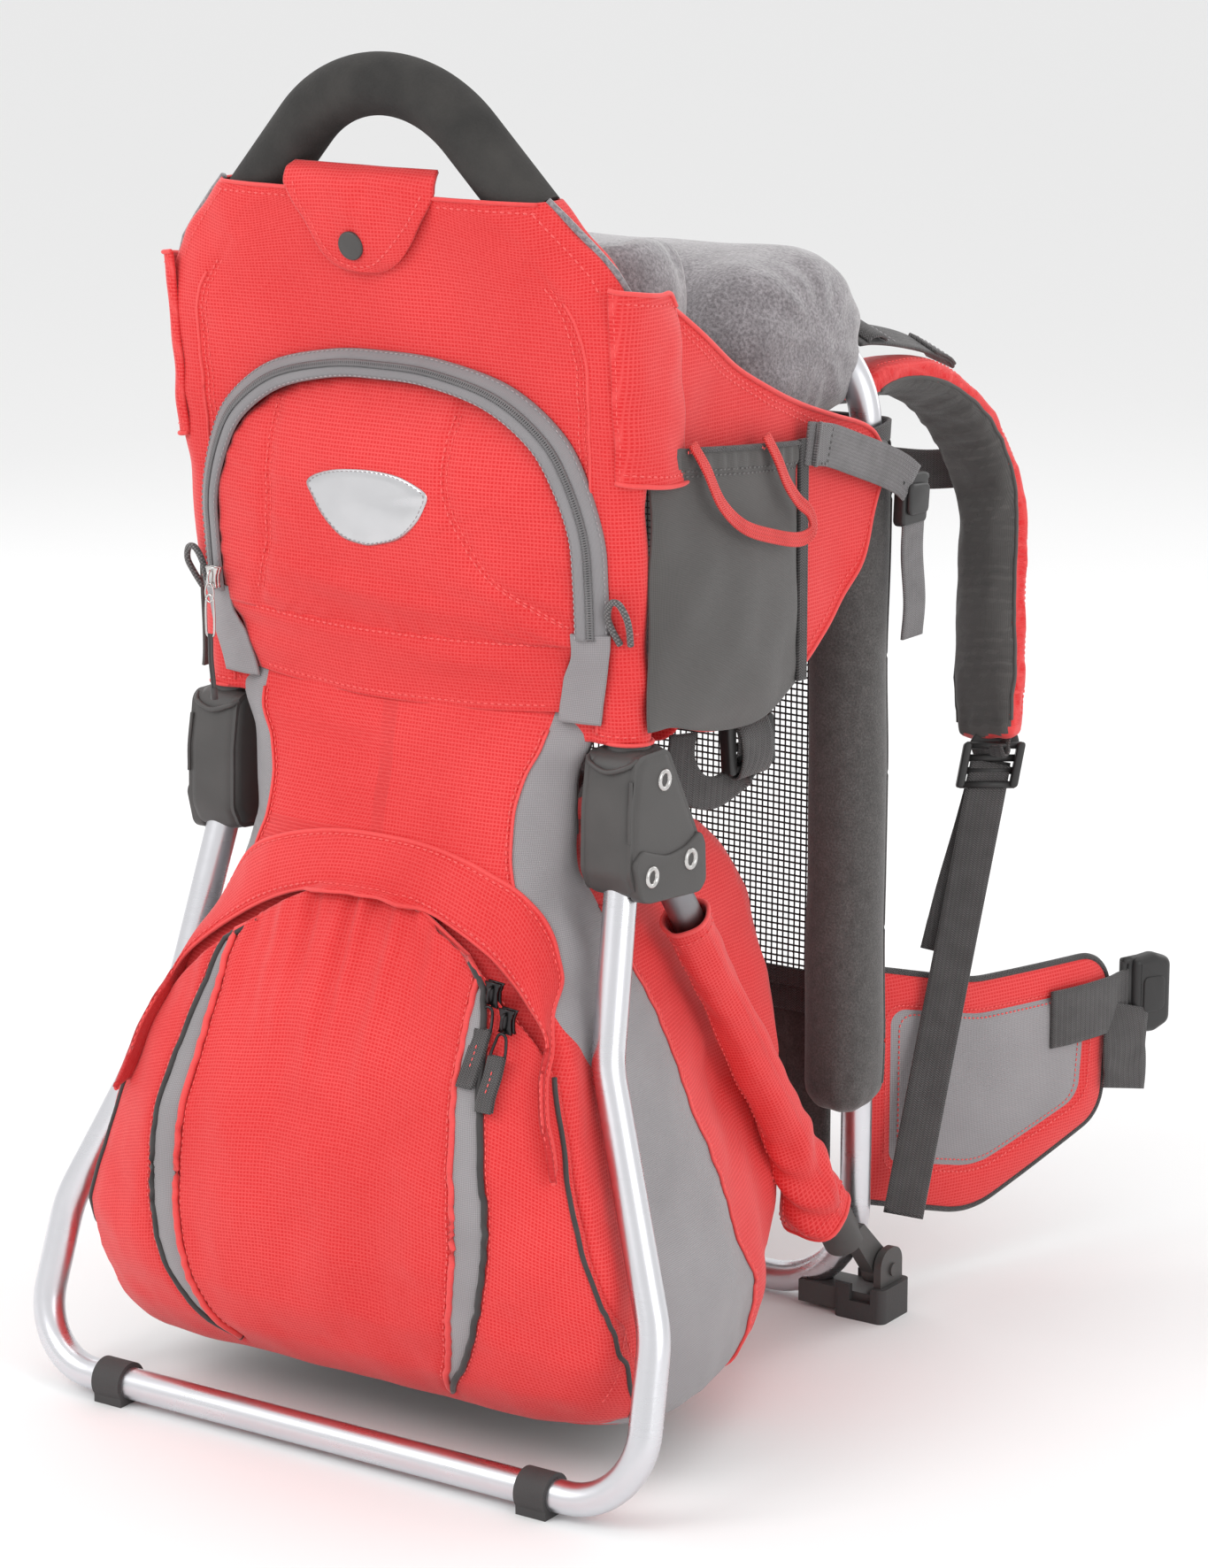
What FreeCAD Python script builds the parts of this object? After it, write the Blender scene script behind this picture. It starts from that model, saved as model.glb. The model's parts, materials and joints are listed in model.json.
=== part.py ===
import FreeCAD, Part

import math
import os

# Child carrier worn on the back.  X runs across the carrier, Y from the child's
# back towards the wearer, Z up.  The origin is on the ground, under the middle of
# the whole carrier.  All lengths are millimetres, all angles degrees.

V = FreeCAD.Vector

SIZES = [
    # frame tubes
    ("tube_dia", 19, "outer diameter of every frame tube"),
    ("tube_gap", 0.25, "clearance of a hole that a tube passes through"),
    ("origin_shift", -28.3, "moves everything along Y so that the origin is central"),
    # rear frame: struts, housings, upper loop and handle
    ("strut_x", 137, "half distance between the struts"),
    ("strut_foot_y", 57, "lower end of the strut"),
    ("strut_foot_z", 58, "lower end of the strut"),
    ("strut_lean", 35.9, "lean of the strut from vertical"),
    ("housing_top", 411, "top of the hinge housing"),
    ("loop_y", -180, "upper loop where it leaves the housing"),
    ("loop_lean", 5.25, "lean of the upper loop towards the rear"),
    ("shoulder_x", 145.5, "upper loop at its shoulder bend"),
    ("shoulder_z", 648, "height of the shoulder bend"),
    ("apex_z", 806.3, "height where the two shoulder lines would meet"),
    ("handle_bend", 75, "bend radius of the handle"),
    ("shoulder_bend", 60, "bend radius of the shoulders and of the knee"),
    ("grip_dia", 34.5, "outer diameter of the foam grip"),
    ("grip_half", 94.6, "half width of the foam grip at its ends"),
    # stand
    ("pivot_y", -187, "stand pivot"),
    ("pivot_z", 345, "stand pivot"),
    ("stand_lean", 16.62, "lean of the stand towards the rear"),
    ("stand_fold", 48, "angle that the stand folds through"),
    ("stand_knee_x", 150, "stand leg where it turns outwards"),
    ("stand_knee_s", 110, "distance of that turn below the pivot"),
    ("stand_hip_x", 208, "stand leg where it turns down again"),
    ("stand_hip_s", 250, "distance of that turn below the pivot"),
    ("stand_corner_x", 215, "stand corner before rounding"),
    ("stand_reach", 347, "distance of the ground bar below the pivot"),
    ("stand_corner_bend", 43, "bend radius of the stand corner"),
    ("pin_dia", 8, "diameter of the pivot pins"),
    ("glide_x", 151, "half distance between the stand glides"),
    ("glide_wide", 20, "width of a glide"),
    # back frame
    ("back_x", 129, "half distance between the back tubes"),
    ("back_y", 86, "plane of the back frame"),
    ("back_bottom", 11, "height of the lower bar's centre line"),
    ("back_bend", 60, "bend radius of the back frame"),
    ("back_joint_z", 300, "height where the two back tubes meet"),
    ("back_top", 612, "height of the upper bar's centre line"),
    ("foot_y", 88, "pivot between the two frames"),
    ("foot_z", 31, "pivot between the two frames"),
    # housings
    ("housing_inner_x", 122, "inner face of the housing"),
    ("housing_outer_x", 155, "outer face of the housing"),
    # soft parts
    ("fabric", 4, "thickness of a padded fabric panel"),
    ("pocket_deep", 10, "depth of the arched pocket"),
    ("panel_deep", 28, "depth of the rear panel around the tubes"),
    ("pad_x", 128, "middle of a back pad"),
    ("pad_wide", 44, "width of a back pad"),
    ("pad_deep", 52, "depth of a back pad"),
    ("pad_low", 140, "lower end of a back pad"),
    ("pad_high", 548, "upper end of a back pad"),
    ("strap_wide", 54, "width of a shoulder strap"),
    ("strap_thick", 22, "thickness of a shoulder strap"),
    ("strap_bend", 84, "radius of the shoulder strap's crown"),
    ("webbing", 25, "width of the narrow webbing"),
    ("webbing_thick", 2, "thickness of the webbing"),
    ("wing_thick", 16, "thickness of a hip wing"),
    ("wing_long", 213, "length of a hip wing"),
    ("wing_turn", 70, "direction of a hip wing from the X axis"),
    ("side_x", 150.5, "inner face of the side panel"),
    ("side_thick", 5, "thickness of the side panel"),
    ("pouch_deep", 16, "depth of the side pocket"),
    ("pouch_wall", 2.5, "wall of the side pocket"),
]

doc = FreeCAD.newDocument("child_carrier")


class Sizes:
    """The spreadsheet's values, readable by name."""


def make_sheet():
    sheet = doc.addObject("Spreadsheet::Sheet", "Sizes")
    values = Sizes()
    for row, (name, value, note) in enumerate(SIZES, start=1):
        sheet.set(f"A{row}", name)
        sheet.set(f"B{row}", str(value))
        sheet.set(f"C{row}", note)
        sheet.setAlias(f"B{row}", name)
        setattr(values, name, value)
    doc.recompute()
    return values


d = make_sheet()
nodes = {}


# ---------------------------------------------------------------- helpers

def point(x, y, z):
    """A point of the carrier, with the central origin applied."""
    return V(x, y + d.origin_shift, z)


def direction(degrees_from_down):
    """Unit vector in the YZ plane; 0 points down and positive turns to +Y."""
    angle = math.radians(degrees_from_down)
    return V(0, math.sin(angle), -math.cos(angle))


def loop_y(z):
    """Y of the upper loop's leaning plane at a height."""
    return d.loop_y - math.tan(math.radians(d.loop_lean)) * (z - d.housing_top)


def keep(label, shape_object):
    """Registers a finished sub-part under its own label."""
    shape_object.Label = label
    nodes[label] = shape_object
    return shape_object


def bind(target, **bindings):
    """Binds properties of an object to spreadsheet cells."""
    for prop, expression in bindings.items():
        for name, _, _ in SIZES:
            expression = expression.replace(f"<{name}>", f"Sizes.{name}")
        target.setExpression(prop.replace("__", "."), expression)


def corner(before, vertex, after, radius):
    """Start, middle, end and centre of the arc that rounds one vertex."""
    back = (before - vertex).normalize()
    ahead = (after - vertex).normalize()
    half = math.acos(max(-1.0, min(1.0, back.dot(ahead)))) / 2
    middle_way = (back + ahead).normalize()
    centre = vertex + middle_way * (radius / math.sin(half))
    reach = radius / math.tan(half)
    return vertex + back * reach, centre - middle_way * radius, vertex + ahead * reach


def rounded_edges(points, radii, closed=False):
    """Straight lines joined by tangent arcs, as curves."""
    count = len(points)
    curves = []
    first_start = None
    last_end = None if closed else points[0]
    for i in range(count):
        at_end = not closed and i in (0, count - 1)
        if at_end or radii[i] == 0:
            start = end = points[i]
            arc = None
        else:
            start, middle, end = corner(points[i - 1], points[i], points[(i + 1) % count], radii[i])
            arc = Part.Arc(start, middle, end)
        if last_end is None:
            first_start = start
        elif (start - last_end).Length > 1e-6:
            curves.append(Part.LineSegment(last_end, start))
        if arc:
            curves.append(arc)
        last_end = end
    if closed:
        curves.append(Part.LineSegment(last_end, first_start))
    return curves


def tube(name, points, radii, radius_rule):
    """A round bar swept along straight runs and tangent arcs."""
    path = doc.addObject("Part::Feature", name + "_path")
    wire = Part.Wire([curve.toShape() for curve in rounded_edges(points, radii)])
    path.Shape = wire
    ring = doc.addObject("Part::Circle", name + "_ring")
    bind(ring, Radius=radius_rule)
    heading = (points[1] - points[0]).normalize()
    ring.Placement = FreeCAD.Placement(points[0], FreeCAD.Rotation(V(0, 0, 1), heading))
    sweep = doc.addObject("Part::Sweep", name)
    sweep.Sections = [ring]
    sweep.Spine = (path, [f"Edge{i + 1}" for i in range(len(wire.Edges))])
    sweep.Solid = True
    return sweep


def cut(name, base, *tools):
    """The base with each tool taken away."""
    for number, tool in enumerate(tools):
        step = doc.addObject("Part::Cut", f"{name}_cut{number}")
        step.Base = base
        step.Tool = tool
        base = step
    return base


def fuse(name, *shapes):
    whole = doc.addObject("Part::MultiFuse", name)
    whole.Shapes = list(shapes)
    whole.Refine = True
    return whole


def group(name, *shapes):
    whole = doc.addObject("Part::Compound", name)
    whole.Links = list(shapes)
    return whole


def mirrored(source, name):
    """The same piece on the other side of the carrier."""
    other = doc.addObject("Part::Mirroring", name)
    other.Source = source
    other.Normal = V(1, 0, 0)
    other.Base = V(0, 0, 0)
    return other


def keep_pair(name, right):
    keep(name + "_right", right)
    keep(name + "_left", mirrored(right, name + "_mirror"))


def plane(body, role):
    return [item for item in body.Origin.OriginFeatures if item.Role == role][0]


def slab(name, plane_role, outline, radii, length_rule, placement, symmetric=False):
    """A body padded from one rounded outline drawn in a base plane."""
    body = doc.addObject("PartDesign::Body", name)
    sketch = body.newObject("Sketcher::SketchObject", name + "_outline")
    sketch.AttachmentSupport = (plane(body, plane_role), [""])
    sketch.MapMode = "FlatFace"
    corners = [V(u, v, 0) for u, v in outline]
    for curve in rounded_edges(corners, radii, closed=True):
        sketch.addGeometry(curve)
    pad = body.newObject("PartDesign::Pad", name + "_pad")
    pad.Profile = sketch
    bind(pad, Length=length_rule)
    if symmetric:
        pad.SideType = "Symmetric"
    body.Placement = placement
    return body


def side_slab(name, outline, radii, length_rule, x, symmetric=False):
    """A slab whose outline is a side view (Y, Z), padded along +X from x."""
    return slab(name, "YZ_Plane", outline, radii, length_rule,
                FreeCAD.Placement(point(x, 0, 0), FreeCAD.Rotation()), symmetric)


def rear_slab(name, outline, radii, length_rule, gap):
    """A slab in the upper loop's leaning plane.

    The outline is a rear view (X, height); gap moves it behind the plane."""
    lean = FreeCAD.Rotation(V(1, 0, 0), d.loop_lean)
    foot = point(0, d.loop_y, d.housing_top)
    drawn = [(x, (z - d.housing_top) / math.cos(math.radians(d.loop_lean))) for x, z in outline]
    place = FreeCAD.Placement(foot + lean.multVec(V(0, -gap, 0)), lean)
    return slab(name, "XZ_Plane", drawn, radii, length_rule, place)


def block(name, low, high):
    """A plain box between two corners."""
    item = doc.addObject("Part::Box", name)
    item.Length = high[0] - low[0]
    item.Width = high[1] - low[1]
    item.Height = high[2] - low[2]
    item.Placement.Base = point(*low)
    return item


def bar(name, start, end, radius_rule):
    """A round bar between two points."""
    item = doc.addObject("Part::Cylinder", name)
    bind(item, Radius=radius_rule)
    along = point(*end) - point(*start)
    item.Height = along.Length
    item.Placement = FreeCAD.Placement(point(*start), FreeCAD.Rotation(V(0, 0, 1), along))
    return item


def strip(name, start, end, width_rule, across):
    """Flat webbing from one point to another, its width along across."""
    item = doc.addObject("Part::Box", name)
    first = point(*start)
    along = point(*end) - first
    bind(item, Width=width_rule, Height="<webbing_thick>")
    item.Length = along.Length
    item.recompute()
    turn = FreeCAD.Rotation(along, across, V(0, 0, 0), "XYZ")
    wide = item.Width.Value
    thick = item.Height.Value
    item.Placement = FreeCAD.Placement(first - turn.multVec(V(0, wide / 2, thick / 2)), turn)
    return item


def layers(name, sections):
    """A solid through level polygons, each a height and its (X, Y) corners."""
    loft = doc.addObject("Part::Loft", name)
    rings = []
    for number, (height, corners) in enumerate(sections):
        ring = doc.addObject("Part::Polygon", f"{name}_level{number}")
        ring.Nodes = [point(x, y, height) for x, y in corners]
        ring.Close = True
        rings.append(ring)
    loft.Sections = rings
    loft.Solid = True
    loft.Ruled = True
    return loft


def both_sides(half):
    """A left-right symmetric ring of corners from its right half."""
    return half + [(-x, y) for x, y in reversed(half)]


# ---------------------------------------------------------------- rear frame

def rear_frame_points():
    """One bent tube: strut, knee inside the housing, shoulder and handle."""
    lean = math.tan(math.radians(d.strut_lean))
    slope = math.tan(math.radians(d.loop_lean))
    # the strut line y = foot - lean (z - foot) meets the loop line at the knee
    knee_z = (d.strut_foot_y + lean * d.strut_foot_z - d.loop_y - slope * d.housing_top) / (lean - slope)
    foot = point(d.strut_x, d.strut_foot_y, d.strut_foot_z)
    knee = point(d.strut_x, loop_y(knee_z), knee_z)
    shoulder = point(d.shoulder_x, loop_y(d.shoulder_z), d.shoulder_z)
    right = [foot, knee, shoulder]
    apex = point(0, loop_y(d.apex_z), d.apex_z)
    return right + [apex] + [V(-p.x, p.y, p.z) for p in reversed(right)]


def make_rear_frame():
    points = rear_frame_points()
    bends = [0, d.shoulder_bend, d.shoulder_bend, d.handle_bend, d.shoulder_bend, d.shoulder_bend, 0]
    keep("rear_frame_tube", tube("rear_frame", points, bends, "<tube_dia> / 2"))
    return tube("rear_frame_space", points, bends, "<tube_dia> / 2 + <tube_gap>")


def grip_sweep(name, radius_rule):
    """A round bar over the top bend of the rear frame."""
    shoulder, apex = rear_frame_points()[2:4]
    share = (shoulder.x - d.grip_half) / shoulder.x
    end = shoulder + (apex - shoulder) * share
    other = V(-end.x, end.y, end.z)
    return tube(name, [end, apex, other], [0, d.handle_bend, 0], radius_rule)


def make_handle_grip(tube_space):
    foam = grip_sweep("grip_foam", "<grip_dia> / 2")
    keep("handle_grip", cut("grip", foam, tube_space))


def make_leg_slot():
    """The wedge inside a housing that the stand leg turns through."""
    half = d.tube_dia / 2 + 1.5
    long = 80
    pivot = V(d.pivot_y, d.pivot_z, 0)

    def plan(degrees_from_down, along, aside):
        way = direction(degrees_from_down)
        return (pivot.x + way.y * along - way.z * aside, pivot.y + way.z * along + way.y * aside)

    rest = -d.stand_lean - 2
    folded = d.stand_fold - d.stand_lean + 2
    outline = [plan(rest, 0, -half), plan(rest, long, -half),
               plan(folded, long, half), plan(folded, 0, half)]
    wedge = side_slab("leg_wedge", outline, [0] * 4, "<tube_dia> + 4.4", d.strut_x - 9.7)
    eye = doc.addObject("Part::Cylinder", "leg_eye")
    eye.Radius = 14
    bind(eye, Height="<tube_dia> + 4.4")
    eye.Placement = FreeCAD.Placement(point(d.strut_x - 9.7, d.pivot_y, d.pivot_z),
                                      FreeCAD.Rotation(V(0, 1, 0), 90))
    return fuse("leg_slot", wedge, eye)


def make_housings(tube_space):
    """Two moulded halves that clamp the knee and hold the stand pivot."""
    outline = [(-198, 411), (-203, 380), (-204, 345), (-197, 332), (-137, 327), (-133, 352), (-166, 411)]
    radii = [8, 20, 14, 8, 10, 14, 10]
    slot = make_leg_slot()
    pin_hole = bar("pivot_hole", (d.housing_inner_x - 1, d.pivot_y, d.pivot_z),
                   (d.housing_outer_x + 1, d.pivot_y, d.pivot_z), "<pin_dia> / 2")
    inner = side_slab("housing_inner", outline, radii, "<strut_x> - <housing_inner_x>", d.housing_inner_x)
    keep_pair("housing_inner", cut("housing_inner", inner, tube_space, slot, pin_hole))
    outer = side_slab("housing_outer", outline, radii, "<housing_outer_x> - <strut_x>", d.strut_x)
    keep_pair("housing_outer", cut("housing_outer", outer, tube_space, slot, pin_hole))


def make_housing_rivets():
    """Domed rivets on the outer faces and the two stand pivot pins."""
    rivets = []
    for number, (y, z) in enumerate([(-172, 394), (-150, 347), (d.pivot_y, d.pivot_z)]):
        head = doc.addObject("Part::Sphere", f"rivet{number}")
        head.Radius = 12
        head.Angle1 = 55
        head.Placement = FreeCAD.Placement(point(d.housing_outer_x + 0.02 - 12 * math.sin(math.radians(55)), y, z),
                                           FreeCAD.Rotation(V(0, 1, 0), 90))
        rivets.append(head)
    pin = bar("stand_pin", (d.housing_inner_x - 2, d.pivot_y, d.pivot_z),
              (d.housing_outer_x + 2, d.pivot_y, d.pivot_z), "<pin_dia> / 2")
    right = group("rivets_right", *rivets[:2], fuse("pin_with_head", rivets[2], pin))
    keep("housing_rivets", group("rivets", right, mirrored(right, "rivets_left")))


def make_strut_foot(tube_space):
    """Moulded end of a strut, with the eye of the frame pivot."""
    up = direction(d.strut_lean) * -1
    end = V(d.strut_x, d.strut_foot_y, d.strut_foot_z)
    high = end + V(0, up.y, up.z) * 30
    low = end - V(0, up.y, up.z) * 4
    ring = bar("foot_ring", tuple(high), tuple(low), "<tube_dia> / 2 + 3")
    eye = bar("foot_eye", (139, d.foot_y, d.foot_z), (149, d.foot_y, d.foot_z), "<pin_dia> / 2 + 7")
    web = side_slab("foot_web", [(50, 62), (82, 24), (92, 40), (64, 66)], [0] * 4, "9.5", 139.25)
    hole = bar("foot_hole", (130, d.foot_y, d.foot_z), (160, d.foot_y, d.foot_z), "<pin_dia> / 2 + <tube_gap>")
    keep_pair("strut_foot", cut("strut_foot", fuse("foot_body", ring, eye, web), tube_space, hole))


# ---------------------------------------------------------------- stand

def stand_points():
    lean = math.radians(d.stand_lean)
    half = [(d.strut_x + 1, -8), (d.stand_knee_x, d.stand_knee_s), (d.stand_hip_x, d.stand_hip_s),
            (d.stand_corner_x, d.stand_reach)]
    plan = half + [(-x, s) for x, s in reversed(half)]
    return [point(x, d.pivot_y - s * math.sin(lean), d.pivot_z - s * math.cos(lean)) for x, s in plan]


def make_stand():
    bends = [0, 60, 70, d.stand_corner_bend, d.stand_corner_bend, 70, 60, 0]
    bent = tube("stand_bent", stand_points(), bends, "<tube_dia> / 2")
    hole = bar("stand_hole", (-170, d.pivot_y, d.pivot_z), (170, d.pivot_y, d.pivot_z),
               "<pin_dia> / 2 + <tube_gap>")
    keep("stand_tube", cut("stand", bent, hole))


def make_stand_glide():
    """A clip around the ground bar with a flat sole."""
    lean = math.radians(d.stand_lean)
    y = d.pivot_y - d.stand_reach * math.sin(lean)
    z = d.pivot_z - d.stand_reach * math.cos(lean)
    low = d.glide_x - d.glide_wide / 2
    high = d.glide_x + d.glide_wide / 2
    ring = bar("glide_ring", (low, y, z), (high, y, z), "<tube_dia> / 2 + 2.9")
    sole = block("glide_sole", (low, y - 10, 0), (high, y + 10, z))
    space = bar("glide_space", (low - 1, y, z), (high + 1, y, z), "<tube_dia> / 2 + 0.05")
    keep_pair("stand_glide", cut("glide", fuse("glide_body", ring, sole), space))


# ---------------------------------------------------------------- back frame

def make_back_frame():
    x, y, joint = d.back_x, d.back_y, d.back_joint_z
    lower = [point(x, y, joint), point(x, y, d.back_bottom), point(-x, y, d.back_bottom), point(-x, y, joint)]
    bends = [0, d.back_bend, d.back_bend, 0]
    keep("back_frame_tube", tube("back_lower", lower, bends, "<tube_dia> / 2"))
    upper = [point(x, y, joint), point(x, y, d.back_top), point(-x, y, d.back_top), point(-x, y, joint)]
    keep("back_frame_top_tube", tube("back_upper", upper, bends, "<tube_dia> / 2"))
    whole = [point(x, y, joint), point(x, y, d.back_bottom), point(-x, y, d.back_bottom), point(-x, y, joint)]
    lower_space = tube("back_lower_space", whole, bends, "<tube_dia> / 2 + <tube_gap>")
    upper_space = tube("back_upper_space", upper, bends, "<tube_dia> / 2 + <tube_gap>")
    return lower_space, upper_space


def make_foot_bracket(lower_space):
    """Bracket on the back frame's corner that carries the frame pivot."""
    base = block("bracket_base", (96, 74, 3), (155, 100, 17))
    cheek = side_slab("bracket_cheek", [(74, 3), (100, 3), (100, 45), (74, 45)], [2, 2, 11, 11], "5", 150)
    pin = bar("bracket_pin", (139.3, d.foot_y, d.foot_z), (156.5, d.foot_y, d.foot_z), "<pin_dia> / 2")
    keep_pair("foot_bracket", cut("bracket", fuse("bracket_body", base, cheek, pin), lower_space))
    shell = slab("boot_shell", "XY_Plane", [(123, 70), (159, 70), (159, 104), (123, 104)], [5] * 4, "22",
                 FreeCAD.Placement(point(0, 0, 0), FreeCAD.Rotation()))
    pocket = block("boot_pocket", (90, 73.7, 2.9), (155.3, 100.3, 30))
    web_way = block("boot_way", (135, 60, 12), (150, 74, 30))
    keep_pair("foot_boot", cut("boot", shell, pocket, web_way, lower_space))


# ---------------------------------------------------------------- wearer's side

def make_back_pads(lower_space, upper_space):
    tall = f"{d.pad_high - d.pad_low}"
    half = d.pad_wide / 2
    low, high = d.back_y - 40, d.back_y - 40 + d.pad_deep
    outline = [(d.pad_x - half, low), (d.pad_x + half, low), (d.pad_x + half, high), (d.pad_x - half, high)]
    pad = slab("pad_body", "XY_Plane", outline, [12] * 4, tall,
               FreeCAD.Placement(point(0, 0, d.pad_low), FreeCAD.Rotation()))
    keep_pair("back_pad", cut("pad", pad, lower_space, upper_space))


def make_back_mesh():
    """Mesh between the pads and the padded lumbar band below it."""
    edge = d.pad_x - d.pad_wide / 2 - 1
    mesh = slab("mesh_body", "XZ_Plane", [(-edge, 205), (edge, 205), (edge, 545), (-edge, 545)], [6] * 4,
                "<fabric> / 2", FreeCAD.Placement(point(0, d.back_y + 4, 0), FreeCAD.Rotation()))
    keep("back_mesh", mesh)
    lumbar = slab("lumbar_body", "XZ_Plane", [(-edge, 62), (edge, 62), (edge, 200), (-edge, 200)], [20] * 4,
                  "<fabric> * 4", FreeCAD.Placement(point(0, d.back_y + 20, 0), FreeCAD.Rotation()))
    keep("lumbar_pad", lumbar)


def make_shoulder_strap():
    """A padded band that rises, turns over its crown and runs down outwards."""
    middle = V(155, 488, 0)
    half = d.strap_thick / 2

    def polar(degrees, radius):
        angle = math.radians(degrees)
        return V(middle.x + radius * math.cos(angle), middle.y + radius * math.sin(angle), 0)

    start, stop = 112, -15
    body = doc.addObject("PartDesign::Body", "strap_body")
    sketch = body.newObject("Sketcher::SketchObject", "strap_outline")
    sketch.AttachmentSupport = (plane(body, "YZ_Plane"), [""])
    sketch.MapMode = "FlatFace"
    inner = d.strap_bend - half
    outer = d.strap_bend + half
    angle_out = math.radians(stop)
    ahead = V(math.sin(angle_out), -math.cos(angle_out), 0) * 120
    a, b = polar(start, inner), polar(start, outer)
    c, e = polar(stop, outer), polar(stop, inner)
    halfway = (start + stop) / 2
    sketch.addGeometry(Part.Arc(b, polar(halfway, outer), c))
    sketch.addGeometry(Part.LineSegment(c, c + ahead))
    sketch.addGeometry(Part.LineSegment(c + ahead, e + ahead))
    sketch.addGeometry(Part.LineSegment(e + ahead, e))
    sketch.addGeometry(Part.Arc(e, polar(halfway, inner), a))
    sketch.addGeometry(Part.LineSegment(a, b))
    pad = body.newObject("PartDesign::Pad", "strap_pad")
    pad.Profile = sketch
    bind(pad, Length="<strap_wide>")
    pad.SideType = "Symmetric"
    # the band's own plane leans outwards towards its lower end
    turn = FreeCAD.Rotation(V(1, 0, 0), V(0.965, -0.179, 0.191))
    root = V(0, 90, 555)
    body.Placement = FreeCAD.Placement(point(88, root.y, root.z) - turn.multVec(root), turn)
    keep_pair("shoulder_strap", body)


def make_strap_webbing():
    adjuster_at = (155.5, 194, 321)
    low = (150, 110, 62)
    keep_pair("strap_webbing", strip("strap_web", adjuster_at, low, "<webbing>", V(0.83, 0.56, 0)))
    adjuster = block("adjuster_body", (138, 192, 326), (174, 204, 338))
    keep_pair("strap_adjuster", adjuster)


def make_load_lifters():
    lifter = strip("lifter_web", (100, 124, 600), (106, 199, 581), "<webbing>", V(1, 0, 0))
    keep("load_lifters", group("lifters", lifter, mirrored(lifter, "lifter_left")))


def make_sternum_strap():
    web = strip("sternum_web", (95, 240, 500), (28, 240, 500), "<webbing>", V(0, 0, 1))
    keep("sternum_webbing", group("sternum_webs", web, mirrored(web, "sternum_left")))
    socket = slab("socket_body", "XZ_Plane", [(-8, 482), (27, 482), (27, 518), (-8, 518)], [6] * 4, "12",
                  FreeCAD.Placement(point(0, 246, 0), FreeCAD.Rotation()))
    keep("sternum_buckle_socket", socket)
    clip = slab("clip_body", "XZ_Plane", [(-27, 485), (-8.5, 485), (-8.5, 515), (-27, 515)], [3] * 4, "9",
                FreeCAD.Placement(point(0, 244.5, 0), FreeCAD.Rotation()))
    keep("sternum_buckle_clip", clip)


def make_front_pillow(upper_space):
    outline = [(-30, 545), (112, 556), (118, 632), (72, 672), (-20, 665), (-42, 612)]
    pillow = slab("pillow_body", "YZ_Plane", outline, [24, 24, 30, 36, 30, 30], "268",
                  FreeCAD.Placement(point(0, 0, 0), FreeCAD.Rotation()), symmetric=True)
    keep("front_pillow", cut("pillow", pillow, upper_space))


def make_cam_buckles():
    buckle = slab("cam_body", "YZ_Plane", [(70, 498), (100, 498), (100, 530), (70, 530)], [4] * 4, "10",
                  FreeCAD.Placement(point(156.5, 0, 0), FreeCAD.Rotation()))
    keep("cam_buckles", group("cams", buckle, mirrored(buckle, "cam_left")))


def wing_placement():
    turn = FreeCAD.Rotation(V(0, 0, 1), d.wing_turn)
    return FreeCAD.Placement(point(112, 112, 0), turn)


def make_hip_wings():
    """Padded wings that hinge on upright seams at the lumbar pad."""
    long = d.wing_long
    outline = [(0, 57), (90, 34), (long - 8, 78), (long, 190), (90, 192), (0, 214)]
    wing = slab("wing_body", "XZ_Plane", outline, [6, 60, 24, 14, 90, 6], "<wing_thick>", wing_placement(),
                symmetric=True)
    keep_pair("hip_wing", wing)
    web = slab("wing_web", "XZ_Plane", [(long + 0.5, 135), (long + 20, 135), (long + 20, 173), (long + 0.5, 173)],
               [0] * 4, "3", wing_placement(), symmetric=True)
    socket = slab("hip_socket_body", "XZ_Plane",
                  [(long + 12, 128), (long + 48, 128), (long + 48, 180), (long + 12, 180)], [5] * 4, "14",
                  wing_placement(), symmetric=True)
    keep("hip_buckle_socket", fuse("hip_socket", web, socket))
    clip = slab("hip_clip_body", "XZ_Plane",
                [(long + 12, 132), (long + 44, 132), (long + 44, 176), (long + 12, 176)], [8] * 4, "10",
                wing_placement(), symmetric=True)
    web_left = slab("wing_web_b", "XZ_Plane",
                    [(long + 0.5, 135), (long + 20, 135), (long + 20, 173), (long + 0.5, 173)],
                    [0] * 4, "3", wing_placement(), symmetric=True)
    keep("hip_buckle_clip", mirrored(fuse("hip_clip", clip, web_left), "hip_clip_mirror"))


# ---------------------------------------------------------------- child's side

def make_rear_panel(tube_space):
    """Fabric back of the child's seat, sleeved over the upper loop."""
    half = [(110, 455), (110, 418), (158, 418), (161, 545), (157, 668), (112, 708)]
    outline = half + [(-x, z) for x, z in reversed(half)]
    radii = [0, 0, 6, 40, 30, 10, 10, 30, 40, 6, 0, 0]
    skin = rear_slab("panel_skin", outline, radii, "<panel_deep>", -d.panel_deep / 2)
    inside = [(118, 380), (122, 560), (112, 660), (84, 700), (-84, 700), (-112, 660), (-122, 560), (-118, 380)]
    hollow = rear_slab("panel_hollow", inside, [0, 30, 30, 20, 20, 30, 30, 0], "<panel_deep>",
                       -d.panel_deep / 2 - 6)
    grip_space = grip_sweep("grip_space", "<grip_dia> / 2 + 0.4")
    keep("rear_panel", cut("panel", skin, hollow, tube_space, grip_space))


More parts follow.
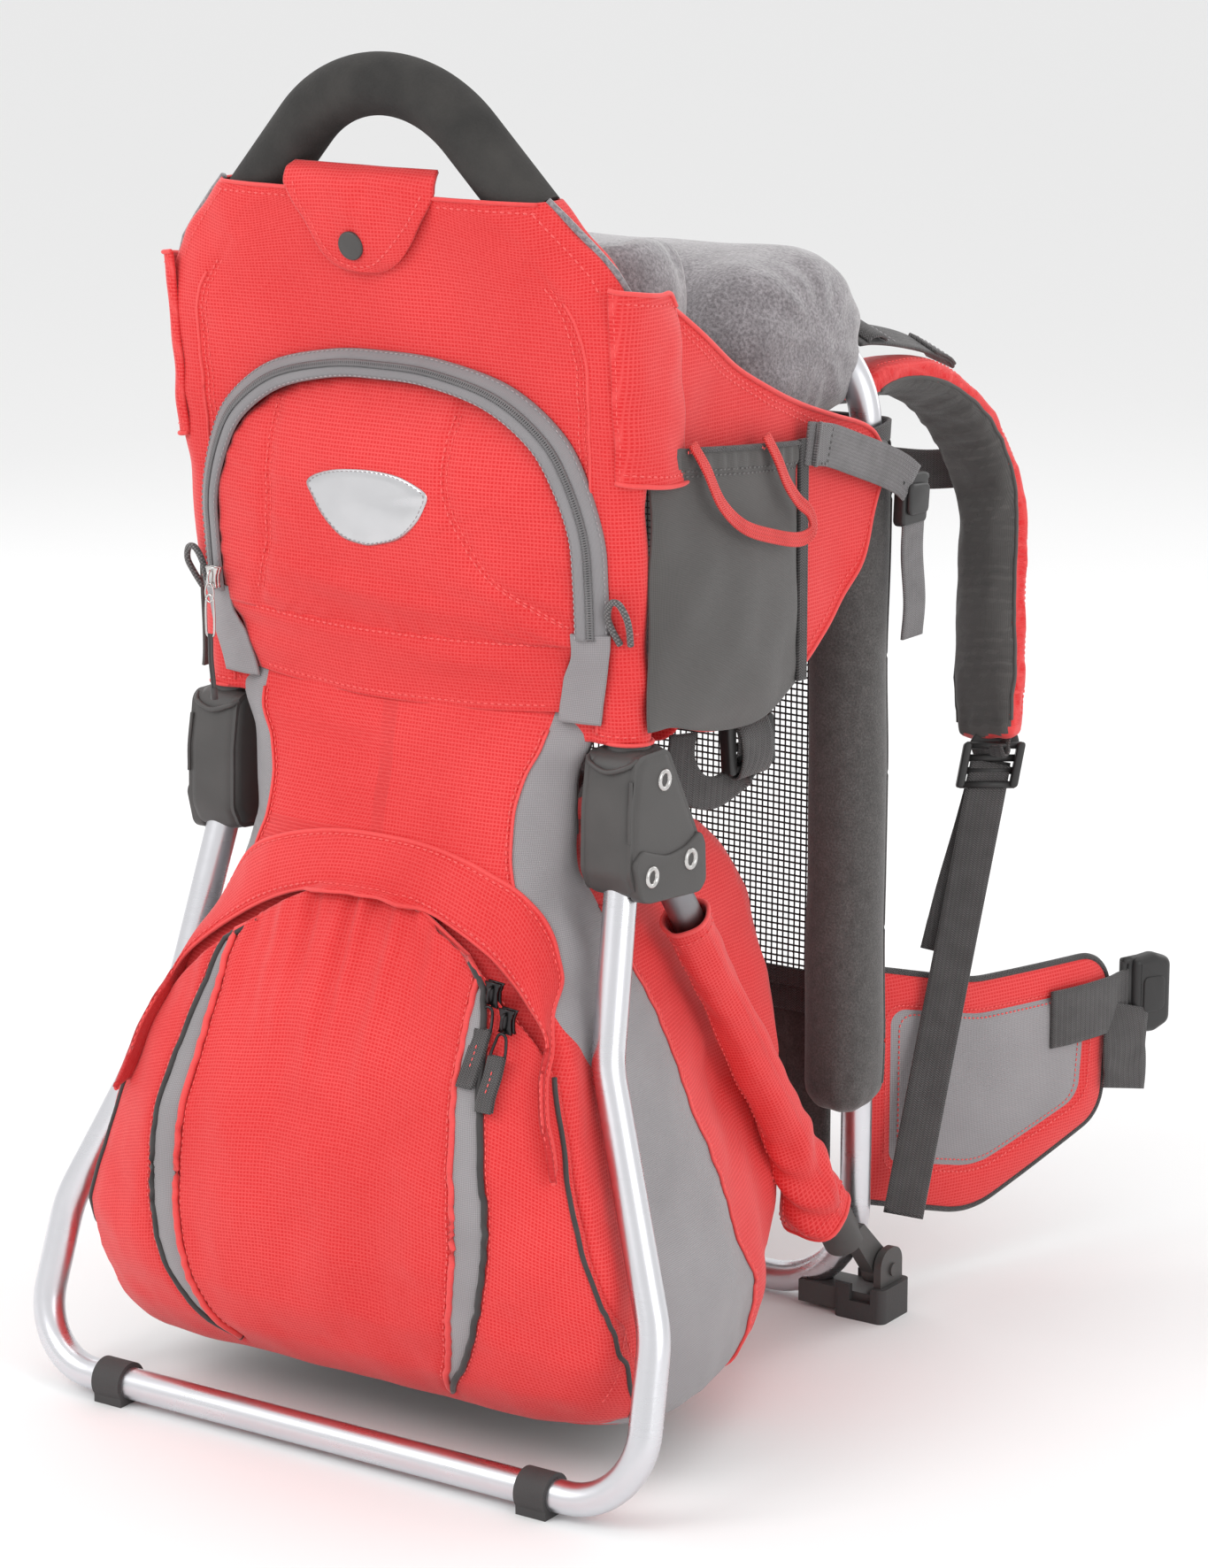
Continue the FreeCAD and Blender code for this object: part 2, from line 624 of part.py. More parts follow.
def make_canopy_pocket():
    """Pocket with an arched zip on the rear panel."""
    behind = d.panel_deep / 2 + 0.3
    outline = [(-126, 462), (126, 462), (137, 540), (90, 612), (-90, 612), (-137, 540)]
    radii = [12, 12, 40, 70, 70, 40]
    keep("canopy_pocket", rear_slab("pocket_body", outline, radii, "<pocket_deep>", behind))
    rim = [(-127, 478), (127, 478), (138, 541), (91, 614), (-91, 614), (-138, 541)]
    core = [(-115, 440), (115, 440), (126, 540), (86, 602), (-86, 602), (-126, 540)]
    band = rear_slab("tape_band", rim, [0, 0, 40, 70, 70, 40], "2", behind + d.pocket_deep + 0.3)
    core_cut = rear_slab("tape_core", core, [0, 0, 36, 60, 60, 36], "6", behind + d.pocket_deep - 1)
    keep("pocket_zip_tape", cut("tape", band, core_cut))


def make_pocket_zip():
    behind = d.panel_deep / 2 + d.pocket_deep + 2.9
    slider = rear_slab("slider_body", [(-128, 480), (-120, 480), (-119, 494), (-127, 494)], [2] * 4, "4",
                       behind)
    keep("pocket_zip_slider", slider)
    pull = rear_slab("pull_body", [(-127, 440), (-121, 440), (-120, 479), (-126, 479)], [2] * 4, "1.6",
                     behind + 1.2)
    keep("pocket_zip_pull", pull)


def make_headrest():
    """Fleece cushion round the child's head, open towards the front."""
    outer = [(-118, -178), (118, -178), (134, -98), (-134, -98)]
    lobe_gap = [(-78, -150), (78, -150), (84, -90), (-84, -90)]
    cushion = slab("headrest_body", "XY_Plane", outer, [16, 16, 14, 14], "118",
                   FreeCAD.Placement(point(0, -6, 572), FreeCAD.Rotation()))
    gap = slab("headrest_gap", "XY_Plane", lobe_gap, [20, 20, 0, 0], "130",
               FreeCAD.Placement(point(0, -6, 566), FreeCAD.Rotation()))
    keep("headrest", cut("headrest", cushion, gap))


def make_strut_sleeve():
    up = direction(d.strut_lean) * -1
    end = V(d.strut_x, d.strut_foot_y, d.strut_foot_z)
    low = end + V(0, up.y, up.z) * 34
    high = end + V(0, up.y, up.z) * 300
    outer = bar("sleeve_outer", tuple(low), tuple(high), "<tube_dia> / 2 + 3.5")
    inner = bar("sleeve_inner", tuple(low), tuple(high), "<tube_dia> / 2 + 0.5")
    keep_pair("strut_sleeve", cut("sleeve", outer, inner))


def make_lower_bag():
    """Bag under the child, squarish at the bottom and bulging between the stand legs.

    Each level is its height, half width, rear Y, front half width, front Y, and how far
    round the side (first along Y, then inward) its bend sits."""
    low, high = (0.55, 0.2), (0.4, 1 / 3)
    levels = [(31, 150, -250, 100, -88, low), (42, 180, -256, 110, -58, low),
              (62, 188, -261, 114, -24, low), (80, 189, -262, 117, 0, low),
              (150, 172, -270, 117, 12, high), (198, 150, -262, 116, 12, high),
              (240, 130, -250, 112, 8, high), (300, 108, -234, 104, -2, high),
              (345, 95, -222, 90, -20, high)]
    corner_cut = 26
    sections = []
    for height, wide, back, narrow, ahead, (along, inward) in levels:
        bend = (wide - (wide - narrow) * inward, back + (ahead - back) * along)
        half = [(wide - corner_cut, back), (wide, back + corner_cut), bend,
                (narrow, ahead - 20), (narrow - 24, ahead)]
        sections.append((height, both_sides(half)))
    body = layers("bag", sections)
    waist = side_slab("bag_waist", [(-222, 338), (-206, 338), (-187, 453), (-199, 453)], [0] * 4, "176", 0, True)
    keep("lower_bag", fuse("bag_whole", body, waist))


def make_lower_pocket():
    """Gathered pocket on the rear of the bag; levels give height, half width, Y, bulge."""
    levels = [(48, 150, -259, 8), (62, 172, -261, 16), (80, 180, -262, 24), (150, 168, -270, 22),
              (198, 150, -262, 26), (240, 144, -250, 16), (300, 136, -234, 4)]
    clearance = 0.6
    sections = []
    for height, wide, back, bulge in levels:
        inner = back - clearance
        half = [(wide - 60, inner - bulge), (wide - 30, inner - bulge * 0.8), (wide - 27, inner)]
        sections.append((height, both_sides(half)))
    keep("lower_pocket", layers("pocket", sections))


def make_bag_zips():
    """Two sliders at the pocket's mouth, each with a hanging webbing tab."""
    places = {"inner": (93, -255.0, 274), "outer": (106, -260.6, 262)}
    wide, thick, tall = 9, 4.8, 14
    for name, (x, y, z) in places.items():
        slider = block(f"slider_{name}", (x, y, z), (x + wide, y + thick, z + tall))
        keep(f"bag_slider_{name}", slider)
        middle = x + wide / 2
        top, foot = (middle, y - 2.4, z - 0.5), (middle, y - 19.5, z - 39)
        keep(f"bag_pull_{name}", strip(f"pull_{name}", top, foot, str(wide), V(1, 0, 0)))


def make_child_seat():
    """Seat shell: back, base and the front wall between the child's legs."""
    back = side_slab("seat_back", [(-176, 352), (-164, 352), (-181, 562), (-193, 562)], [0] * 4, "196", 0, True)
    base = side_slab("seat_base", [(-176, 350), (-10, 350), (4, 366), (-164, 366)], [4, 6, 4, 4], "176", 0, True)
    front = side_slab("seat_front", [(-6, 362), (4, 362), (14, 480), (4, 480)], [0] * 4, "120", 0, True)
    keep("child_seat", fuse("seat", back, base, front))


def make_child_harness():
    """Shoulder and crotch webbing of the child's belt, with its buckle."""
    right = strip("harness_web", (40, -163, 540), (40, -148, 400), "<webbing>", V(1, 0, 0))
    keep("child_harness", group("harness", right, mirrored(right, "harness_left")))


def make_sides():
    """Side panels between the frames and their open-topped pockets."""
    outline = [(-160, 434), (-71, 410), (-14, 434), (44, 480), (62, 520), (66, 546), (44, 560),
               (-74, 604), (-160, 655)]
    radii = [4, 40, 60, 60, 20, 8, 40, 60, 10]
    keep_pair("side_panel", side_slab("side_panel", outline, radii, "<side_thick>", d.side_x))
    x = d.side_x + d.side_thick + 0.3
    pouch = side_slab("side_pouch", [(-156, 438), (-71, 414), (-20, 436), (-18, 552), (-150, 552)],
                      [6, 30, 20, 4, 4], "<pouch_deep>", x)
    wall = d.pouch_wall
    room = side_slab("side_room", [(-151, 444), (-71, 420), (-24, 440), (-22, 560), (-146, 560)],
                     [6, 26, 16, 0, 0], "<pouch_deep> - 2 * <pouch_wall>", x + wall)
    keep_pair("side_pocket", cut("side_pocket", pouch, room))


def make_closure_flap():
    outline = [(-66, 722), (-58, 700), (-30, 668), (6, 668), (34, 700), (42, 722)]
    gap = d.panel_deep / 2 + 0.6
    flap = rear_slab("flap_body", outline, [4, 20, 12, 12, 20, 4], "<fabric> - 1", gap)
    keep("closure_flap", flap)
    snap = doc.addObject("Part::Cylinder", "snap_body")
    snap.Radius = 7.5
    snap.Height = 2.5
    behind = gap + d.fabric - 0.8
    snap.Placement = FreeCAD.Placement(point(-12, loop_y(683) - behind, 683), FreeCAD.Rotation(V(1, 0, 0), 90 + d.loop_lean))
    keep("snap_cap", snap)


# ---------------------------------------------------------------- assembly

def build():
    rear_space = make_rear_frame()
    make_handle_grip(rear_space)
    make_housings(rear_space)
    make_housing_rivets()
    make_strut_foot(rear_space)
    make_stand()
    make_stand_glide()
    lower_space, upper_space = make_back_frame()
    make_foot_bracket(lower_space)
    make_back_pads(lower_space, upper_space)
    make_back_mesh()
    make_shoulder_strap()
    make_strap_webbing()
    make_load_lifters()
    make_sternum_strap()
    make_front_pillow(upper_space)
    make_cam_buckles()
    make_hip_wings()
    make_rear_panel(rear_space)
    make_canopy_pocket()
    make_pocket_zip()
    make_headrest()
    make_strut_sleeve()
    make_lower_bag()
    make_lower_pocket()
    make_bag_zips()
    make_child_seat()
    make_child_harness()
    make_sides()
    make_closure_flap()
    doc.recompute()


def check():
    """Stops the build if anything failed to compute."""
    for item in doc.Objects:
        if "Invalid" in item.State or "Error" in item.State:
            raise RuntimeError(f"{item.Name} failed: {item.State}")
    for label, item in nodes.items():
        if item.Shape.isNull() or not item.Shape.isValid():
            raise RuntimeError(f"{label} has no valid shape")


def write():
    os.makedirs("parts", exist_ok=True)
    whole = FreeCAD.BoundBox()
    for label, item in nodes.items():
        item.Shape.exportStep(f"parts/{label}.step")
        whole.add(item.Shape.BoundBox)
    print(len(nodes), "sub-parts;", whole)


build()
check()
write()
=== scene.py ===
import json
import math

import bmesh
import bpy
import numpy as np
from mathutils import Matrix, Vector, noise
from mathutils.bvhtree import BVHTree

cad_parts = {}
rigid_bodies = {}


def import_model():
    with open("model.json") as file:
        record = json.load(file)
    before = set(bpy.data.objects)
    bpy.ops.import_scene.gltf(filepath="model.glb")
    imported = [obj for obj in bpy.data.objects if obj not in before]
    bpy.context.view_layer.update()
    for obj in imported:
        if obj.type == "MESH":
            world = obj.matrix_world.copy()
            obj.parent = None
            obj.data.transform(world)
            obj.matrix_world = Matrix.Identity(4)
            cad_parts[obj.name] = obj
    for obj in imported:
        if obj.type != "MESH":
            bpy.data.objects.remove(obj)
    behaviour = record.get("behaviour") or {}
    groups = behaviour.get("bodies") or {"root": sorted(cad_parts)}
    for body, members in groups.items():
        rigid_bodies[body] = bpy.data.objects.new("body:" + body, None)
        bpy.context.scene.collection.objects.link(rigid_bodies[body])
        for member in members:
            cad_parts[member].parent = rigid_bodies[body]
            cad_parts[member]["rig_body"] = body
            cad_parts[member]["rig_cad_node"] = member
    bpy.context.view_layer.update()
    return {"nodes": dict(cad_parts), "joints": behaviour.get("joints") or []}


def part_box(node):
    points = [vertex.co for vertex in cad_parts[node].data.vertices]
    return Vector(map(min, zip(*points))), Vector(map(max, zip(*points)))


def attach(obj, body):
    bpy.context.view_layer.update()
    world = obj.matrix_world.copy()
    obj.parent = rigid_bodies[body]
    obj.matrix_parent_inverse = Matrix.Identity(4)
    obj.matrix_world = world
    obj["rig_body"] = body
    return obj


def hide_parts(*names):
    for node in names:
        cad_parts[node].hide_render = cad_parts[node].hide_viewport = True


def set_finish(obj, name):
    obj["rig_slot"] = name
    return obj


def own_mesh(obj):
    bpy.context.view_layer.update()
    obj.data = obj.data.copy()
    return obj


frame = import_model()

# Lengths below are millimetres in the design drawing's axes: X across the carrier,
# Y from the child towards the wearer, Z up.  The pivot between the two frames is
# 88 mm in front of the drawing's origin, and its packed place gives the shift.
HINGE = next(j for j in frame["joints"] if j["name"] == "frame_fold")
SHIFT = HINGE["pos_m"][1] * 1000 - 88
PI = math.pi


def metres(points):
    out = np.array(points, float).reshape(-1, 3) / 1000
    out[:, 1] += SHIFT / 1000
    return out


def loop_y(z):
    """Y of the leaning plane of the rear frame's upper loop."""
    return -180 - 0.0919 * (np.asarray(z, float) - 411)


# ---------------------------------------------------------------- curves

def rom(keys, per, closed=False):
    """Catmull-Rom through keys along the first axis, per steps to a span."""
    keys = np.asarray(keys, float)
    if closed:
        p = np.concatenate([keys[-1:], keys, keys[:2]])
        spans = len(keys)
    else:
        p = np.concatenate([2 * keys[:1] - keys[1:2], keys, 2 * keys[-1:] - keys[-2:-1]])
        spans = len(keys) - 1
    out = []
    for i in range(spans):
        a, b, c, e = p[i], p[i + 1], p[i + 2], p[i + 3]
        for t in np.arange(per) / per:
            out.append(0.5 * (2 * b + (c - a) * t + (2 * a - 5 * b + 4 * c - e) * t * t
                              + (3 * b - 3 * c + e - a) * t ** 3))
    if not closed:
        out.append(keys[-1])
    return np.array(out)


def even(line, count, closed=False):
    """The polyline resampled to evenly spaced points."""
    line = np.asarray(line, float)
    if closed:
        line = np.concatenate([line, line[:1]])
    gaps = np.linalg.norm(np.diff(line, axis=0), axis=1)
    s = np.concatenate([[0], np.cumsum(gaps)])
    at = np.linspace(0, s[-1], count + 1)[:-1] if closed else np.linspace(0, s[-1], count)
    return np.stack([np.interp(at, s, line[:, k]) for k in range(line.shape[1])], axis=1)


def curve(keys, step=3.0, closed=False):
    """A smooth line through keys, sampled about every step millimetres."""
    dense = rom(keys, 14, closed)
    loop = np.concatenate([dense, dense[:1]]) if closed else dense
    long = np.linalg.norm(np.diff(loop, axis=0), axis=1).sum()
    return even(dense, max(4, int(round(long / step))), closed)


def steady(keys, per):
    """Monotone cubic through keys along the first axis: it never overshoots."""
    y = np.asarray(keys, float)
    d = np.diff(y, axis=0)
    m = np.zeros_like(y)
    a, b = d[:-1], d[1:]
    good = a * b > 0
    safe = np.where(good, a + b, 1.0)
    m[1:-1] = np.where(good, 2 * a * b / safe, 0)
    m[0], m[-1] = d[0], d[-1]
    out = []
    for i in range(len(d)):
        for t in np.arange(per) / per:
            h = t * t * (3 - 2 * t)
            out.append(y[i] * (1 - h) + y[i + 1] * h + m[i] * (t * (1 - t) ** 2)
                - m[i + 1] * (t * t * (1 - t)))
    out.append(y[-1])
    return np.array(out)


def unit(v):
    v = np.asarray(v, float)
    return v / np.maximum(np.linalg.norm(v, axis=-1, keepdims=True), 1e-9)


def frames(line, up, closed=False):
    """Directions along, aside and up at every point of a line."""
    line = np.asarray(line, float)
    if closed:
        along = unit(np.roll(line, -1, 0) - np.roll(line, 1, 0))
    else:
        along = unit(np.gradient(line, axis=0))
    up = np.broadcast_to(np.asarray(up, float), line.shape)
    aside = unit(np.cross(along, up))
    return along, aside, np.cross(aside, along)


def smooth01(x, low, high):
    t = np.clip((np.asarray(x, float) - low) / (high - low), 0, 1)
    return t * t * (3 - 2 * t)


def fuzz(points, size, seed=0.0):
    """Smooth noise of about -1..1, its lumps size millimetres across."""
    flat = np.asarray(points, float).reshape(-1, 3) / np.asarray(size, float)
    out = [noise.noise((p[0] + seed, p[1] + 2.3 * seed, p[2] - seed)) for p in flat]
    return np.array(out).reshape(np.asarray(points).shape[:-1]) * 1.6


def near(points, line):
    """Distance to a polyline and arc length at its nearest point."""
    p = np.asarray(points, float).reshape(-1, 3)
    line = np.asarray(line, float)
    a, b = line[:-1], line[1:]
    ab = b - a
    size = np.maximum((ab ** 2).sum(1), 1e-9)
    start = np.concatenate([[0], np.cumsum(np.sqrt(size))])[:-1]
    best = np.full(len(p), 1e9)
    where = np.zeros(len(p))
    for i in range(len(a)):
        t = np.clip(((p - a[i]) @ ab[i]) / size[i], 0, 1)
        far = np.linalg.norm(p - a[i] - t[:, None] * ab[i], axis=1)
        closer = far < best
        best[closer] = far[closer]
        where[closer] = (start[i] + t * math.sqrt(size[i]))[closer]
    shape = np.asarray(points).shape[:-1]
    return best.reshape(shape), where.reshape(shape)


def seam_dip(points, line, deep=1.6, wide=4.0, pucker=0.8, pitch=11.0, reach=13.0):
    """How far fabric sinks at a sewn line, with the small puckers beside it."""
    far, at = near(points, line)
    wave = (np.sin(at * 2 * PI / pitch + 1.7 * np.sin(at * 0.07))
            + 0.6 * np.sin(at * 2 * PI / (pitch * 0.62) + 1.1))
    beside = (far / reach) * np.exp(1 - far / (reach * 0.5))
    return -deep * np.exp(-(far / wide) ** 2) + pucker * wave * beside * 0.6


# ---------------------------------------------------------------- meshes

def mesh_object(name, verts, faces, mats, zones=None, uv=None, smooth=True):
    """A piece from millimetre points; uv is one pair per vertex, in metres."""
    mesh = bpy.data.meshes.new(name)
    mesh.from_pydata(metres(verts).tolist(), [], [list(map(int, f)) for f in faces])
    for m in mats:
        mesh.materials.append(m)
    if zones is not None:
        mesh.polygons.foreach_set("material_index", np.asarray(zones, np.int32))
    if uv is not None:
        layer = mesh.uv_layers.new(name="UVMap")
        loops = np.zeros(len(mesh.loops), np.int32)
        mesh.loops.foreach_get("vertex_index", loops)
        layer.data.foreach_set("uv", np.asarray(uv, np.float32)[loops].ravel())
    mesh.polygons.foreach_set("use_smooth", np.full(len(mesh.polygons), smooth))
    mesh.update()
    item = bpy.data.objects.new(name, mesh)
    bpy.context.scene.collection.objects.link(item)
    return item


def grid_faces(rows, cols, closed=False, offset=0, flip=False):
    r, c = np.meshgrid(np.arange(rows - 1), np.arange(cols if closed else cols - 1), indexing="ij")
    r, c = r.ravel(), c.ravel()
    d = (c + 1) % cols
    quads = np.stack([r * cols + c, r * cols + d, (r + 1) * cols + d, (r + 1) * cols + c], axis=1) + offset
    return quads[:, ::-1] if flip else quads


def grid_normals(g, closed=False):
    down = np.gradient(g, axis=0)
    if closed:
        across = np.roll(g, -1, 1) - np.roll(g, 1, 1)
    else:
        across = np.gradient(g, axis=1)
    return unit(np.cross(across, down))


def grid_uv(g):
    """Arc lengths of a grid in metres, measured from its middle row and column."""
    across = np.linalg.norm(np.diff(g, axis=1), axis=2)
    down = np.linalg.norm(np.diff(g, axis=0), axis=2)
    u = np.concatenate([np.zeros((len(g), 1)), np.cumsum(across, 1)], 1)
    v = np.concatenate([np.zeros((1, g.shape[1])), np.cumsum(down, 0)], 0)
    u = u - u[:, [g.shape[1] // 2]]
    v = v - v[[len(g) // 2], :]
    return np.stack([u, v], axis=2) / 1000


def plan_uv(g, axes):
    """Flat UV from two of the three axes, in metres."""
    return np.asarray(g)[..., list(axes)] / 1000


def sheet(name, g, thick, mats, side=1, zone=None, back=0, uv=None):
    """Cloth of real thickness from a grid of points on its outer face.

    side 1 or -1 picks which way the outer face looks; zone gives each quad of the
    outer face a material and back is the inner face's material."""
    g = np.asarray(g, float)
    rows, cols = g.shape[:2]
    n = grid_normals(g) * side
    inner = g - n * thick
    count = rows * cols
    verts = np.concatenate([g.reshape(-1, 3), inner.reshape(-1, 3)])
    outer_quads = grid_faces(rows, cols, flip=side > 0)
    inner_quads = grid_faces(rows, cols, offset=count, flip=side < 0)
    edge = ([(0, c) for c in range(cols)] + [(r, cols - 1) for r in range(1, rows)]
            + [(rows - 1, c) for c in range(cols - 2, -1, -1)] + [(r, 0) for r in range(rows - 2, 0, -1)])
    loop = [r * cols + c for r, c in edge]
    rim = []
    for a, b in zip(loop, loop[1:] + loop[:1]):
        quad = [a, b, b + count, a + count]
        rim.append(quad if side > 0 else quad[::-1])
    faces = np.concatenate([outer_quads, inner_quads, np.array(rim)])
    front = np.zeros(len(outer_quads), int) if zone is None else np.asarray(zone).ravel()
    zones = np.concatenate([front, np.full(len(inner_quads), back), np.full(len(rim), front[0])])
    flat = (grid_uv(g) if uv is None else uv).reshape(-1, 2)
    return mesh_object(name, verts, faces, mats, zones, np.concatenate([flat, flat]))


def solid_of_rings(name, rings, mats, zone=None, caps=True, uv=None):
    """A closed form through rings of equal point counts; fans close its ends."""
    g = np.asarray(rings, float)
    rows, cols = g.shape[:2]
    verts = list(g.reshape(-1, 3))
    faces = [list(f) for f in grid_faces(rows, cols, closed=True)]
    zones = [0] * len(faces) if zone is None else list(np.asarray(zone).ravel())
    flat = np.zeros((rows, cols, 2))
    across = np.linalg.norm(np.roll(g, -1, 1) - g, axis=2)
    flat[..., 0] = np.cumsum(across, 1) / 1000
    flat[1:, :, 1] = np.cumsum(np.linalg.norm(np.diff(g, axis=0), axis=2), 0) / 1000
    flat = list((flat if uv is None else uv).reshape(-1, 2))
    if caps:
        for row, turn in ((0, 1), (rows - 1, -1)):
            centre = len(verts)
            verts.append(g[row].mean(0))
            flat.append(np.mean(flat[row * cols:(row + 1) * cols], axis=0))
            for c in range(cols):
                tri = [row * cols + c, row * cols + (c + 1) % cols, centre]
                faces.append(tri[::-1] if turn > 0 else tri)
                zones.append(zones[0] if turn > 0 else zones[-1])
    item = mesh_object(name, verts, faces, mats, zones, flat)
    tidy_normals(item)
    return item


def tidy_normals(item):
    """Turns every face of a closed form outwards."""
    work = bmesh.new()
    work.from_mesh(item.data)
    bmesh.ops.recalc_face_normals(work, faces=work.faces)
    work.to_mesh(item.data)
    work.free()


def tube_points(line, radius, sides=10, up=(0, 0, 1), flat=1.0, closed=False):
    """Rings of points round a line; flat squeezes them along up."""
    line = np.asarray(line, float)
    up = np.asarray(up, float)
    _, aside, high = frames(line, up, closed)
    a = np.arange(sides) / sides * 2 * PI
    r = np.broadcast_to(np.asarray(radius, float), (len(line),))[:, None, None]
    return line[:, None] + r * (np.cos(a)[None, :, None] * aside[:, None]
        + flat * np.sin(a)[None, :, None] * high[:, None])


def tube(name, line, radius, mats, sides=10, up=(0, 0, 1), flat=1.0):
    return solid_of_rings(name, tube_points(line, radius, sides, up, flat), mats)


def ribbon_rings(line, across, wide, thick):
    """Rings of a flat webbing: rounded edges, width along across."""
    line = np.asarray(line, float)
    along = unit(np.gradient(line, axis=0))
    across = unit(np.broadcast_to(np.asarray(across, float), line.shape))
    across = unit(across - along * (across * along).sum(1, keepdims=True))
    up = np.cross(along, across)
    w, t = wide / 2, thick / 2
    shape = [(-w + t * .5, -t)] + [(x, -t) for x in np.linspace(-w * .75, w * .75, 5)] + [(w - t * .5, -t),
        (w, 0)]
    shape += [(w - t * .5, t)] + [(x, t) for x in np.linspace(w * .75, -w * .75, 5)] + [(-w + t * .5, t),
        (-w, 0)]
    s = np.array(shape)
    return line[:, None] + s[None, :, :1] * across[:, None] + s[None, :, 1:] * up[:, None], s


def ribbon(name, line, across, wide, thick, mats):
    """Webbing with UVs across and along it, in metres."""
    rings, s = ribbon_rings(line, across, wide, thick)
    run = np.concatenate([[0], np.cumsum(np.linalg.norm(np.diff(np.asarray(line), axis=0), axis=1))])
    uv = np.zeros(rings.shape[:2] + (2,))
    uv[..., 0] = s[None, :, 0] / 1000
    uv[..., 1] = run[:, None] / 1000
    return solid_of_rings(name, rings, mats, uv=uv)


class Parts:
    """Many small closed forms gathered into one mesh."""

    def __init__(self):
        self.verts, self.faces, self.zones, self.total = [], [], [], 0

    def add(self, verts, faces, zone=0):
        self.verts.append(np.asarray(verts, float).reshape(-1, 3))
        self.faces += [[i + self.total for i in f] for f in faces]
        self.zones += [zone] * len(faces)
        self.total += len(self.verts[-1])

    def rings(self, rings, zone=0):
        g = np.asarray(rings, float)
        rows, cols = g.shape[:2]
        faces = [list(f) for f in grid_faces(rows, cols, closed=True)]
        faces += [list(range(cols))[::-1], [(rows - 1) * cols + c for c in range(cols)]]
        self.add(g, faces, zone)

    def tube(self, line, radius, sides=8, up=(0, 0, 1), flat=1.0, zone=0):
        self.rings(tube_points(line, radius, sides, up, flat), zone)

    def ribbon(self, line, across, wide, thick, zone=0):
        self.rings(ribbon_rings(line, across, wide, thick)[0], zone)

    def stitches(self, line, normals, pitch=4.4, long=3.1, wide=0.5, high=0.42, zone=0):
        """Thread showing as short raised stitches along a line."""
        line = np.asarray(line, float)
        normals = np.asarray(normals, float)
        gaps = np.linalg.norm(np.diff(line, axis=0), axis=1)
        s = np.concatenate([[0], np.cumsum(gaps)])
        count = int(s[-1] / pitch)
        if count < 1:
            return
        at = (np.arange(count) + 0.5) * s[-1] / count
        p = np.stack([np.interp(at, s, line[:, k]) for k in range(3)], 1)
        n = unit(np.stack([np.interp(at, s, normals[:, k]) for k in range(3)], 1))
        q = np.stack([np.interp(at + 0.5, s, line[:, k]) for k in range(3)], 1)
        r = np.stack([np.interp(at - 0.5, s, line[:, k]) for k in range(3)], 1)
        t = unit(q - r)
        b = np.cross(n, t)
        for i in range(count):
            c = p[i] + n[i] * 0.12
            rings = [c - t[i] * long / 2]
            body = []
            for f in (-0.26, 0.26):
                for side, lift in ((wide, 0), (0, high), (-wide, 0), (0, -high)):
                    body.append(c + t[i] * long * f + b[i] * side + n[i] * lift)
            verts = rings + body + [c + t[i] * long / 2]
            faces = [[0, 1 + (k + 1) % 4, 1 + k] for k in range(4)]
            faces += [[1 + k, 1 + (k + 1) % 4, 5 + (k + 1) % 4, 5 + k] for k in range(4)]
            faces += [[9, 5 + k, 5 + (k + 1) % 4] for k in range(4)]
            self.add(verts, faces, zone)

    def make(self, name, mats, smooth=True):
        item = mesh_object(name, np.concatenate(self.verts), self.faces, mats, self.zones, smooth=smooth)
        tidy_normals(item)
        return item


def stripe_uv(item, axes=(1, 2)):
    """Flat UVs from two axes for pieces that were built without any."""
    layer = item.data.uv_layers.get("UVMap") or item.data.uv_layers.new(name="UVMap")
    for loop in item.data.loops:
        c = item.data.vertices[loop.vertex_index].co
        layer.data[loop.index].uv = (c[axes[0]], c[axes[1]])
    return item


def over(x, z):
    """Points of the X-Z plane."""
    return np.stack([x, 0 * x, z], -1)


def facing(g, spot, sign):
    """1 where the grid's normal at a spot has that sign, and -1 elsewhere."""
    return 1 if grid_normals(g)[spot] * sign > 0 else -1


def tree_of(*items):
    """A search tree over finished pieces, in millimetres of the drawing."""
    verts, faces, total = [], [], 0
    for item in items:
        co = np.array([v.co for v in item.data.vertices], float) * 1000
        co[:, 1] -= SHIFT
        verts.append(co)
        faces += [[i + total for i in p.vertices] for p in item.data.polygons]
        total += len(co)
    return BVHTree.FromPolygons([Vector(v) for v in np.concatenate(verts)], faces)


def drape(tree, line, way, lift=0.0, start=500):
    """Lays a line on a piece, looking along way; returns points and normals."""
    points, normals = [], []
    ways = np.broadcast_to(np.asarray(way, float), np.shape(line))
    for p, way in zip(np.asarray(line, float), ways):
        way = Vector(way).normalized()
        spot, normal, _, _ = tree.ray_cast(Vector(p) - way * start, way)
        if spot is None:
            spot, normal, _, _ = tree.find_nearest(Vector(p))
        if normal.dot(way) > 0:
            normal = -normal
        points.append(np.array(spot) + np.array(normal) * lift)
        normals.append(np.array(normal))
    normals = np.array(normals)
    for _ in range(2):
        normals = unit(normals + np.roll(normals, 1, 0) * 0.5 + np.roll(normals, -1,
            0) * 0.5) if len(normals) > 4 else normals
    return np.array(points), normals


def superellipse(count, power=2.6):
    a = np.arange(count) / count * 2 * PI
    c, s = np.cos(a), np.sin(a)
    return np.sign(c) * np.abs(c) ** (2 / power), np.sign(s) * np.abs(s) ** (2 / power)


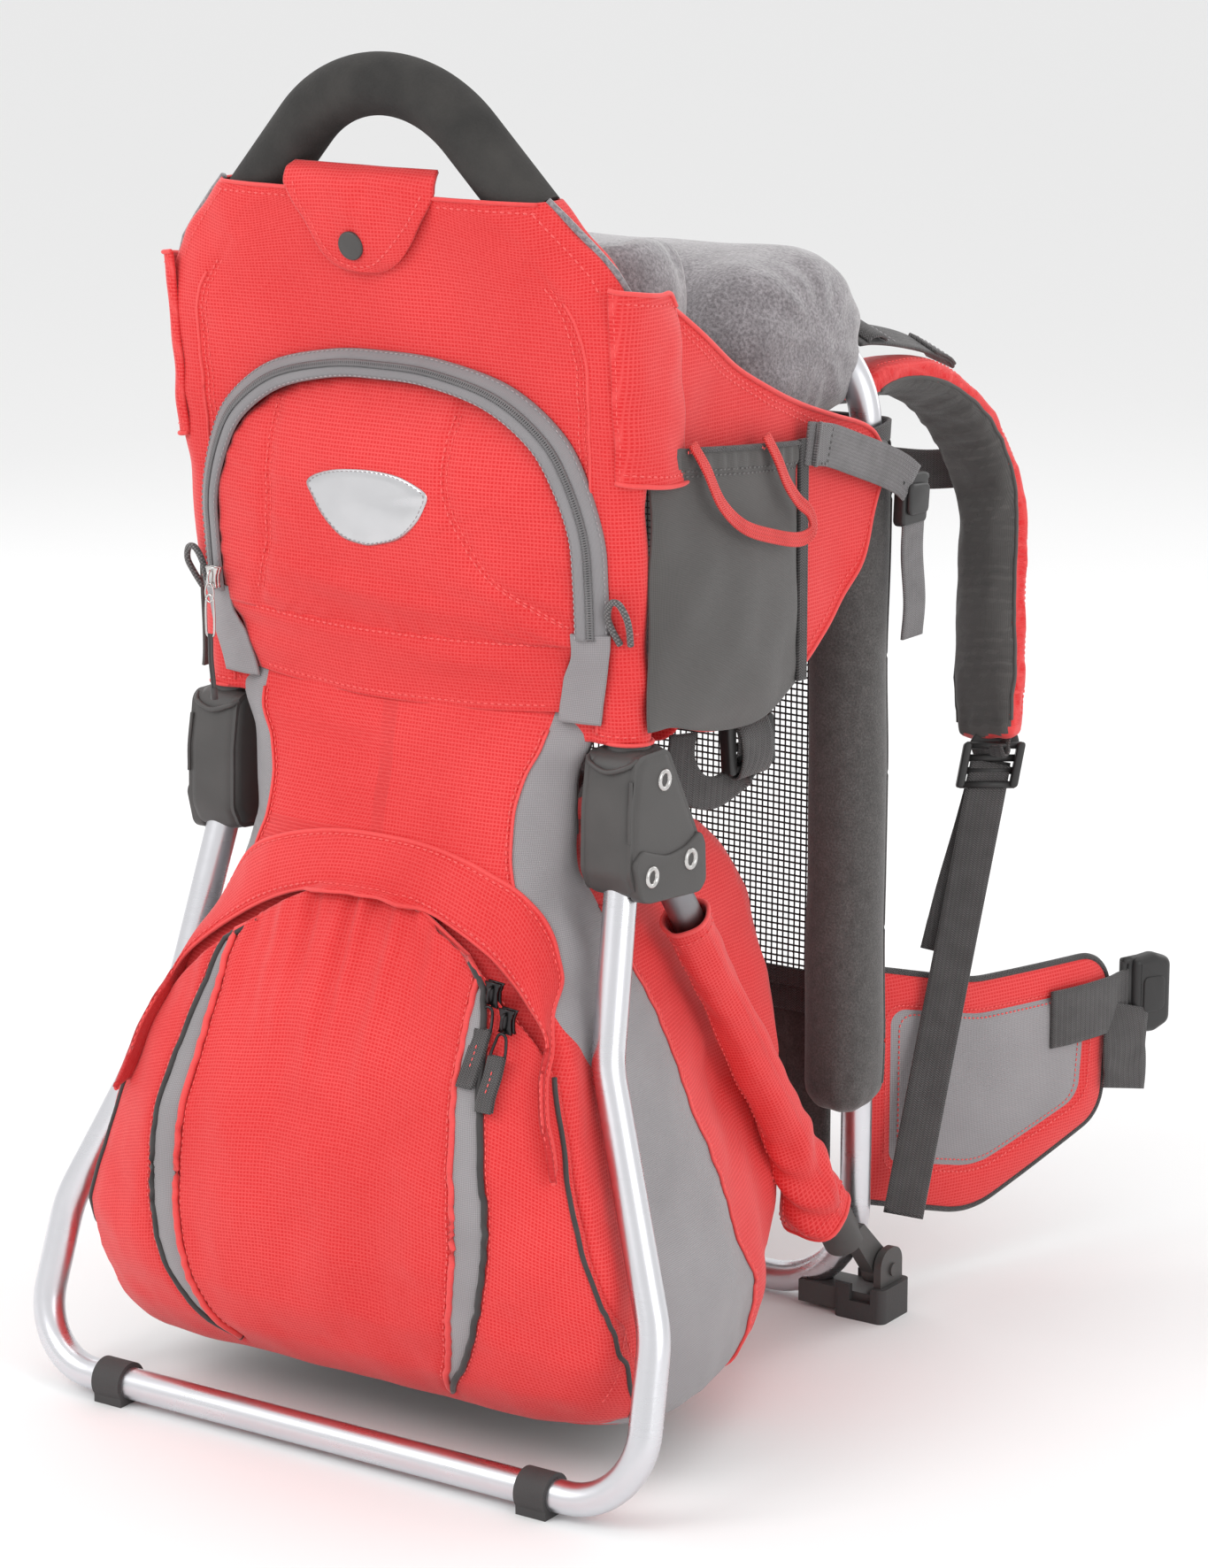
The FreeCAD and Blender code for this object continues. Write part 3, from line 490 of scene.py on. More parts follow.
def pad_rings(line, across, wide, thick, power=3.0, sides=40, ends=(1.0, 1.0), end_steps=6):
    """Rings of a stuffed band along a line: wide and thick may vary along it.

    ends gives how far, in half thicknesses, each end is rounded off."""
    line = np.asarray(line, float)
    count = len(line)
    along = unit(np.gradient(line, axis=0))
    across = unit(np.broadcast_to(np.asarray(across, float), line.shape))
    across = unit(across - along * (across * along).sum(1, keepdims=True))
    up = np.cross(along, across)
    w = np.broadcast_to(np.asarray(wide, float), (count,)) / 2
    t = np.broadcast_to(np.asarray(thick, float), (count,)) / 2
    x, y = superellipse(sides, power)
    rings = []

    def ring(i, shrink_w, shrink_t, move):
        centre = line[i] + along[i] * move
        return centre + x[:, None] * shrink_w * across[i] + y[:, None] * shrink_t * up[i]

    for step in range(end_steps, 0, -1):
        a = step / end_steps * PI / 2 * 0.94
        cut = (1 - math.cos(a)) * t[0] * ends[0]
        rings.append(ring(0, w[0] - cut, t[0] * math.cos(a), -t[0] * ends[0] * math.sin(a)))
    for i in range(count):
        rings.append(ring(i, w[i], t[i], 0))
    for step in range(1, end_steps + 1):
        a = step / end_steps * PI / 2 * 0.94
        cut = (1 - math.cos(a)) * t[-1] * ends[1]
        rings.append(ring(count - 1, w[-1] - cut, t[-1] * math.cos(a), t[-1] * ends[1] * math.sin(a)))
    return np.array(rings)


def offset_outline(outline, inset):
    """A closed outline (u, v) moved inwards by inset."""
    p = np.asarray(outline, float)
    t = unit(np.roll(p, -1, 0) - np.roll(p, 1, 0))
    n = np.stack([-t[:, 1], t[:, 0]], 1)
    area = (p[:, 0] * np.roll(p[:, 1], -1) - np.roll(p[:, 0], -1) * p[:, 1]).sum()
    return p + n * inset * (1 if area > 0 else -1)


def rounded(corners, radii, step=1.5):
    """A closed outline with rounded corners, evenly stepped."""
    pts = np.asarray(corners, float)
    out = []
    for i, radius in enumerate(np.broadcast_to(radii, (len(pts),))):
        a, v, b = pts[i - 1], pts[i], pts[(i + 1) % len(pts)]
        u, w = unit(a - v), unit(b - v)
        half = math.acos(np.clip(u @ w, -1, 1)) / 2
        reach = min(radius / math.tan(half), 0.49 * min(np.linalg.norm(a - v), np.linalg.norm(b - v)))
        r = reach * math.tan(half)
        centre = v + unit(u + w) * (r / math.sin(half))
        start, stop = v + u * reach - centre, v + w * reach - centre
        turn = math.atan2(start[0] * stop[1] - start[1] * stop[0], start @ stop)
        for k in np.linspace(0, 1, 9):
            c, s = math.cos(turn * k), math.sin(turn * k)
            out.append(centre + [start[0] * c - start[1] * s, start[0] * s + start[1] * c])
    out = np.array(out)
    long = np.linalg.norm(np.roll(out, -1, 0) - out, axis=1).sum()
    return even(out, int(long / step), closed=True)


def plate_rings(outline, place, low, high, bevel, steps=4):
    """Rings of a moulded plate: outline (u, v), edges rounded by bevel.

    place(u, v, w) gives the point in the drawing; w runs from low to high."""
    rings = []
    for a in np.linspace(PI / 2, 0, steps + 1):
        rings.append((bevel * (1 - math.cos(a)), low + bevel * (1 - math.sin(a))))
    for a in np.linspace(0, PI / 2, steps + 1):
        rings.append((bevel * (1 - math.cos(a)), high - bevel * (1 - math.sin(a))))
    out = []
    for inset, w in rings:
        p = offset_outline(outline, inset)
        out.append(np.array([place(u, v, w) for u, v in p]))
    return out


def mirror(points):
    return np.asarray(points, float) * [-1, 1, 1]


def mirrored_object(item, name):
    """The same finished mesh on the other side of the carrier."""
    mesh = item.data.copy()
    mesh.name = name
    co = np.array([v.co for v in mesh.vertices], float)
    co[:, 0] *= -1
    mesh.vertices.foreach_set("co", co.ravel())
    mesh.flip_normals()
    other = bpy.data.objects.new(name, mesh)
    bpy.context.scene.collection.objects.link(other)
    return other


FILLS = {}


def settle(item, body, slot=None, nodes=(), padded=None):
    """Declares what a finished piece rides on, replaces and is made of."""
    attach(item, body)
    if nodes:
        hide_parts(*nodes)
    if slot:
        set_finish(item, slot)
    if padded is not None:
        FILLS[item.name] = padded
    return item


# ---------------------------------------------------------------- materials

def srgb(r, g, b):
    """A screen colour of 0..255 as the linear colour that shaders use."""
    out = [(v / 255 / 12.92 if v / 255 <= 0.04045 else ((v / 255 + 0.055) / 1.055) ** 2.4)
        for v in (r, g, b)]
    return out + [1.0]


NODE_SETTINGS = ("operation", "blend_type", "data_type", "offset", "squash", "wave_type", "bands_direction",
                 "wave_profile", "feature", "noise_dimensions", "distance", "use_clamp",
    "interpolation_type")


class Shader:
    """A material and short ways to add nodes to it."""

    def __init__(self, name, metallic=0.0, sheen=0.0, specular=0.5, coat=0.0):
        self.mat = bpy.data.materials.new(name)
        self.mat.use_nodes = True
        self.tree = self.mat.node_tree
        self.out = self.tree.nodes["Principled BSDF"]
        self.out.inputs["Metallic"].default_value = metallic
        self.out.inputs["Specular IOR Level"].default_value = specular
        self.out.inputs["Sheen Weight"].default_value = sheen
        self.out.inputs["Sheen Roughness"].default_value = 0.45
        self.out.inputs["Coat Weight"].default_value = coat
        self.high = None

    def feed(self, socket, value):
        """Links a socket to another one, or sets its value."""
        if isinstance(value, bpy.types.NodeSocket):
            self.tree.links.new(value, socket)
        else:
            socket.default_value = value

    def add(self, kind, **inputs):
        """A node with inputs set to values or linked to sockets."""
        node = self.tree.nodes.new("ShaderNode" + kind)
        for key, value in inputs.items():
            if key in NODE_SETTINGS:
                setattr(node, key, value)
            else:
                self.feed(node.inputs[key.replace("_", " ")], value)
        return node

    def math(self, operation, *values):
        node = self.tree.nodes.new("ShaderNodeMath")
        node.operation = operation
        for socket, value in zip(node.inputs, values):
            self.feed(socket, value)
        return node.outputs[0]

    def mix(self, factor, a, b):
        node = self.tree.nodes.new("ShaderNodeMix")
        node.data_type = "RGBA"
        for socket, value in ((node.inputs[0], factor), (node.inputs[6], a), (node.inputs[7], b)):
            self.feed(socket, value)
        return node.outputs[2]

    def noise(self, where, scale, detail=2.0, rough=0.5):
        return self.add("TexNoise", Vector=where, Scale=scale, Detail=detail,
            Roughness=rough).outputs["Fac"]

    def ramp(self, value, low, high, a=0.0, b=1.0):
        return self.add("MapRange", Value=value, From_Min=low, From_Max=high, To_Min=a,
            To_Max=b).outputs["Result"]

    def uv(self):
        return self.tree.nodes.new("ShaderNodeTexCoord").outputs["UV"]

    def place(self):
        return self.tree.nodes.new("ShaderNodeTexCoord").outputs["Object"]

    def bump(self, height, deep, strength=0.6):
        node = self.add("Bump", Height=height, Strength=strength, Distance=deep)
        if self.high is not None:
            self.tree.links.new(self.high, node.inputs["Normal"])
        self.high = node.outputs["Normal"]

    def done(self, colour, rough):
        for key, value in (("Base Color", colour), ("Roughness", rough), ("Normal", self.high)):
            if value is not None:
                self.feed(self.out.inputs[key], value)
        return self.mat

    def stripes(self, value, pitch, soft=0.35, width=0.5):
        """0..1 lines repeating every pitch metres along a coordinate."""
        turn = self.math("FRACT", self.math("DIVIDE", value, pitch))
        off = self.math("ABSOLUTE", self.math("SUBTRACT", turn, 0.5))
        return self.add("MapRange", Value=off, From_Min=0.5 - width / 2 - soft / 2,
            From_Max=0.5 - width / 2 + soft / 2,
                        To_Min=0.0, To_Max=1.0).outputs["Result"]

    def across(self, vector):
        node = self.tree.nodes.new("ShaderNodeSeparateXYZ")
        self.tree.links.new(vector, node.inputs[0])
        return node.outputs


def woven(name, base, line, pitch, amount=0.5, weave=0.0006, rough=0.62, sheen=0.15, grain=0.3):
    """Cloth with a ripstop grid over a fine plain weave, with slight shade drift."""
    s = Shader(name, sheen=sheen, specular=0.3)
    uv = s.uv()
    x, y, _ = s.across(uv)
    ribs_x, ribs_y = s.stripes(x, pitch, 0.3, 0.3), s.stripes(y, pitch, 0.3, 0.3)
    grid = s.math("MAXIMUM", s.math("MULTIPLY", ribs_x, 0.8), ribs_y)
    fine = s.math("MULTIPLY", s.math("SINE", s.math("MULTIPLY", x, 2 * PI / weave)),
                  s.math("SINE", s.math("MULTIPLY", y, 2 * PI / weave)))
    place = s.place()
    drift = s.noise(place, 9.0, 3.0)
    slub = s.noise(place, 900.0, 1.0)
    shade = s.mix(s.math("MULTIPLY", grid, amount), base, line)
    dark = [base[0] * 0.8, base[1] * 0.72, base[2] * 0.72, 1]
    shade = s.mix(s.math("MULTIPLY", s.ramp(drift, 0.35, 0.75), 0.4), shade, dark)
    shade = s.mix(s.math("MULTIPLY", s.ramp(slub, 0.4, 0.7), grain * 0.5), shade, line)
    s.bump(grid, 0.00012, 0.4)
    s.bump(fine, 0.00006, 0.5)
    s.bump(s.noise(place, 60.0, 3.0), 0.0006, 0.35)
    return s.done(shade, s.ramp(drift, 0.3, 0.8, rough - 0.06, rough + 0.08))


def basket(name, base, line, pitch, rough=0.75):
    """Plain canvas: a diagonal basket weave without the ripstop grid."""
    s = Shader(name, sheen=0.2, specular=0.25)
    x, y, _ = s.across(s.uv())
    a = s.math("ADD", x, y)
    b = s.math("SUBTRACT", x, y)
    over = s.math("MULTIPLY", s.math("SINE", s.math("MULTIPLY", a, 2 * PI / pitch)),
                  s.math("SINE", s.math("MULTIPLY", b, 2 * PI / pitch)))
    place = s.place()
    drift = s.noise(place, 14.0, 3.0)
    shade = s.mix(s.ramp(over, -0.7, 0.9, 0.0, 0.75), base, line)
    shade = s.mix(s.math("MULTIPLY", s.ramp(drift, 0.35, 0.75), 0.35), shade,
        [c * 0.7 for c in base[:3]] + [1])
    s.bump(over, 0.0002, 0.5)
    s.bump(s.noise(place, 45.0, 3.0), 0.0008, 0.35)
    return s.done(shade, s.ramp(drift, 0.3, 0.8, rough - 0.05, rough + 0.07))


def napped(name, base, light, scale=520.0, sheen=0.7, bump=0.0011):
    """Fleece or brushed foam cloth: speckle, fibres and a soft bloom."""
    s = Shader(name, sheen=sheen, specular=0.15)
    place = s.place()
    fibre = s.noise(place, scale, 4.0, 0.7)
    lump = s.noise(place, scale / 7, 3.0, 0.6)
    shade = s.mix(s.ramp(fibre, 0.36, 0.66), base, light)
    shade = s.mix(s.math("MULTIPLY", s.ramp(lump, 0.35, 0.7), 0.35), shade,
        [c * 0.62 for c in base[:3]] + [1])
    s.bump(fibre, bump, 0.55)
    s.bump(lump, bump * 1.6, 0.35)
    return s.done(shade, s.ramp(fibre, 0.3, 0.7, 0.86, 0.98))


def ribbed(name, base, light, pitch=0.0013):
    """Webbing: ribs across its width, two selvedges and a slanted thread."""
    s = Shader(name, sheen=0.2, specular=0.3)
    x, y, _ = s.across(s.uv())
    zig = s.math("MULTIPLY", s.math("PINGPONG", x, 0.0022), 0.9)
    ribs = s.math("SINE", s.math("MULTIPLY", s.math("ADD", y, zig), 2 * PI / pitch))
    cords = s.stripes(x, 0.0021, 0.5, 0.4)
    place = s.place()
    drift = s.noise(place, 70.0, 3.0)
    shade = s.mix(s.ramp(ribs, -0.6, 0.9, 0.0, 0.8), base, light)
    shade = s.mix(s.math("MULTIPLY", cords, 0.35), shade, [c * 0.6 for c in base[:3]] + [1])
    shade = s.mix(s.math("MULTIPLY", s.ramp(drift, 0.4, 0.75), 0.3), shade,
        [c * 0.65 for c in base[:3]] + [1])
    s.bump(ribs, 0.00022, 0.6)
    s.bump(cords, 0.00015, 0.4)
    return s.done(shade, s.ramp(drift, 0.3, 0.8, 0.6, 0.8))


def satin_metal(name, base, rough, streak=(6.0, 6.0, 700.0), spread=0.12):
    """Anodised tube: fine draw lines and a slightly uneven gloss."""
    s = Shader(name, metallic=1.0)
    place = s.place()
    stretch = s.add("Mapping", Vector=place, Scale=streak).outputs[0]
    lines = s.noise(stretch, 1.0, 4.0, 0.7)
    cloud = s.noise(place, 26.0, 3.0)
    shade = s.mix(s.ramp(cloud, 0.3, 0.75, 0.0, 0.5), base, [c * 0.86 for c in base[:3]] + [1])
    s.bump(lines, 0.00002, 0.25)
    gloss = s.math("ADD", s.ramp(cloud, 0.3, 0.7, rough - spread / 2, rough + spread / 2),
        s.ramp(lines, 0.3, 0.7, -0.03, 0.04))
    return s.done(shade, gloss)


def moulded(name, base, rough=0.5, grain=1400.0, deep=0.00012, light=None):
    """Moulded plastic or rubber with a fine spark-eroded grain."""
    s = Shader(name, specular=0.45)
    place = s.place()
    spark = s.noise(place, grain, 2.0, 0.6)
    cloud = s.noise(place, 30.0, 3.0)
    shade = s.mix(s.ramp(cloud, 0.3, 0.75), base, light or [c * 1.35 for c in base[:3]] + [1])
    s.bump(spark, deep, 0.5)
    return s.done(shade, s.math("ADD", s.ramp(cloud, 0.3, 0.7, rough - 0.06, rough + 0.06),
        s.ramp(spark, 0.3, 0.7, -0.04, 0.05)))


def thread(name, base):
    """Sewing thread: two plies twisted round each other."""
    s = Shader(name, sheen=0.3, specular=0.3)
    place = s.place()
    ply = s.noise(place, 1500.0, 2.0)
    shade = s.mix(s.ramp(ply, 0.35, 0.65), base, [min(1, c * 1.3 + 0.02) for c in base[:3]] + [1])
    s.bump(ply, 0.0002, 0.5)
    return s.done(shade, s.ramp(ply, 0.3, 0.7, 0.55, 0.75))


def braided(name, base, light):
    """Round cord cover: crossing strands of light and dark yarn."""
    s = Shader(name, sheen=0.2, specular=0.3)
    x, y, _ = s.across(s.uv())
    a = s.stripes(s.math("ADD", x, y), 0.0022, 0.5, 0.5)
    b = s.stripes(s.math("SUBTRACT", x, y), 0.0022, 0.5, 0.5)
    over = s.math("MULTIPLY", a, b)
    s.bump(over, 0.0003, 0.7)
    fluff = s.noise(s.place(), 900.0, 2.0)
    return s.done(s.mix(over, base, light), s.ramp(fluff, 0.3, 0.7, 0.6, 0.8))


# Metres between the threads of the ripstop grid, of the coarse canvas and of the fine one.
RIPSTOP, COARSE, FINE = 0.0022, 0.0021, 0.0016
RED = woven("RedRipstop", srgb(214, 26, 30), srgb(250, 108, 106), RIPSTOP, 0.52)
RED_IN = woven("RedRipstopInside", srgb(188, 22, 26), srgb(226, 88, 88), RIPSTOP, 0.3)
GUSSET = basket("LightGreyCanvas", srgb(138, 134, 136), srgb(176, 172, 174), COARSE)
DARK = basket("DarkGreyCanvas", srgb(78, 76, 75), srgb(108, 105, 103), FINE)
FLEECE = napped("GreyFleece", srgb(112, 107, 110), srgb(166, 161, 164))
PAD_CLOTH = napped("DarkPadCloth", srgb(70, 68, 67), srgb(102, 99, 98), 900.0, 0.35, 0.0004)
WEB_DARK = ribbed("DarkWebbing", srgb(62, 60, 60), srgb(112, 109, 109))
WEB_GREY = ribbed("GreyWebbing", srgb(96, 93, 94), srgb(146, 143, 144))
WEB_RED = ribbed("RedWebbing", srgb(200, 28, 28), srgb(246, 92, 86), FINE)
BINDING = ribbed("DarkBinding", srgb(56, 54, 54), srgb(98, 95, 95), FINE)
TAPE = basket("ZipTape", srgb(128, 125, 127), srgb(172, 169, 171), 0.0012, 0.7)
MESH_BLACK = thread("BlackMeshYarn", srgb(26, 25, 26))
RED_THREAD = thread("RedThread", srgb(240, 84, 82))
GREY_THREAD = thread("GreyThread", srgb(150, 146, 148))
DARK_THREAD = thread("DarkThread", srgb(92, 89, 89))
COIL = moulded("ZipCoil", srgb(104, 102, 103), 0.45, 900.0)
SILVER = satin_metal("SatinAluminium", srgb(222, 222, 226), 0.3)
GREY_TUBE = satin_metal("GreyTube", srgb(146, 145, 148), 0.42)
STEEL = satin_metal("BrightSteel", srgb(206, 204, 202), 0.22, (90.0, 90.0, 90.0))
GUNMETAL = satin_metal("BlackSlider", srgb(62, 60, 61), 0.3, (90.0, 90.0, 90.0))
PLASTIC = moulded("DarkPlastic", srgb(68, 66, 65), 0.5)
BLACK_PLASTIC = moulded("BlackPlastic", srgb(40, 39, 39), 0.42)
RUBBER = moulded("GreyRubber", srgb(62, 60, 60), 0.72, 900.0, 0.0002)
FOAM = moulded("BlackFoam", srgb(42, 41, 40), 0.93, 620.0, 0.0007, srgb(66, 64, 62))
CORD_COVER = braided("BraidedCord", srgb(74, 72, 72), srgb(150, 148, 148))
PATCH = satin_metal("SilverPatch", srgb(204, 204, 206), 0.38, (40.0, 40.0, 40.0), 0.2)


# ---------------------------------------------------------------- camera and light

# Metres, from the middle of the boots: the camera, what it looks at, the lights
# (name, place, width and height, watts) and half the floor's side.
CAMERA_AT, CAMERA_AIM = (1.510, -2.2673, 0.9985), (0.125, -0.2133, 0.390)
LENS, SENSOR = 105.9, 36
WORLD_LIGHT, FLOOR, LIT_CENTRE = 0.9, 30, (0.0, -0.05, 0.38)
LIGHTS = (
    ("key", (-0.9, -2.2, 2.1), (1.4, 1.4), 24),
    ("right_fill", (2.6, -0.6, 1.3), (1.6, 1.6), 16),
    ("left_edge", (-2.2, 0.6, 1.4), (1.2, 1.6), 10),
    ("top", (0.1, 0.3, 2.6), (1.6, 1.6), 8),
    ("back_fill", (0.6, 2.6, 1.2), (1.6, 1.6), 8),
)


def area_light(name, place, aim, size, power):
    data = bpy.data.lights.new(name, "AREA")
    data.shape = "RECTANGLE"
    data.size, data.size_y = size
    data.energy = power
    item = bpy.data.objects.new(name, data)
    bpy.context.scene.collection.objects.link(item)
    item.location = place
    item.rotation_mode = "QUATERNION"
    item.rotation_quaternion = (Vector(aim) - Vector(place)).to_track_quat("-Z", "Y")
    return item


def make_stage():
    scene = bpy.context.scene
    view = scene.view_settings
    view.view_transform = "Standard"
    view.look = "None"
    world = bpy.data.worlds.new("Studio")
    scene.world = world
    world.use_nodes = True
    back = world.node_tree.nodes["Background"]
    back.inputs["Color"].default_value = (1, 1, 1, 1)
    back.inputs["Strength"].default_value = WORLD_LIGHT
    floor_mesh = bpy.data.meshes.new("floor")
    corners = [(-FLOOR, -FLOOR, 0), (FLOOR, -FLOOR, 0), (FLOOR, FLOOR, 0), (-FLOOR, FLOOR, 0)]
    floor_mesh.from_pydata(corners, [], [(0, 1, 2, 3)])
    floor = bpy.data.objects.new("floor", floor_mesh)
    scene.collection.objects.link(floor)
    pale = bpy.data.materials.new("PaleFloor")
    pale.use_nodes = True
    surface = pale.node_tree.nodes["Principled BSDF"].inputs
    surface["Base Color"].default_value = (0.9, 0.9, 0.9, 1)
    surface["Roughness"].default_value = 0.8
    floor_mesh.materials.append(pale)
    for name, place, size, power in LIGHTS:
        area_light(name, place, LIT_CENTRE, size, power)
    camera = bpy.data.cameras.new("camera")
    camera.lens, camera.sensor_width = LENS, SENSOR
    item = bpy.data.objects.new("camera", camera)
    scene.collection.objects.link(item)
    item.location = CAMERA_AT
    item.rotation_mode = "QUATERNION"
    item.rotation_quaternion = (Vector(CAMERA_AIM) - item.location).to_track_quat("-Z", "Y")
    scene.camera = item


make_stage()


# ---------------------------------------------------------------- rear panel

LOOP_X = ([383, 411, 625, 640, 652, 665, 806], [137, 137.9, 144.7, 143, 138.8, 129.7, 0])
PANEL_EDGE = ([410, 480, 545, 600, 640, 660, 677, 690, 705, 716],
    [151, 153, 156, 157.5, 157.5, 155, 146, 134, 119, 107])
PANEL_BULGE = ([410, 600, 650, 690, 705, 716], [13.4, 13.4, 15.0, 18.6, 19.6, 19.8])


def loop_x(z):
    return np.interp(z, *LOOP_X)


def panel_gap(z):
    """How far the rear skin stands behind the loop's plane."""
    return np.interp(z, *PANEL_BULGE)


def behind(x, z, gap):
    """A point gap millimetres behind the loop's plane."""
    return [x, loop_y(z) - gap, z]


def make_panel_skin():
    rows = []
    for z in (415, 430, 455, 480, 510, 545, 580, 610, 635, 655, 670, 682, 694, 704, 713):
        t, edge, gap = float(loop_x(z)), float(np.interp(z, *PANEL_EDGE)), float(panel_gap(z))
        turn = min(12.8, gap)
        high = float(smooth01(z, 672, 694))
        half = [(t * 0.5, gap - 0.3 * (1 - high)), (t - 22, gap + 0.6 * high),
            (min(t, edge - 14), max(turn, gap - 2 + 1.6 * high)), (edge - 3, 6.5 + 6 * high), (edge, 0),
                (edge - 4, -8), (min(t, edge - 9), -12.6), (t - 12, -10.5), (t - 17, -2)]
        keys = [(-x, g) for x, g in reversed(half)] + [(0, gap)] + half
        rows.append([behind(x, z, g) for x, g in keys])
    g = steady(rows, 7)
    g = np.array([rom(row, 9) for row in g])
    x, z = g[..., 0], g[..., 2]
    inside = smooth01(np.abs(x), 150, 90)
    fold = fuzz(np.stack([x * 0.5 + z * 0.35, z * 0.3 - x * 0.2, x * 0], -1), 24.0, 3.1) * 1.1
    drag = np.sin((np.abs(x) - 0.62 * (z - 560)) / 9.0) * np.exp(
        -((np.abs(x) - 118) / 22) ** 2) * smooth01(z, 560, 680) * 0.9
    ripple = np.sin(z / 4.6 + np.sin(z / 19)) * np.exp(-((np.abs(x) - loop_x(z) + 16) / 7) ** 2) * 0.55
    sleeve = np.sin(z / 7.5 + 2 * np.sin(z / 23) + x * 0.06) * smooth01(np.abs(x), 138, 154) * 0.9
    dip = seam_dip(np.stack([np.abs(x), 0 * x, z], -1),
                   [[loop_x(v) - 15, 0, v] for v in range(415, 690, 12)], 1.1, 2.6, 0.35, 9)
    n = grid_normals(g)
    n *= np.where(n[:, [n.shape[1] // 2], 1:2] > 0, -1, 1)
    g = g + n * (inside * fold + drag + ripple + sleeve + dip)[..., None]
    up = 1 if grid_normals(g)[10, g.shape[1] // 2, 1] < 0 else -1
    item = sheet("panel_skin", g, 1.6, [RED, RED_IN], side=up, back=1)
    return settle(item, "rear_frame", "red_fabric", ["rear_panel"])


def make_panel_lining():
    """Grey fleece on the child's side, peeping out along the slanting corners."""
    rows = []
    for z in (470, 520, 570, 610, 645, 670, 690, 704):
        t, gap = float(loop_x(z)), float(panel_gap(z))
        keys = [(-(t - 14), -3), (-(t - 24), gap - 8), (-t * 0.45, gap - 5), (0, gap - 4.5),
            (t * 0.45, gap - 5), (t - 24, gap - 8), (t - 14, -3)]
        rows.append([behind(x, z, g) for x, g in keys])
    g = np.array([rom(row, 6) for row in steady(rows, 5)])
    g[..., 1] += fuzz(g, 40.0, 7.0) * 1.2
    item = sheet("panel_lining", g, 1.5, [FLEECE], side=facing(g, (9, 18, 1), 1))
    settle(item, "rear_frame", "fleece")
    edge = Parts()
    for side in (1, -1):
        zs = np.linspace(664, 714, 24)
        line = [behind(side * (np.interp(z, *PANEL_EDGE) + 0.8), z, -1.5 + (z - 664) * 0.2) for z in zs]
        edge.tube(curve(line, 2.0), 2.1, 10)
    settle(edge.make("panel_fleece_edge", [FLEECE]), "rear_frame", "fleece")


def make_panel_sewing(panel):
    """Hems, sleeve seams and the short seam above each sleeve end."""
    tree = tree_of(panel)
    sewing = Parts()
    for side in (1, -1):
        def edge(z, inset):
            return side * (np.interp(z, *PANEL_EDGE) - inset)
        lines = [
            [(side * v, 0, 707.5) for v in np.linspace(44, 108, 30)],
            [(edge(z, 9.5), 0, z - 1.5) for z in np.linspace(668, 709, 20)],
            [(side * (loop_x(z) - 14.6), 0, z) for z in np.linspace(420, 668, 90)],
            [(side * (loop_x(z) - 18.2), 0, z) for z in np.linspace(560, 668, 40)],
            [(side * v, 0, 478.5) for v in np.linspace(141, 152, 8)],
            [(side * v, 0, 420) for v in np.linspace(128, 149, 12)],
        ]
        for line in lines:
            sewing.stitches(*drape(tree, line, (0, 1, 0), 0.05))
    settle(sewing.make("panel_sewing", [RED_THREAD]), "rear_frame")
    # the folded hems themselves
    hem = Parts()
    for side in (1, -1):
        line = [(side * v, 0, 712.2) for v in np.linspace(40, 107, 26)]
        p, _ = drape(tree, line, (0, 1, 0), 0.2)
        hem.tube(p, 1.15, 8, zone=0)
        line = [(side * (loop_x(z) - 11.4), 0, z) for z in np.linspace(420, 660, 80)]
        p, _ = drape(tree, line, (0, 1, 0), 0.1)
        hem.tube(p, 0.9, 8, zone=0)
        ring = [behind(side * (137.4 + 14.5 * math.cos(a)), 415.5, 13.2 * math.sin(a))
            for a in np.linspace(0, 2 * PI, 40)]
        hem.tube(curve(ring, 2.0), 1.2, 8, zone=0)
    settle(hem.make("panel_hems", [RED]), "rear_frame", "red_fabric")


# ---------------------------------------------------------------- arched pocket

ARCH_OUT = [(139, 475), (139.5, 505), (138.5, 533), (128, 568), (113, 591), (82, 612), (38, 622.5),
    (0, 624.5)]
ARCH_IN = [(122, 475), (122.5, 505), (121, 534), (110, 563), (96, 582), (69, 599), (32, 608), (0, 609.5)]


def whole_arch(half, count):
    keys = half + [(-x, z) for x, z in reversed(half[:-1])]
    return even(rom([(x, 0, z) for x, z in keys], 12), count)[:, [0, 2]]


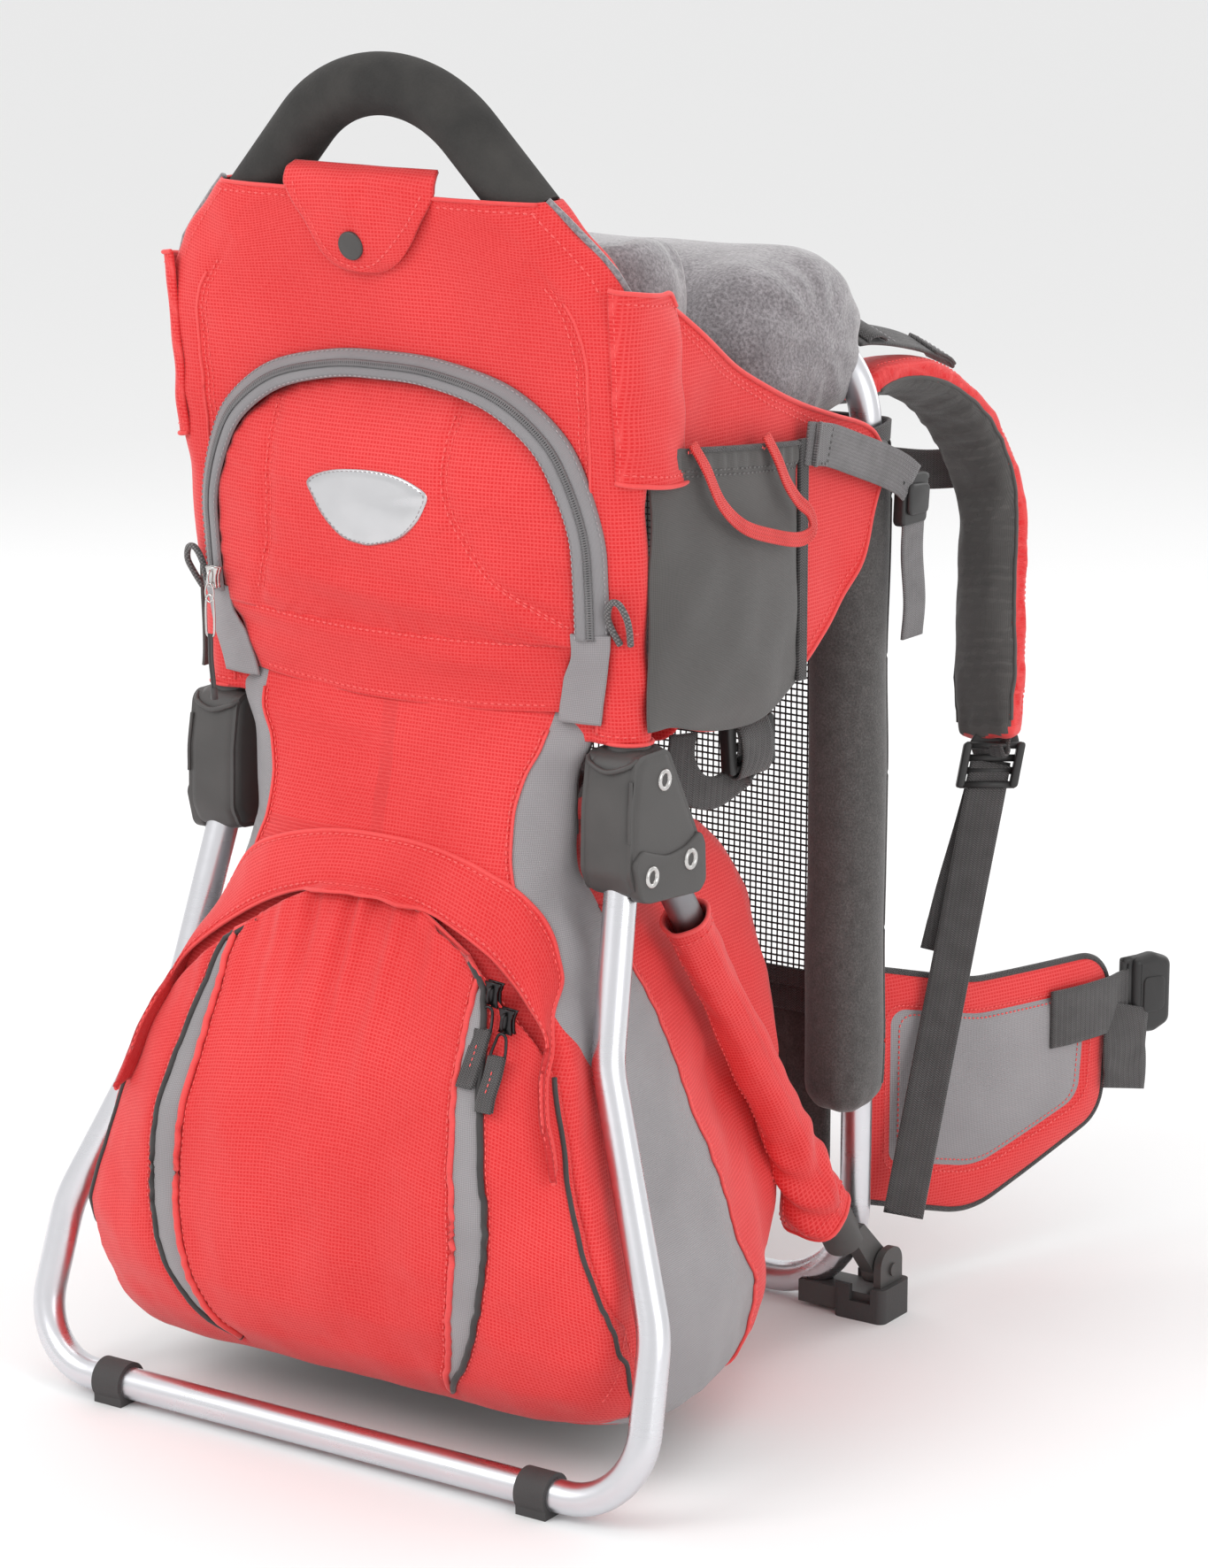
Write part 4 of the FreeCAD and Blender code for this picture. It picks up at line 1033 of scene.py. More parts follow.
def make_pocket_face():
    arch = whole_arch(ARCH_IN, 130)
    base = [(x, 470.5 - 4 * (1 - (x / 122) ** 2)) for x in np.linspace(-122, 122, 60)[1:-1]]
    edge = np.concatenate([arch, base])
    centre = np.array([2.0, 528.0])
    rings = 34
    s = np.linspace(0.02, 1, rings)[:, None, None]
    flat = centre + (edge - centre)[None] * s
    low = smooth01(edge[:, 1], 500, 470)
    rim = 21.5 + 8.5 * low * (1 - (edge[:, 0] / 124) ** 2)
    gap = rim[None] + (37 - rim)[None] * (1 - s[..., 0] ** 2.7)
    x, z = flat[..., 0], flat[..., 1]
    gap = gap - 5 * smooth01(z, 560, 606)
    p = over(x, z)
    left = curve([(-72, 0, 606), (-77, 0, 558), (-80, 0, 513), (-93, 0, 474)], 4)
    right = curve([(53, 0, 606), (48, 0, 559), (57, 0, 528), (77, 0, 503), (124, 0, 477)], 4)
    for line in (left, right):
        gap = gap + seam_dip(p, line, 2.3, 3.6, 1.0, 12.5, 15)
    gap = gap + fuzz(np.stack([x * 0.6, z * 1.5, 0 * x], -1), 30.0, 1.4) * 1.5 * (1 - s[..., 0] ** 6)
    gap = gap + np.sin(np.arange(len(edge)) * 1.15
        + np.sin(np.arange(len(edge)) * 0.31) * 2)[None] * smooth01(s[..., 0], 0.72, 0.97) * 0.55
    gap = gap + np.exp(-((z - 487 + 0.10 * x) / 7) ** 2) * 1.8 * np.exp(-(x / 90) ** 2) - np.exp(
        -((z - 499 + 0.14 * x) / 6) ** 2) * 1.2 * np.exp(-(x / 80) ** 2)
    g = np.stack([x, loop_y(z) - gap, z], -1)
    count = len(edge)
    verts = np.concatenate([g.reshape(-1, 3), [[centre[0], g[0, :, 1].mean(), centre[1]]]])
    faces = [list(f) for f in grid_faces(rings, count, closed=True)]
    faces += [[i, (i + 1) % count, rings * count] for i in range(count)]
    # the rim turns forward so that the face is a shell, not a loose edge
    inner = g[-1] + [0, 6.5, 0]
    verts = np.concatenate([verts, inner])
    start = rings * count + 1
    faces += [[(rings - 1) * count + i, start + i, start + (i + 1) % count,
        (rings - 1) * count + (i + 1) % count] for i in range(count)]
    item = mesh_object("pocket_face", verts, faces, [RED], uv=verts[:, [0, 2]] / 1000)
    tidy_normals(item)
    thick = item.modifiers.new("cloth", "SOLIDIFY")
    thick.thickness, thick.offset = 0.0014, -1
    settle(item, "rear_frame", "red_fabric", ["canopy_pocket"])
    tree = tree_of(item)
    sewing = Parts()
    for line, shift in ((left, -1.9), (right, -1.9), (left, 1.6), (right, 1.6)):
        sewing.stitches(*drape(tree, line[3:-2] + [shift, 0, 0], (0, 1, 0), 0.05))
    settle(sewing.make("pocket_sewing", [RED_THREAD]), "rear_frame")
    return tree


def make_pocket_zip():
    """Grey tape folded over the arch, with a coil between its two halves."""
    out, inn = whole_arch(ARCH_OUT, 190), whole_arch(ARCH_IN, 190)
    rows = []
    for s, lift in ((0, 0.0), (0.06, 1.5), (0.2, 2.6), (0.36, 3.2), (0.46, 2.6), (0.54, 2.6), (0.64, 3.6),
            (0.8, 4.0), (0.95, 2.8), (1.02, 0.9)):
        p = out * (1 - s) + inn * s
        gap = (panel_gap(out[:, 1]) + 0.2) * (1 - s) + 21.5 * s + lift
        rows.append(np.stack([p[:, 0], loop_y(p[:, 1]) - gap, p[:, 1]], -1))
    g = np.array(rows)
    item = sheet("pocket_zip_band", g, 1.0, [TAPE], side=facing(g, (4, 95, 1), -1))
    settle(item, "rear_frame", "zip_tape", ["pocket_zip_tape"])
    middle = (g[4] + g[5]) / 2
    n = grid_normals(g)[4]
    n = n * np.sign(-n[:, 1:2])
    side = unit(g[6] - g[3])
    coil = Parts()
    for shift in (-1.15, 1.15):
        coil.tube(even(middle + side * shift + n * 0.7, 260), 0.85, 6)
    path = even(middle + n * 1.15, 330)
    wide = even(g[6], 330) - even(g[3], 330)
    for i in range(1, 329):
        across = unit(wide[i])
        coil.tube([path[i] - across * 2.3, path[i] - across * 1.2, path[i] + across * 1.2,
            path[i] + across * 2.3],
                  [0.3, 0.62, 0.62, 0.3], 6, up=n[min(189, i * 190 // 330)])
    settle(coil.make("pocket_zip_coil", [COIL]), "rear_frame", "zip_tape")
    sewing = Parts()
    for row in (1, 8):
        sewing.stitches(g[row] + n * 0.25, n, 3.4, 2.4, 0.4, 0.35)
    settle(sewing.make("pocket_zip_sewing", [GREY_THREAD]), "rear_frame")


def make_pocket_band():
    """Sagging red band below the pocket and its grey end pieces."""
    rows = []
    for z, wide, mid, end in ((475, 121, 29.5, 20.5), (468, 119, 31.5, 20), (458, 114, 31.5, 18),
            (446, 111, 28.5, 17), (437, 108, 26.5, 16), (430.5, 106, 25.5, 15.5)):
        row = []
        for k in np.linspace(-1, 1, 9):
            sag = 4.5 * (1 - k * k)
            gap = end + (mid - end) * (1 - abs(k) ** 2.4)
            row.append(behind(k * wide, z - sag, gap))
        rows.append(row)
    g = np.array([rom(row, 8) for row in steady(rows, 6)])
    x, z = g[..., 0], g[..., 2]
    wave = np.sin((z + 0.13 * x - 455) / 5.2) * np.exp(
        -((z - 456) / 12) ** 2) * 0.9 + fuzz(np.stack([x * 0.4, z, x * 0], -1), 20.0, 5.0) * 1.1
    g[..., 1] -= wave
    band = sheet("pocket_band", g, 2.2, [RED, RED_IN], side=facing(g, (9, 30, 1), -1), back=1)
    settle(band, "rear_frame", "red_fabric")
    tree = tree_of(band)
    sewing = Parts()
    for line in ([(x, 0, 434.2 - 4.4 * (1 - (x / 100) ** 2)) for x in np.linspace(-97, 97, 90)],
                 [(x, 0, 470.6 - 4.4 * (1 - (x / 120) ** 2)) for x in np.linspace(-116, 116, 100)]):
        sewing.stitches(*drape(tree, line, (0, 1, 0), 0.05))
    settle(sewing.make("pocket_band_sewing", [RED_THREAD]), "rear_frame")
    for side, name in ((1, "right"), (-1, "left")):
        rows = []
        for z, inner, g_in, outer, g_out in ((478, 119, 21.5, 141, 15), (466, 118, 20.5, 139, 14.5),
                (450, 110.5, 18.6, 136, 14.6), (437, 107, 17.6, 133, 14.4), (426, 104.5, 17.2, 131, 14.2)):
            rows.append([behind(side * (inner + (outer - inner) * k), z,
                g_in + (g_out - g_in) * k + 1.2 * math.sin(k * PI)) for k in (0, 0.33, 0.66, 1)])
        g = np.array([rom(row, 6) for row in steady(rows, 6)])
        g[..., 1] -= fuzz(g, 14.0, 8.0) * 0.5 + 1.3
        piece = sheet(f"pocket_end_{name}", g, 1.6, [GUSSET], side=facing(g, (9, 9, 1), -1))
        settle(piece, "rear_frame", "dark_fabric")


def make_patch(tree):
    """A plain silver lens sewn on the pocket."""
    half = [(-46, 549), (-38, 554.5), (-22, 558.5), (0, 560), (18, 558.5), (31, 554), (38, 549.5)]
    under = [(36, 543), (30, 533), (18, 523), (0, 517.5), (-10, 517), (-24, 520), (-36, 530), (-43, 541)]
    edge = even(rom([(x, 0, z) for x, z in half + under], 6, closed=True), 96, closed=True)
    centre = edge.mean(0)
    rings = []
    for s, lift in ((0.02, 1.0), (0.25, 1.0), (0.5, 1.0), (0.75, 1.0), (0.93, 1.0), (1.0, 0.35)):
        p, _ = drape(tree, centre + (edge - centre) * s, (0, 1, 0), lift)
        rings.append(p)
    p, _ = drape(tree, edge, (0, 1, 0), -0.8)
    rings.append(p)
    item = solid_of_rings("pocket_patch", rings, [PATCH])
    settle(item, "rear_frame", "silver_tube")
    sewing = Parts()
    sewing.stitches(*drape(tree, centre + (even(edge, 110, True) - centre) * 0.955, (0, 1, 0), 1.05), 3.2,
        2.1, 0.32, 0.3)
    settle(sewing.make("pocket_patch_sewing", [GREY_THREAD]), "rear_frame")


def make_cord_loops():
    loops = Parts()
    for side in (1, -1):
        keys = [(143.5, 11, 473), (141.2, 15, 482), (140.6, 17.5, 490), (144, 18.6, 497.5),
            (149, 18.4, 497.5), (152.2, 16.5, 490), (151.4, 13, 482), (149, 9, 473)]
        loops.tube(curve([behind(side * x, z, g) for x, g, z in keys], 1.2), 1.9, 12, up=(0, 1, 0))
    settle(stripe_uv(loops.make("cord_loops", [CORD_COVER]), (0, 2)), "rear_frame", "webbing")


# ---------------------------------------------------------------- closing flap

def make_flap():
    """Flap over the top edge, snapped to the panel."""
    rows = []
    for z, left, right, gap in ((727, -55, 42, 13), (723, -57, 44, 19.5), (716, -57, 44, 23.5),
            (706, -52, 40, 24.4), (695, -45, 33, 24.0), (685, -39, 26, 23.2), (676, -33, 18, 22.0),
            (671, -27, 10, 21.0), (668.3, -20, 3, 20.6)):
        rows.append([behind(left + (right - left) * k, z, gap + 1.6 * math.sin(k * PI)
            - 1.2 * abs(2 * k - 1) ** 4 * (z < 720)) for k in (0, 0.12, 0.35, 0.5, 0.65, 0.88, 1)])
    g = np.array([rom(row, 7) for row in steady(rows, 7)])
    x, z = g[..., 0], g[..., 2]
    crease = seam_dip(over(x, z), [(0, 0, 716), (-8, 0, 700), (-10, 0, 690)], 0.9, 4, 0.2, 10)
    g[..., 1] -= fuzz(g, 22.0, 2.0) * 0.9 + crease
    item = sheet("flap_cloth", g, 2.0, [RED, RED_IN], side=facing(g, (30, 21, 1), -1), back=1)
    settle(item, "closure_flap", "red_fabric", ["closure_flap"])
    tree = tree_of(item)
    sewing = Parts()
    line = curve([(-50, 0, 717), (-46.5, 0, 706), (-39, 0, 694), (-30, 0, 680), (-22, 0, 673.5),
        (-12, 0, 671.2), (0, 0, 673), (10, 0, 680), (20, 0, 690), (30, 0, 701), (37, 0, 714)], 2)
    sewing.stitches(*drape(tree, line, (0, 1, 0), 0.05))
    settle(sewing.make("flap_sewing", [RED_THREAD]), "closure_flap")
    low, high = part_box("snap_cap")
    centre = np.array([(low.x + high.x) / 2 * 1000, 0, 683.0])
    spot, normal = drape(tree, [centre], (0, 1, 0), 0)
    spot, normal = spot[0], unit(normal[0])
    a = np.arange(48) / 48 * 2 * PI
    u = unit(np.cross(normal, [1, 0, 0.0]))
    v = np.cross(normal, u)
    rings = []
    for radius, lift in ((8.0, -0.5), (8.2, 0.6), (7.9, 1.3), (7.2, 1.75), (6.7, 1.6), (6.3, 1.65),
            (4.5, 2.0), (2.2, 2.15), (0.3, 2.2)):
        rings.append(spot + normal * lift + radius * (np.cos(a)[:, None] * u + np.sin(a)[:, None] * v))
    settle(solid_of_rings("snap_button", rings, [PLASTIC]), "closure_flap", "dark_plastic", ["snap_cap"])


# ---------------------------------------------------------------- zip sliders

def slider_shape(parts, spot, way, out, long, wide, high, zone=0):
    """A zip slider: waisted body, bridge and its ring."""
    way, out = unit(way), unit(out)
    side = np.cross(way, out)
    spot = np.asarray(spot, float)
    outline = []
    for k in np.linspace(-1, 1, 9):
        outline.append((k * long / 2, wide / 2 * (0.78 + 0.22 * k * k + (0.12 if k > 0.4 else 0))))
    ring = outline + [(a, -b) for a, b in reversed(outline)]
    for low, top in ((-high * 0.5, -high * 0.12), (high * 0.1, high * 0.42)):
        def place(u, v, w):
            return spot + way * u + side * v + out * w
        parts.rings(plate_rings(np.array(ring), place, low, top, high * 0.12, 2), zone)
    bridge = [spot + way * u + out * w for u, w in ((-long * 0.33, high * 0.35), (-long * 0.28, high * 0.8),
        (0, high * 1.0), (long * 0.28, high * 0.8), (long * 0.33, high * 0.35))]
    parts.tube(curve(bridge, 0.6), high * 0.16, 8, up=side, zone=zone)


def make_pocket_slider():
    low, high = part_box("pocket_zip_slider")
    spot = np.array([(low.x + high.x) / 2 * 1000, (low.y + high.y) / 2 * 1000 - SHIFT,
        (low.z + high.z) / 2 * 1000])
    parts = Parts()
    out = (0, -1, 0)
    slider_shape(parts, spot + [0, -0.6, 0], (0.06, 0, 1), out, 12, 8, 5)
    settle(parts.make("pocket_slider_body", [STEEL]), "pocket_slider", "rivet_steel", ["pocket_zip_slider"])
    pull = Parts()
    top = spot + [0.5, -4.6, -3]
    ring = [top + [3 * math.sin(a), -0.2, -5.5 + 5.5 * math.cos(a)] for a in np.linspace(0, 2 * PI, 24)]
    pull.tube(curve(ring, 0.8), 0.55, 8, up=(0, 1, 0))
    frame_out = [(-2.4, 0, -9), (2.4, 0, -9), (2.9, 0, -27), (1.6, 0, -31), (-1.6, 0, -31), (-2.9, 0, -27)]
    pull.tube(np.concatenate([curve([top + p for p in frame_out], 1.0, closed=True), [top + frame_out[0]]]),
        0.75, 8, up=(0, 1, 0))
    cord = curve([top + p for p in ((0, -0.3, -29.5), (0.6, -0.8, -34), (0.2, -0.3, -44), (0.9, 0.3, -56),
        (1.6, 0.6, -66))], 1.5)
    for shift in (-0.9, 0.9):
        pull.tube(cord + [shift, 0, 0], 0.85, 8, up=(0, 1, 0), zone=1)
    pull.tube([cord[-4], cord[-1] + [0, 0, -2]], 2.1, 10, up=(0, 1, 0), zone=1)
    settle(pull.make("pocket_pull_tab", [STEEL, WEB_DARK]), "pocket_pull", "rivet_steel",
        ["pocket_zip_pull"])


panel = make_panel_skin()
make_panel_lining()
make_panel_sewing(panel)
pocket_tree = make_pocket_face()
make_pocket_zip()
make_pocket_band()
make_patch(pocket_tree)
make_cord_loops()
make_flap()
make_pocket_slider()


# ---------------------------------------------------------------- lower bag

# One row to a level, from the ground up: height, then (x, y) of the middle of the
# rear, the rear panel, the seam of the grey gusset, the corner, the middle of the
# side, the seam of the red side, the side in front of it, the front corner and the
# middle of the front.
BAG = [
    (30, (0, -228), (70, -228), (126, -222), (150, -206), (152, -176), (146, -140), (128, -106), (100, -92),
    (0, -88)),
    (38, (0, -246), (74, -246), (150, -243), (178, -218), (178, -168), (166, -116), (138, -80), (108, -64),
    (0, -60)),
    (56, (0, -256), (76, -256), (168, -254), (189, -226), (187, -166), (172, -106), (142, -54), (112, -34),
    (0, -28)),
    (84, (0, -262), (80, -262), (178, -262), (190, -234), (187, -168), (172, -98), (140, -34), (116, 2),
    (0, 8)),
    (115, (0, -265), (82, -265), (180, -264), (186, -236), (182, -170), (168, -106), (132, -32), (118, 6),
    (0, 13)),
    (150, (0, -267), (80, -267), (172, -266), (173, -238), (171, -176), (160, -116), (122, -44), (117, 8),
    (0, 14)),
    (184, (0, -266), (76, -266), (162, -264), (160, -236), (158, -178), (150, -124), (120, -60), (116, 9),
    (0, 14)),
    (216, (0, -260), (70, -260), (152, -256), (148, -231), (147, -182), (140, -130), (117, -70), (114, 8),
    (0, 13)),
    (246, (0, -252), (62, -252), (140, -244), (137, -222), (136, -184), (131, -140), (114, -80), (110, 4),
    (0, 10)),
    (272, (0, -245), (56, -245), (124, -236), (130, -214), (130, -184), (126, -150), (111, -90), (106, 0),
    (0, 6)),
    (296, (0, -238), (52, -238), (108, -230), (122, -208), (122, -186), (120, -158), (108, -100), (100, -8),
    (0, 0)),
    (318, (0, -232), (50, -232), (97, -225), (112, -205), (113, -190), (112, -170), (106, -110), (94, -20),
    (0, -10)),
    (338, (0, -227), (48, -227), (88, -221), (106, -203), (111, -194), (111, -184), (104, -150), (88, -50),
    (0, -40)),
    (352, (0, -223), (46, -223), (85, -218), (104, -202), (110, -195), (111, -189), (106, -182), (86, -176),
    (0, -174)),
    (372, (0, -218), (46, -218), (84, -214), (105, -200), (111, -194), (111, -189), (106, -185), (86, -183),
    (0, -182)),
    (393, (0, -213), (47, -213), (88, -209), (107, -198), (112, -193), (112, -189), (107, -186), (86, -185),
    (0, -185)),
    (412, (0, -209), (52, -209), (97, -205), (114, -197), (120, -192), (120, -189), (112, -187), (88, -187),
    (0, -187)),
    (432, (0, -205), (56, -204), (100, -196), (116, -191.5), (126, -190), (126, -189), (116, -188),
    (90, -188), (0, -188)),
    (452, (0, -202), (56, -201), (100, -192.5), (116, -190), (127, -189.5), (127, -190), (117, -190),
    (90, -190), (0, -190)),
]
SPANS = (5, 6, 6, 5, 6, 6, 5, 8)
STEPS = 7


def bag_ring(level):
    """The closed ring of control points of one level, right half then left."""
    z, *half = level
    return [(x, y, z) for x, y in half] + [(-x, y, z) for x, y in half[-2:0:-1]]


def ring_line(keys):
    """A smooth ring with a set number of points between its keys."""
    keys = np.asarray(keys)
    spans = list(SPANS) + list(SPANS[::-1])
    n = len(keys)
    out = []
    for i in range(n):
        a, b, c, e = keys[i - 1], keys[i], keys[(i + 1) % n], keys[(i + 2) % n]
        # chord-length tangents keep short spans from bulging
        ab, bc, ce = np.linalg.norm(b - a), np.linalg.norm(c - b), np.linalg.norm(e - c)
        tb = (c - a) / max(ab + bc, 1e-6) * bc * 0.9
        tc = (e - b) / max(bc + ce, 1e-6) * bc * 0.9
        for t in np.arange(spans[i]) / spans[i]:
            out.append((2 * t ** 3 - 3 * t * t + 1) * b + (t ** 3 - 2 * t * t + t) * tb
                       + (3 * t * t - 2 * t ** 3) * c + (t ** 3 - t * t) * tc)
    return np.array(out)


SEAM_A, SEAM_B = sum(SPANS[:2]), sum(SPANS[:5])
RING = 2 * sum(SPANS)
GREY_EDGE = SEAM_A + 5
GREY_TOP = 268


def lead_grey_edge(g):
    """Slides the gusset's points so that one column follows the leg of the stand."""
    for columns in (np.arange(SEAM_A, SEAM_B + 1), RING - np.arange(SEAM_A, SEAM_B + 1)):
        for row in g:
            part = row[columns]
            z = part[:, 2].mean()
            s = np.concatenate([[0], np.cumsum(np.linalg.norm(np.diff(part, axis=0), axis=1))])
            s /= s[-1]
            leg = max(-183 - 0.2985 * (345 - z), -240)
            low = np.clip(np.interp(leg, part[:, 1], s), 0.02, 0.8) * float(smooth01(z, 270, 225)) + 0.015
            high = (GREY_EDGE - SEAM_A) / (SEAM_B - SEAM_A)
            at = low + (high - low) * float(smooth01(z, GREY_TOP + 8, 330))
            want = np.concatenate([np.linspace(0, at, GREY_EDGE - SEAM_A + 1),
                np.linspace(at, 1, SEAM_B - GREY_EDGE + 1)[1:]])
            row[columns] = np.stack([np.interp(want, s, part[:, k]) for k in range(3)], axis=1)


def make_bag_shell():
    rows = steady([bag_ring(level) for level in BAG], STEPS)
    g = np.array([ring_line(row) for row in rows])
    lead_grey_edge(g)
    n = grid_normals(g, closed=True)
    centre = np.array([0, -120, 0])
    n *= np.sign(((g - centre) * n * [1, 1, 0]).sum(-1, keepdims=True))
    x, y, z = g[..., 0], g[..., 1], g[..., 2]
    col = np.arange(RING)[None] + 0 * z
    off_a = np.minimum(abs(col - SEAM_A), abs(RING - col - SEAM_A))
    off_b = np.minimum(abs(col - SEAM_B), abs(RING - col - SEAM_B))
    low = smooth01(z, 352, 330)
    wob = fuzz(g * [0.6, 0.6, 1.0], 46.0, 4.0) * 2.2 + fuzz(g, 19.0, 9.0) * 0.8
    # folds that fan out of the hinge housings and along the gusset seams
    side = smooth01(np.abs(x), 60, 110)
    fan = np.sin((z * 0.8 + y * 0.9) / 9.0 + 1.5 * np.sin(z / 37)) * np.exp(
        -((z - 300) / 60) ** 2) * side * 1.3
    crease = np.sin((z * 0.55 - y * 0.8) / 13.0 + 1.2 * np.sin(y / 31)) * smooth01(z, 250, 120) * side * 1.4
    seam = -1.9 * np.exp(-(off_b / 1.1) ** 2) + 0.3 * np.sin(z / 2.6) * np.exp(-(off_b / 2.2) ** 2)
    seam = seam - 1.2 * np.exp(-(off_a / 1.0) ** 2) * smooth01(z, 300, 330)
    waist = (np.sin((z - 0.3 * np.abs(x)) / 7.0) * np.exp(-((z - 395) / 34) ** 2) * np.exp(
        -(x / 70) ** 2)) * 0.7
    move = (wob * low + wob * 0.25 + fan + crease + seam * (0.5 + 0.5 * low) + waist)
    g = g + n * move[..., None] * smooth01(z, 24, 60)[..., None]
    cap_low = [g[0].mean(0) + (g[0] - g[0].mean(0)) * s + [0, 0, -3.5 * (1 - s) ** 0.5]
        for s in (0.03, 0.3, 0.6, 0.85, 0.95)]
    rings = np.concatenate([cap_low, g])
    extra = len(cap_low)
    zone = np.zeros((len(rings) - 1, RING), int)
    span = np.arange(RING)
    zone[:, (span >= SEAM_A) & (span < SEAM_B)] = 1
    zone[:, (span >= RING - SEAM_B) & (span < RING - SEAM_A)] = 1
    spot = (rings[:-1] + rings[1:]) / 2
    below = spot[:, :1, 2] < GREY_TOP
    zone[below & (span >= SEAM_A) & (span < GREY_EDGE)] = 0
    zone[below & (span >= RING - GREY_EDGE) & (span < RING - SEAM_A)] = 0
    zone[:extra + 1] = 2
    zone[extra + 13 * STEPS + 3:, SEAM_B:RING - SEAM_B] = 2
    # UVs: round the ring and up it
    uv = np.zeros(rings.shape[:2] + (2,))
    around = np.linalg.norm(np.diff(rings, axis=1), axis=2)
    uv[:, 1:, 0] = np.cumsum(around, 1) / 1000
    rise = np.linalg.norm(np.diff(rings[:, 0], axis=0), axis=1)
    uv[1:, :, 1] = (np.cumsum(rise) / 1000)[:, None]
    body = solid_of_rings("bag_shell", rings, [RED, GUSSET, DARK], zone=zone, uv=uv)
    settle(body, "rear_frame", "red_fabric", ["lower_bag"], 0.5)
    trim = Parts()
    sewing = Parts()
    for c in (SEAM_A, RING - SEAM_A):
        part = g[12 * STEPS - 2:16 * STEPS + 4, c]
        out = n[12 * STEPS - 2:16 * STEPS + 4, c]
        trim.tube(part + out * 0.7, 0.9, 8)
        toward = g[12 * STEPS - 2:16 * STEPS + 4, c - 1 if c == SEAM_A else (c + 1) % RING]
        sewing.stitches(part + unit(toward - part) * 2.6 + out * 0.5, out)
    for c in (SEAM_B, RING - SEAM_B):
        part, out = g[3:11 * STEPS, c], n[3:11 * STEPS, c]
        trim.tube(part + out * 0.9, 1.1, 8)
        toward = g[3:11 * STEPS, (c + 1) if c == SEAM_B else c - 1]
        sewing.stitches(part + unit(toward - part) * 2.6 + out * 0.9, out)
    rim = g[3] + n[3] * 0.7
    trim.tube(np.concatenate([rim, rim[:1]]), 1.3, 8)
    settle(trim.make("bag_seams", [RED]), "rear_frame", "red_fabric")
    settle(sewing.make("bag_sewing", [RED_THREAD]), "rear_frame")
    return body


# ---------------------------------------------------------------- gathered pocket and hood

HEM = [(0, 325), (28, 323.5), (56, 316), (84, 303), (110, 285), (132, 264), (147, 242), (158, 216),
    (170, 186), (180, 156), (187, 128), (190, 104), (188, 80), (178, 60), (160, 46)]


def shell_half(z):
    """Half width of the bag, a little inside its outermost point."""
    return np.interp(z, [level[0] for level in BAG], [max(p[0] for p in level[1:]) for level in BAG]) - 2.5


def pocket_back(x, z, tree):
    """Y of the gathered pocket's bulging face, from the bag's own face."""
    wide = shell_half(z)
    shape = x.shape
    start = np.stack([np.clip(x, -wide + 1.5, wide - 1.5), 0 * x - 400, z], -1).reshape(-1, 3)
    face, _ = drape(tree, start, (0, 1, 0), 0.0)
    face = face[:, 1].reshape(shape)
    bulge = np.interp(z, [30, 44, 62, 90, 130, 180, 220, 260, 300, 325, 345],
        [2, 9, 20, 28, 30, 29, 26, 21, 12, 7, 5])
    across = np.clip(np.abs(x) / wide, 0, 1)
    return face - 1.6 - bulge * (1 - across ** 3.2) ** 0.8


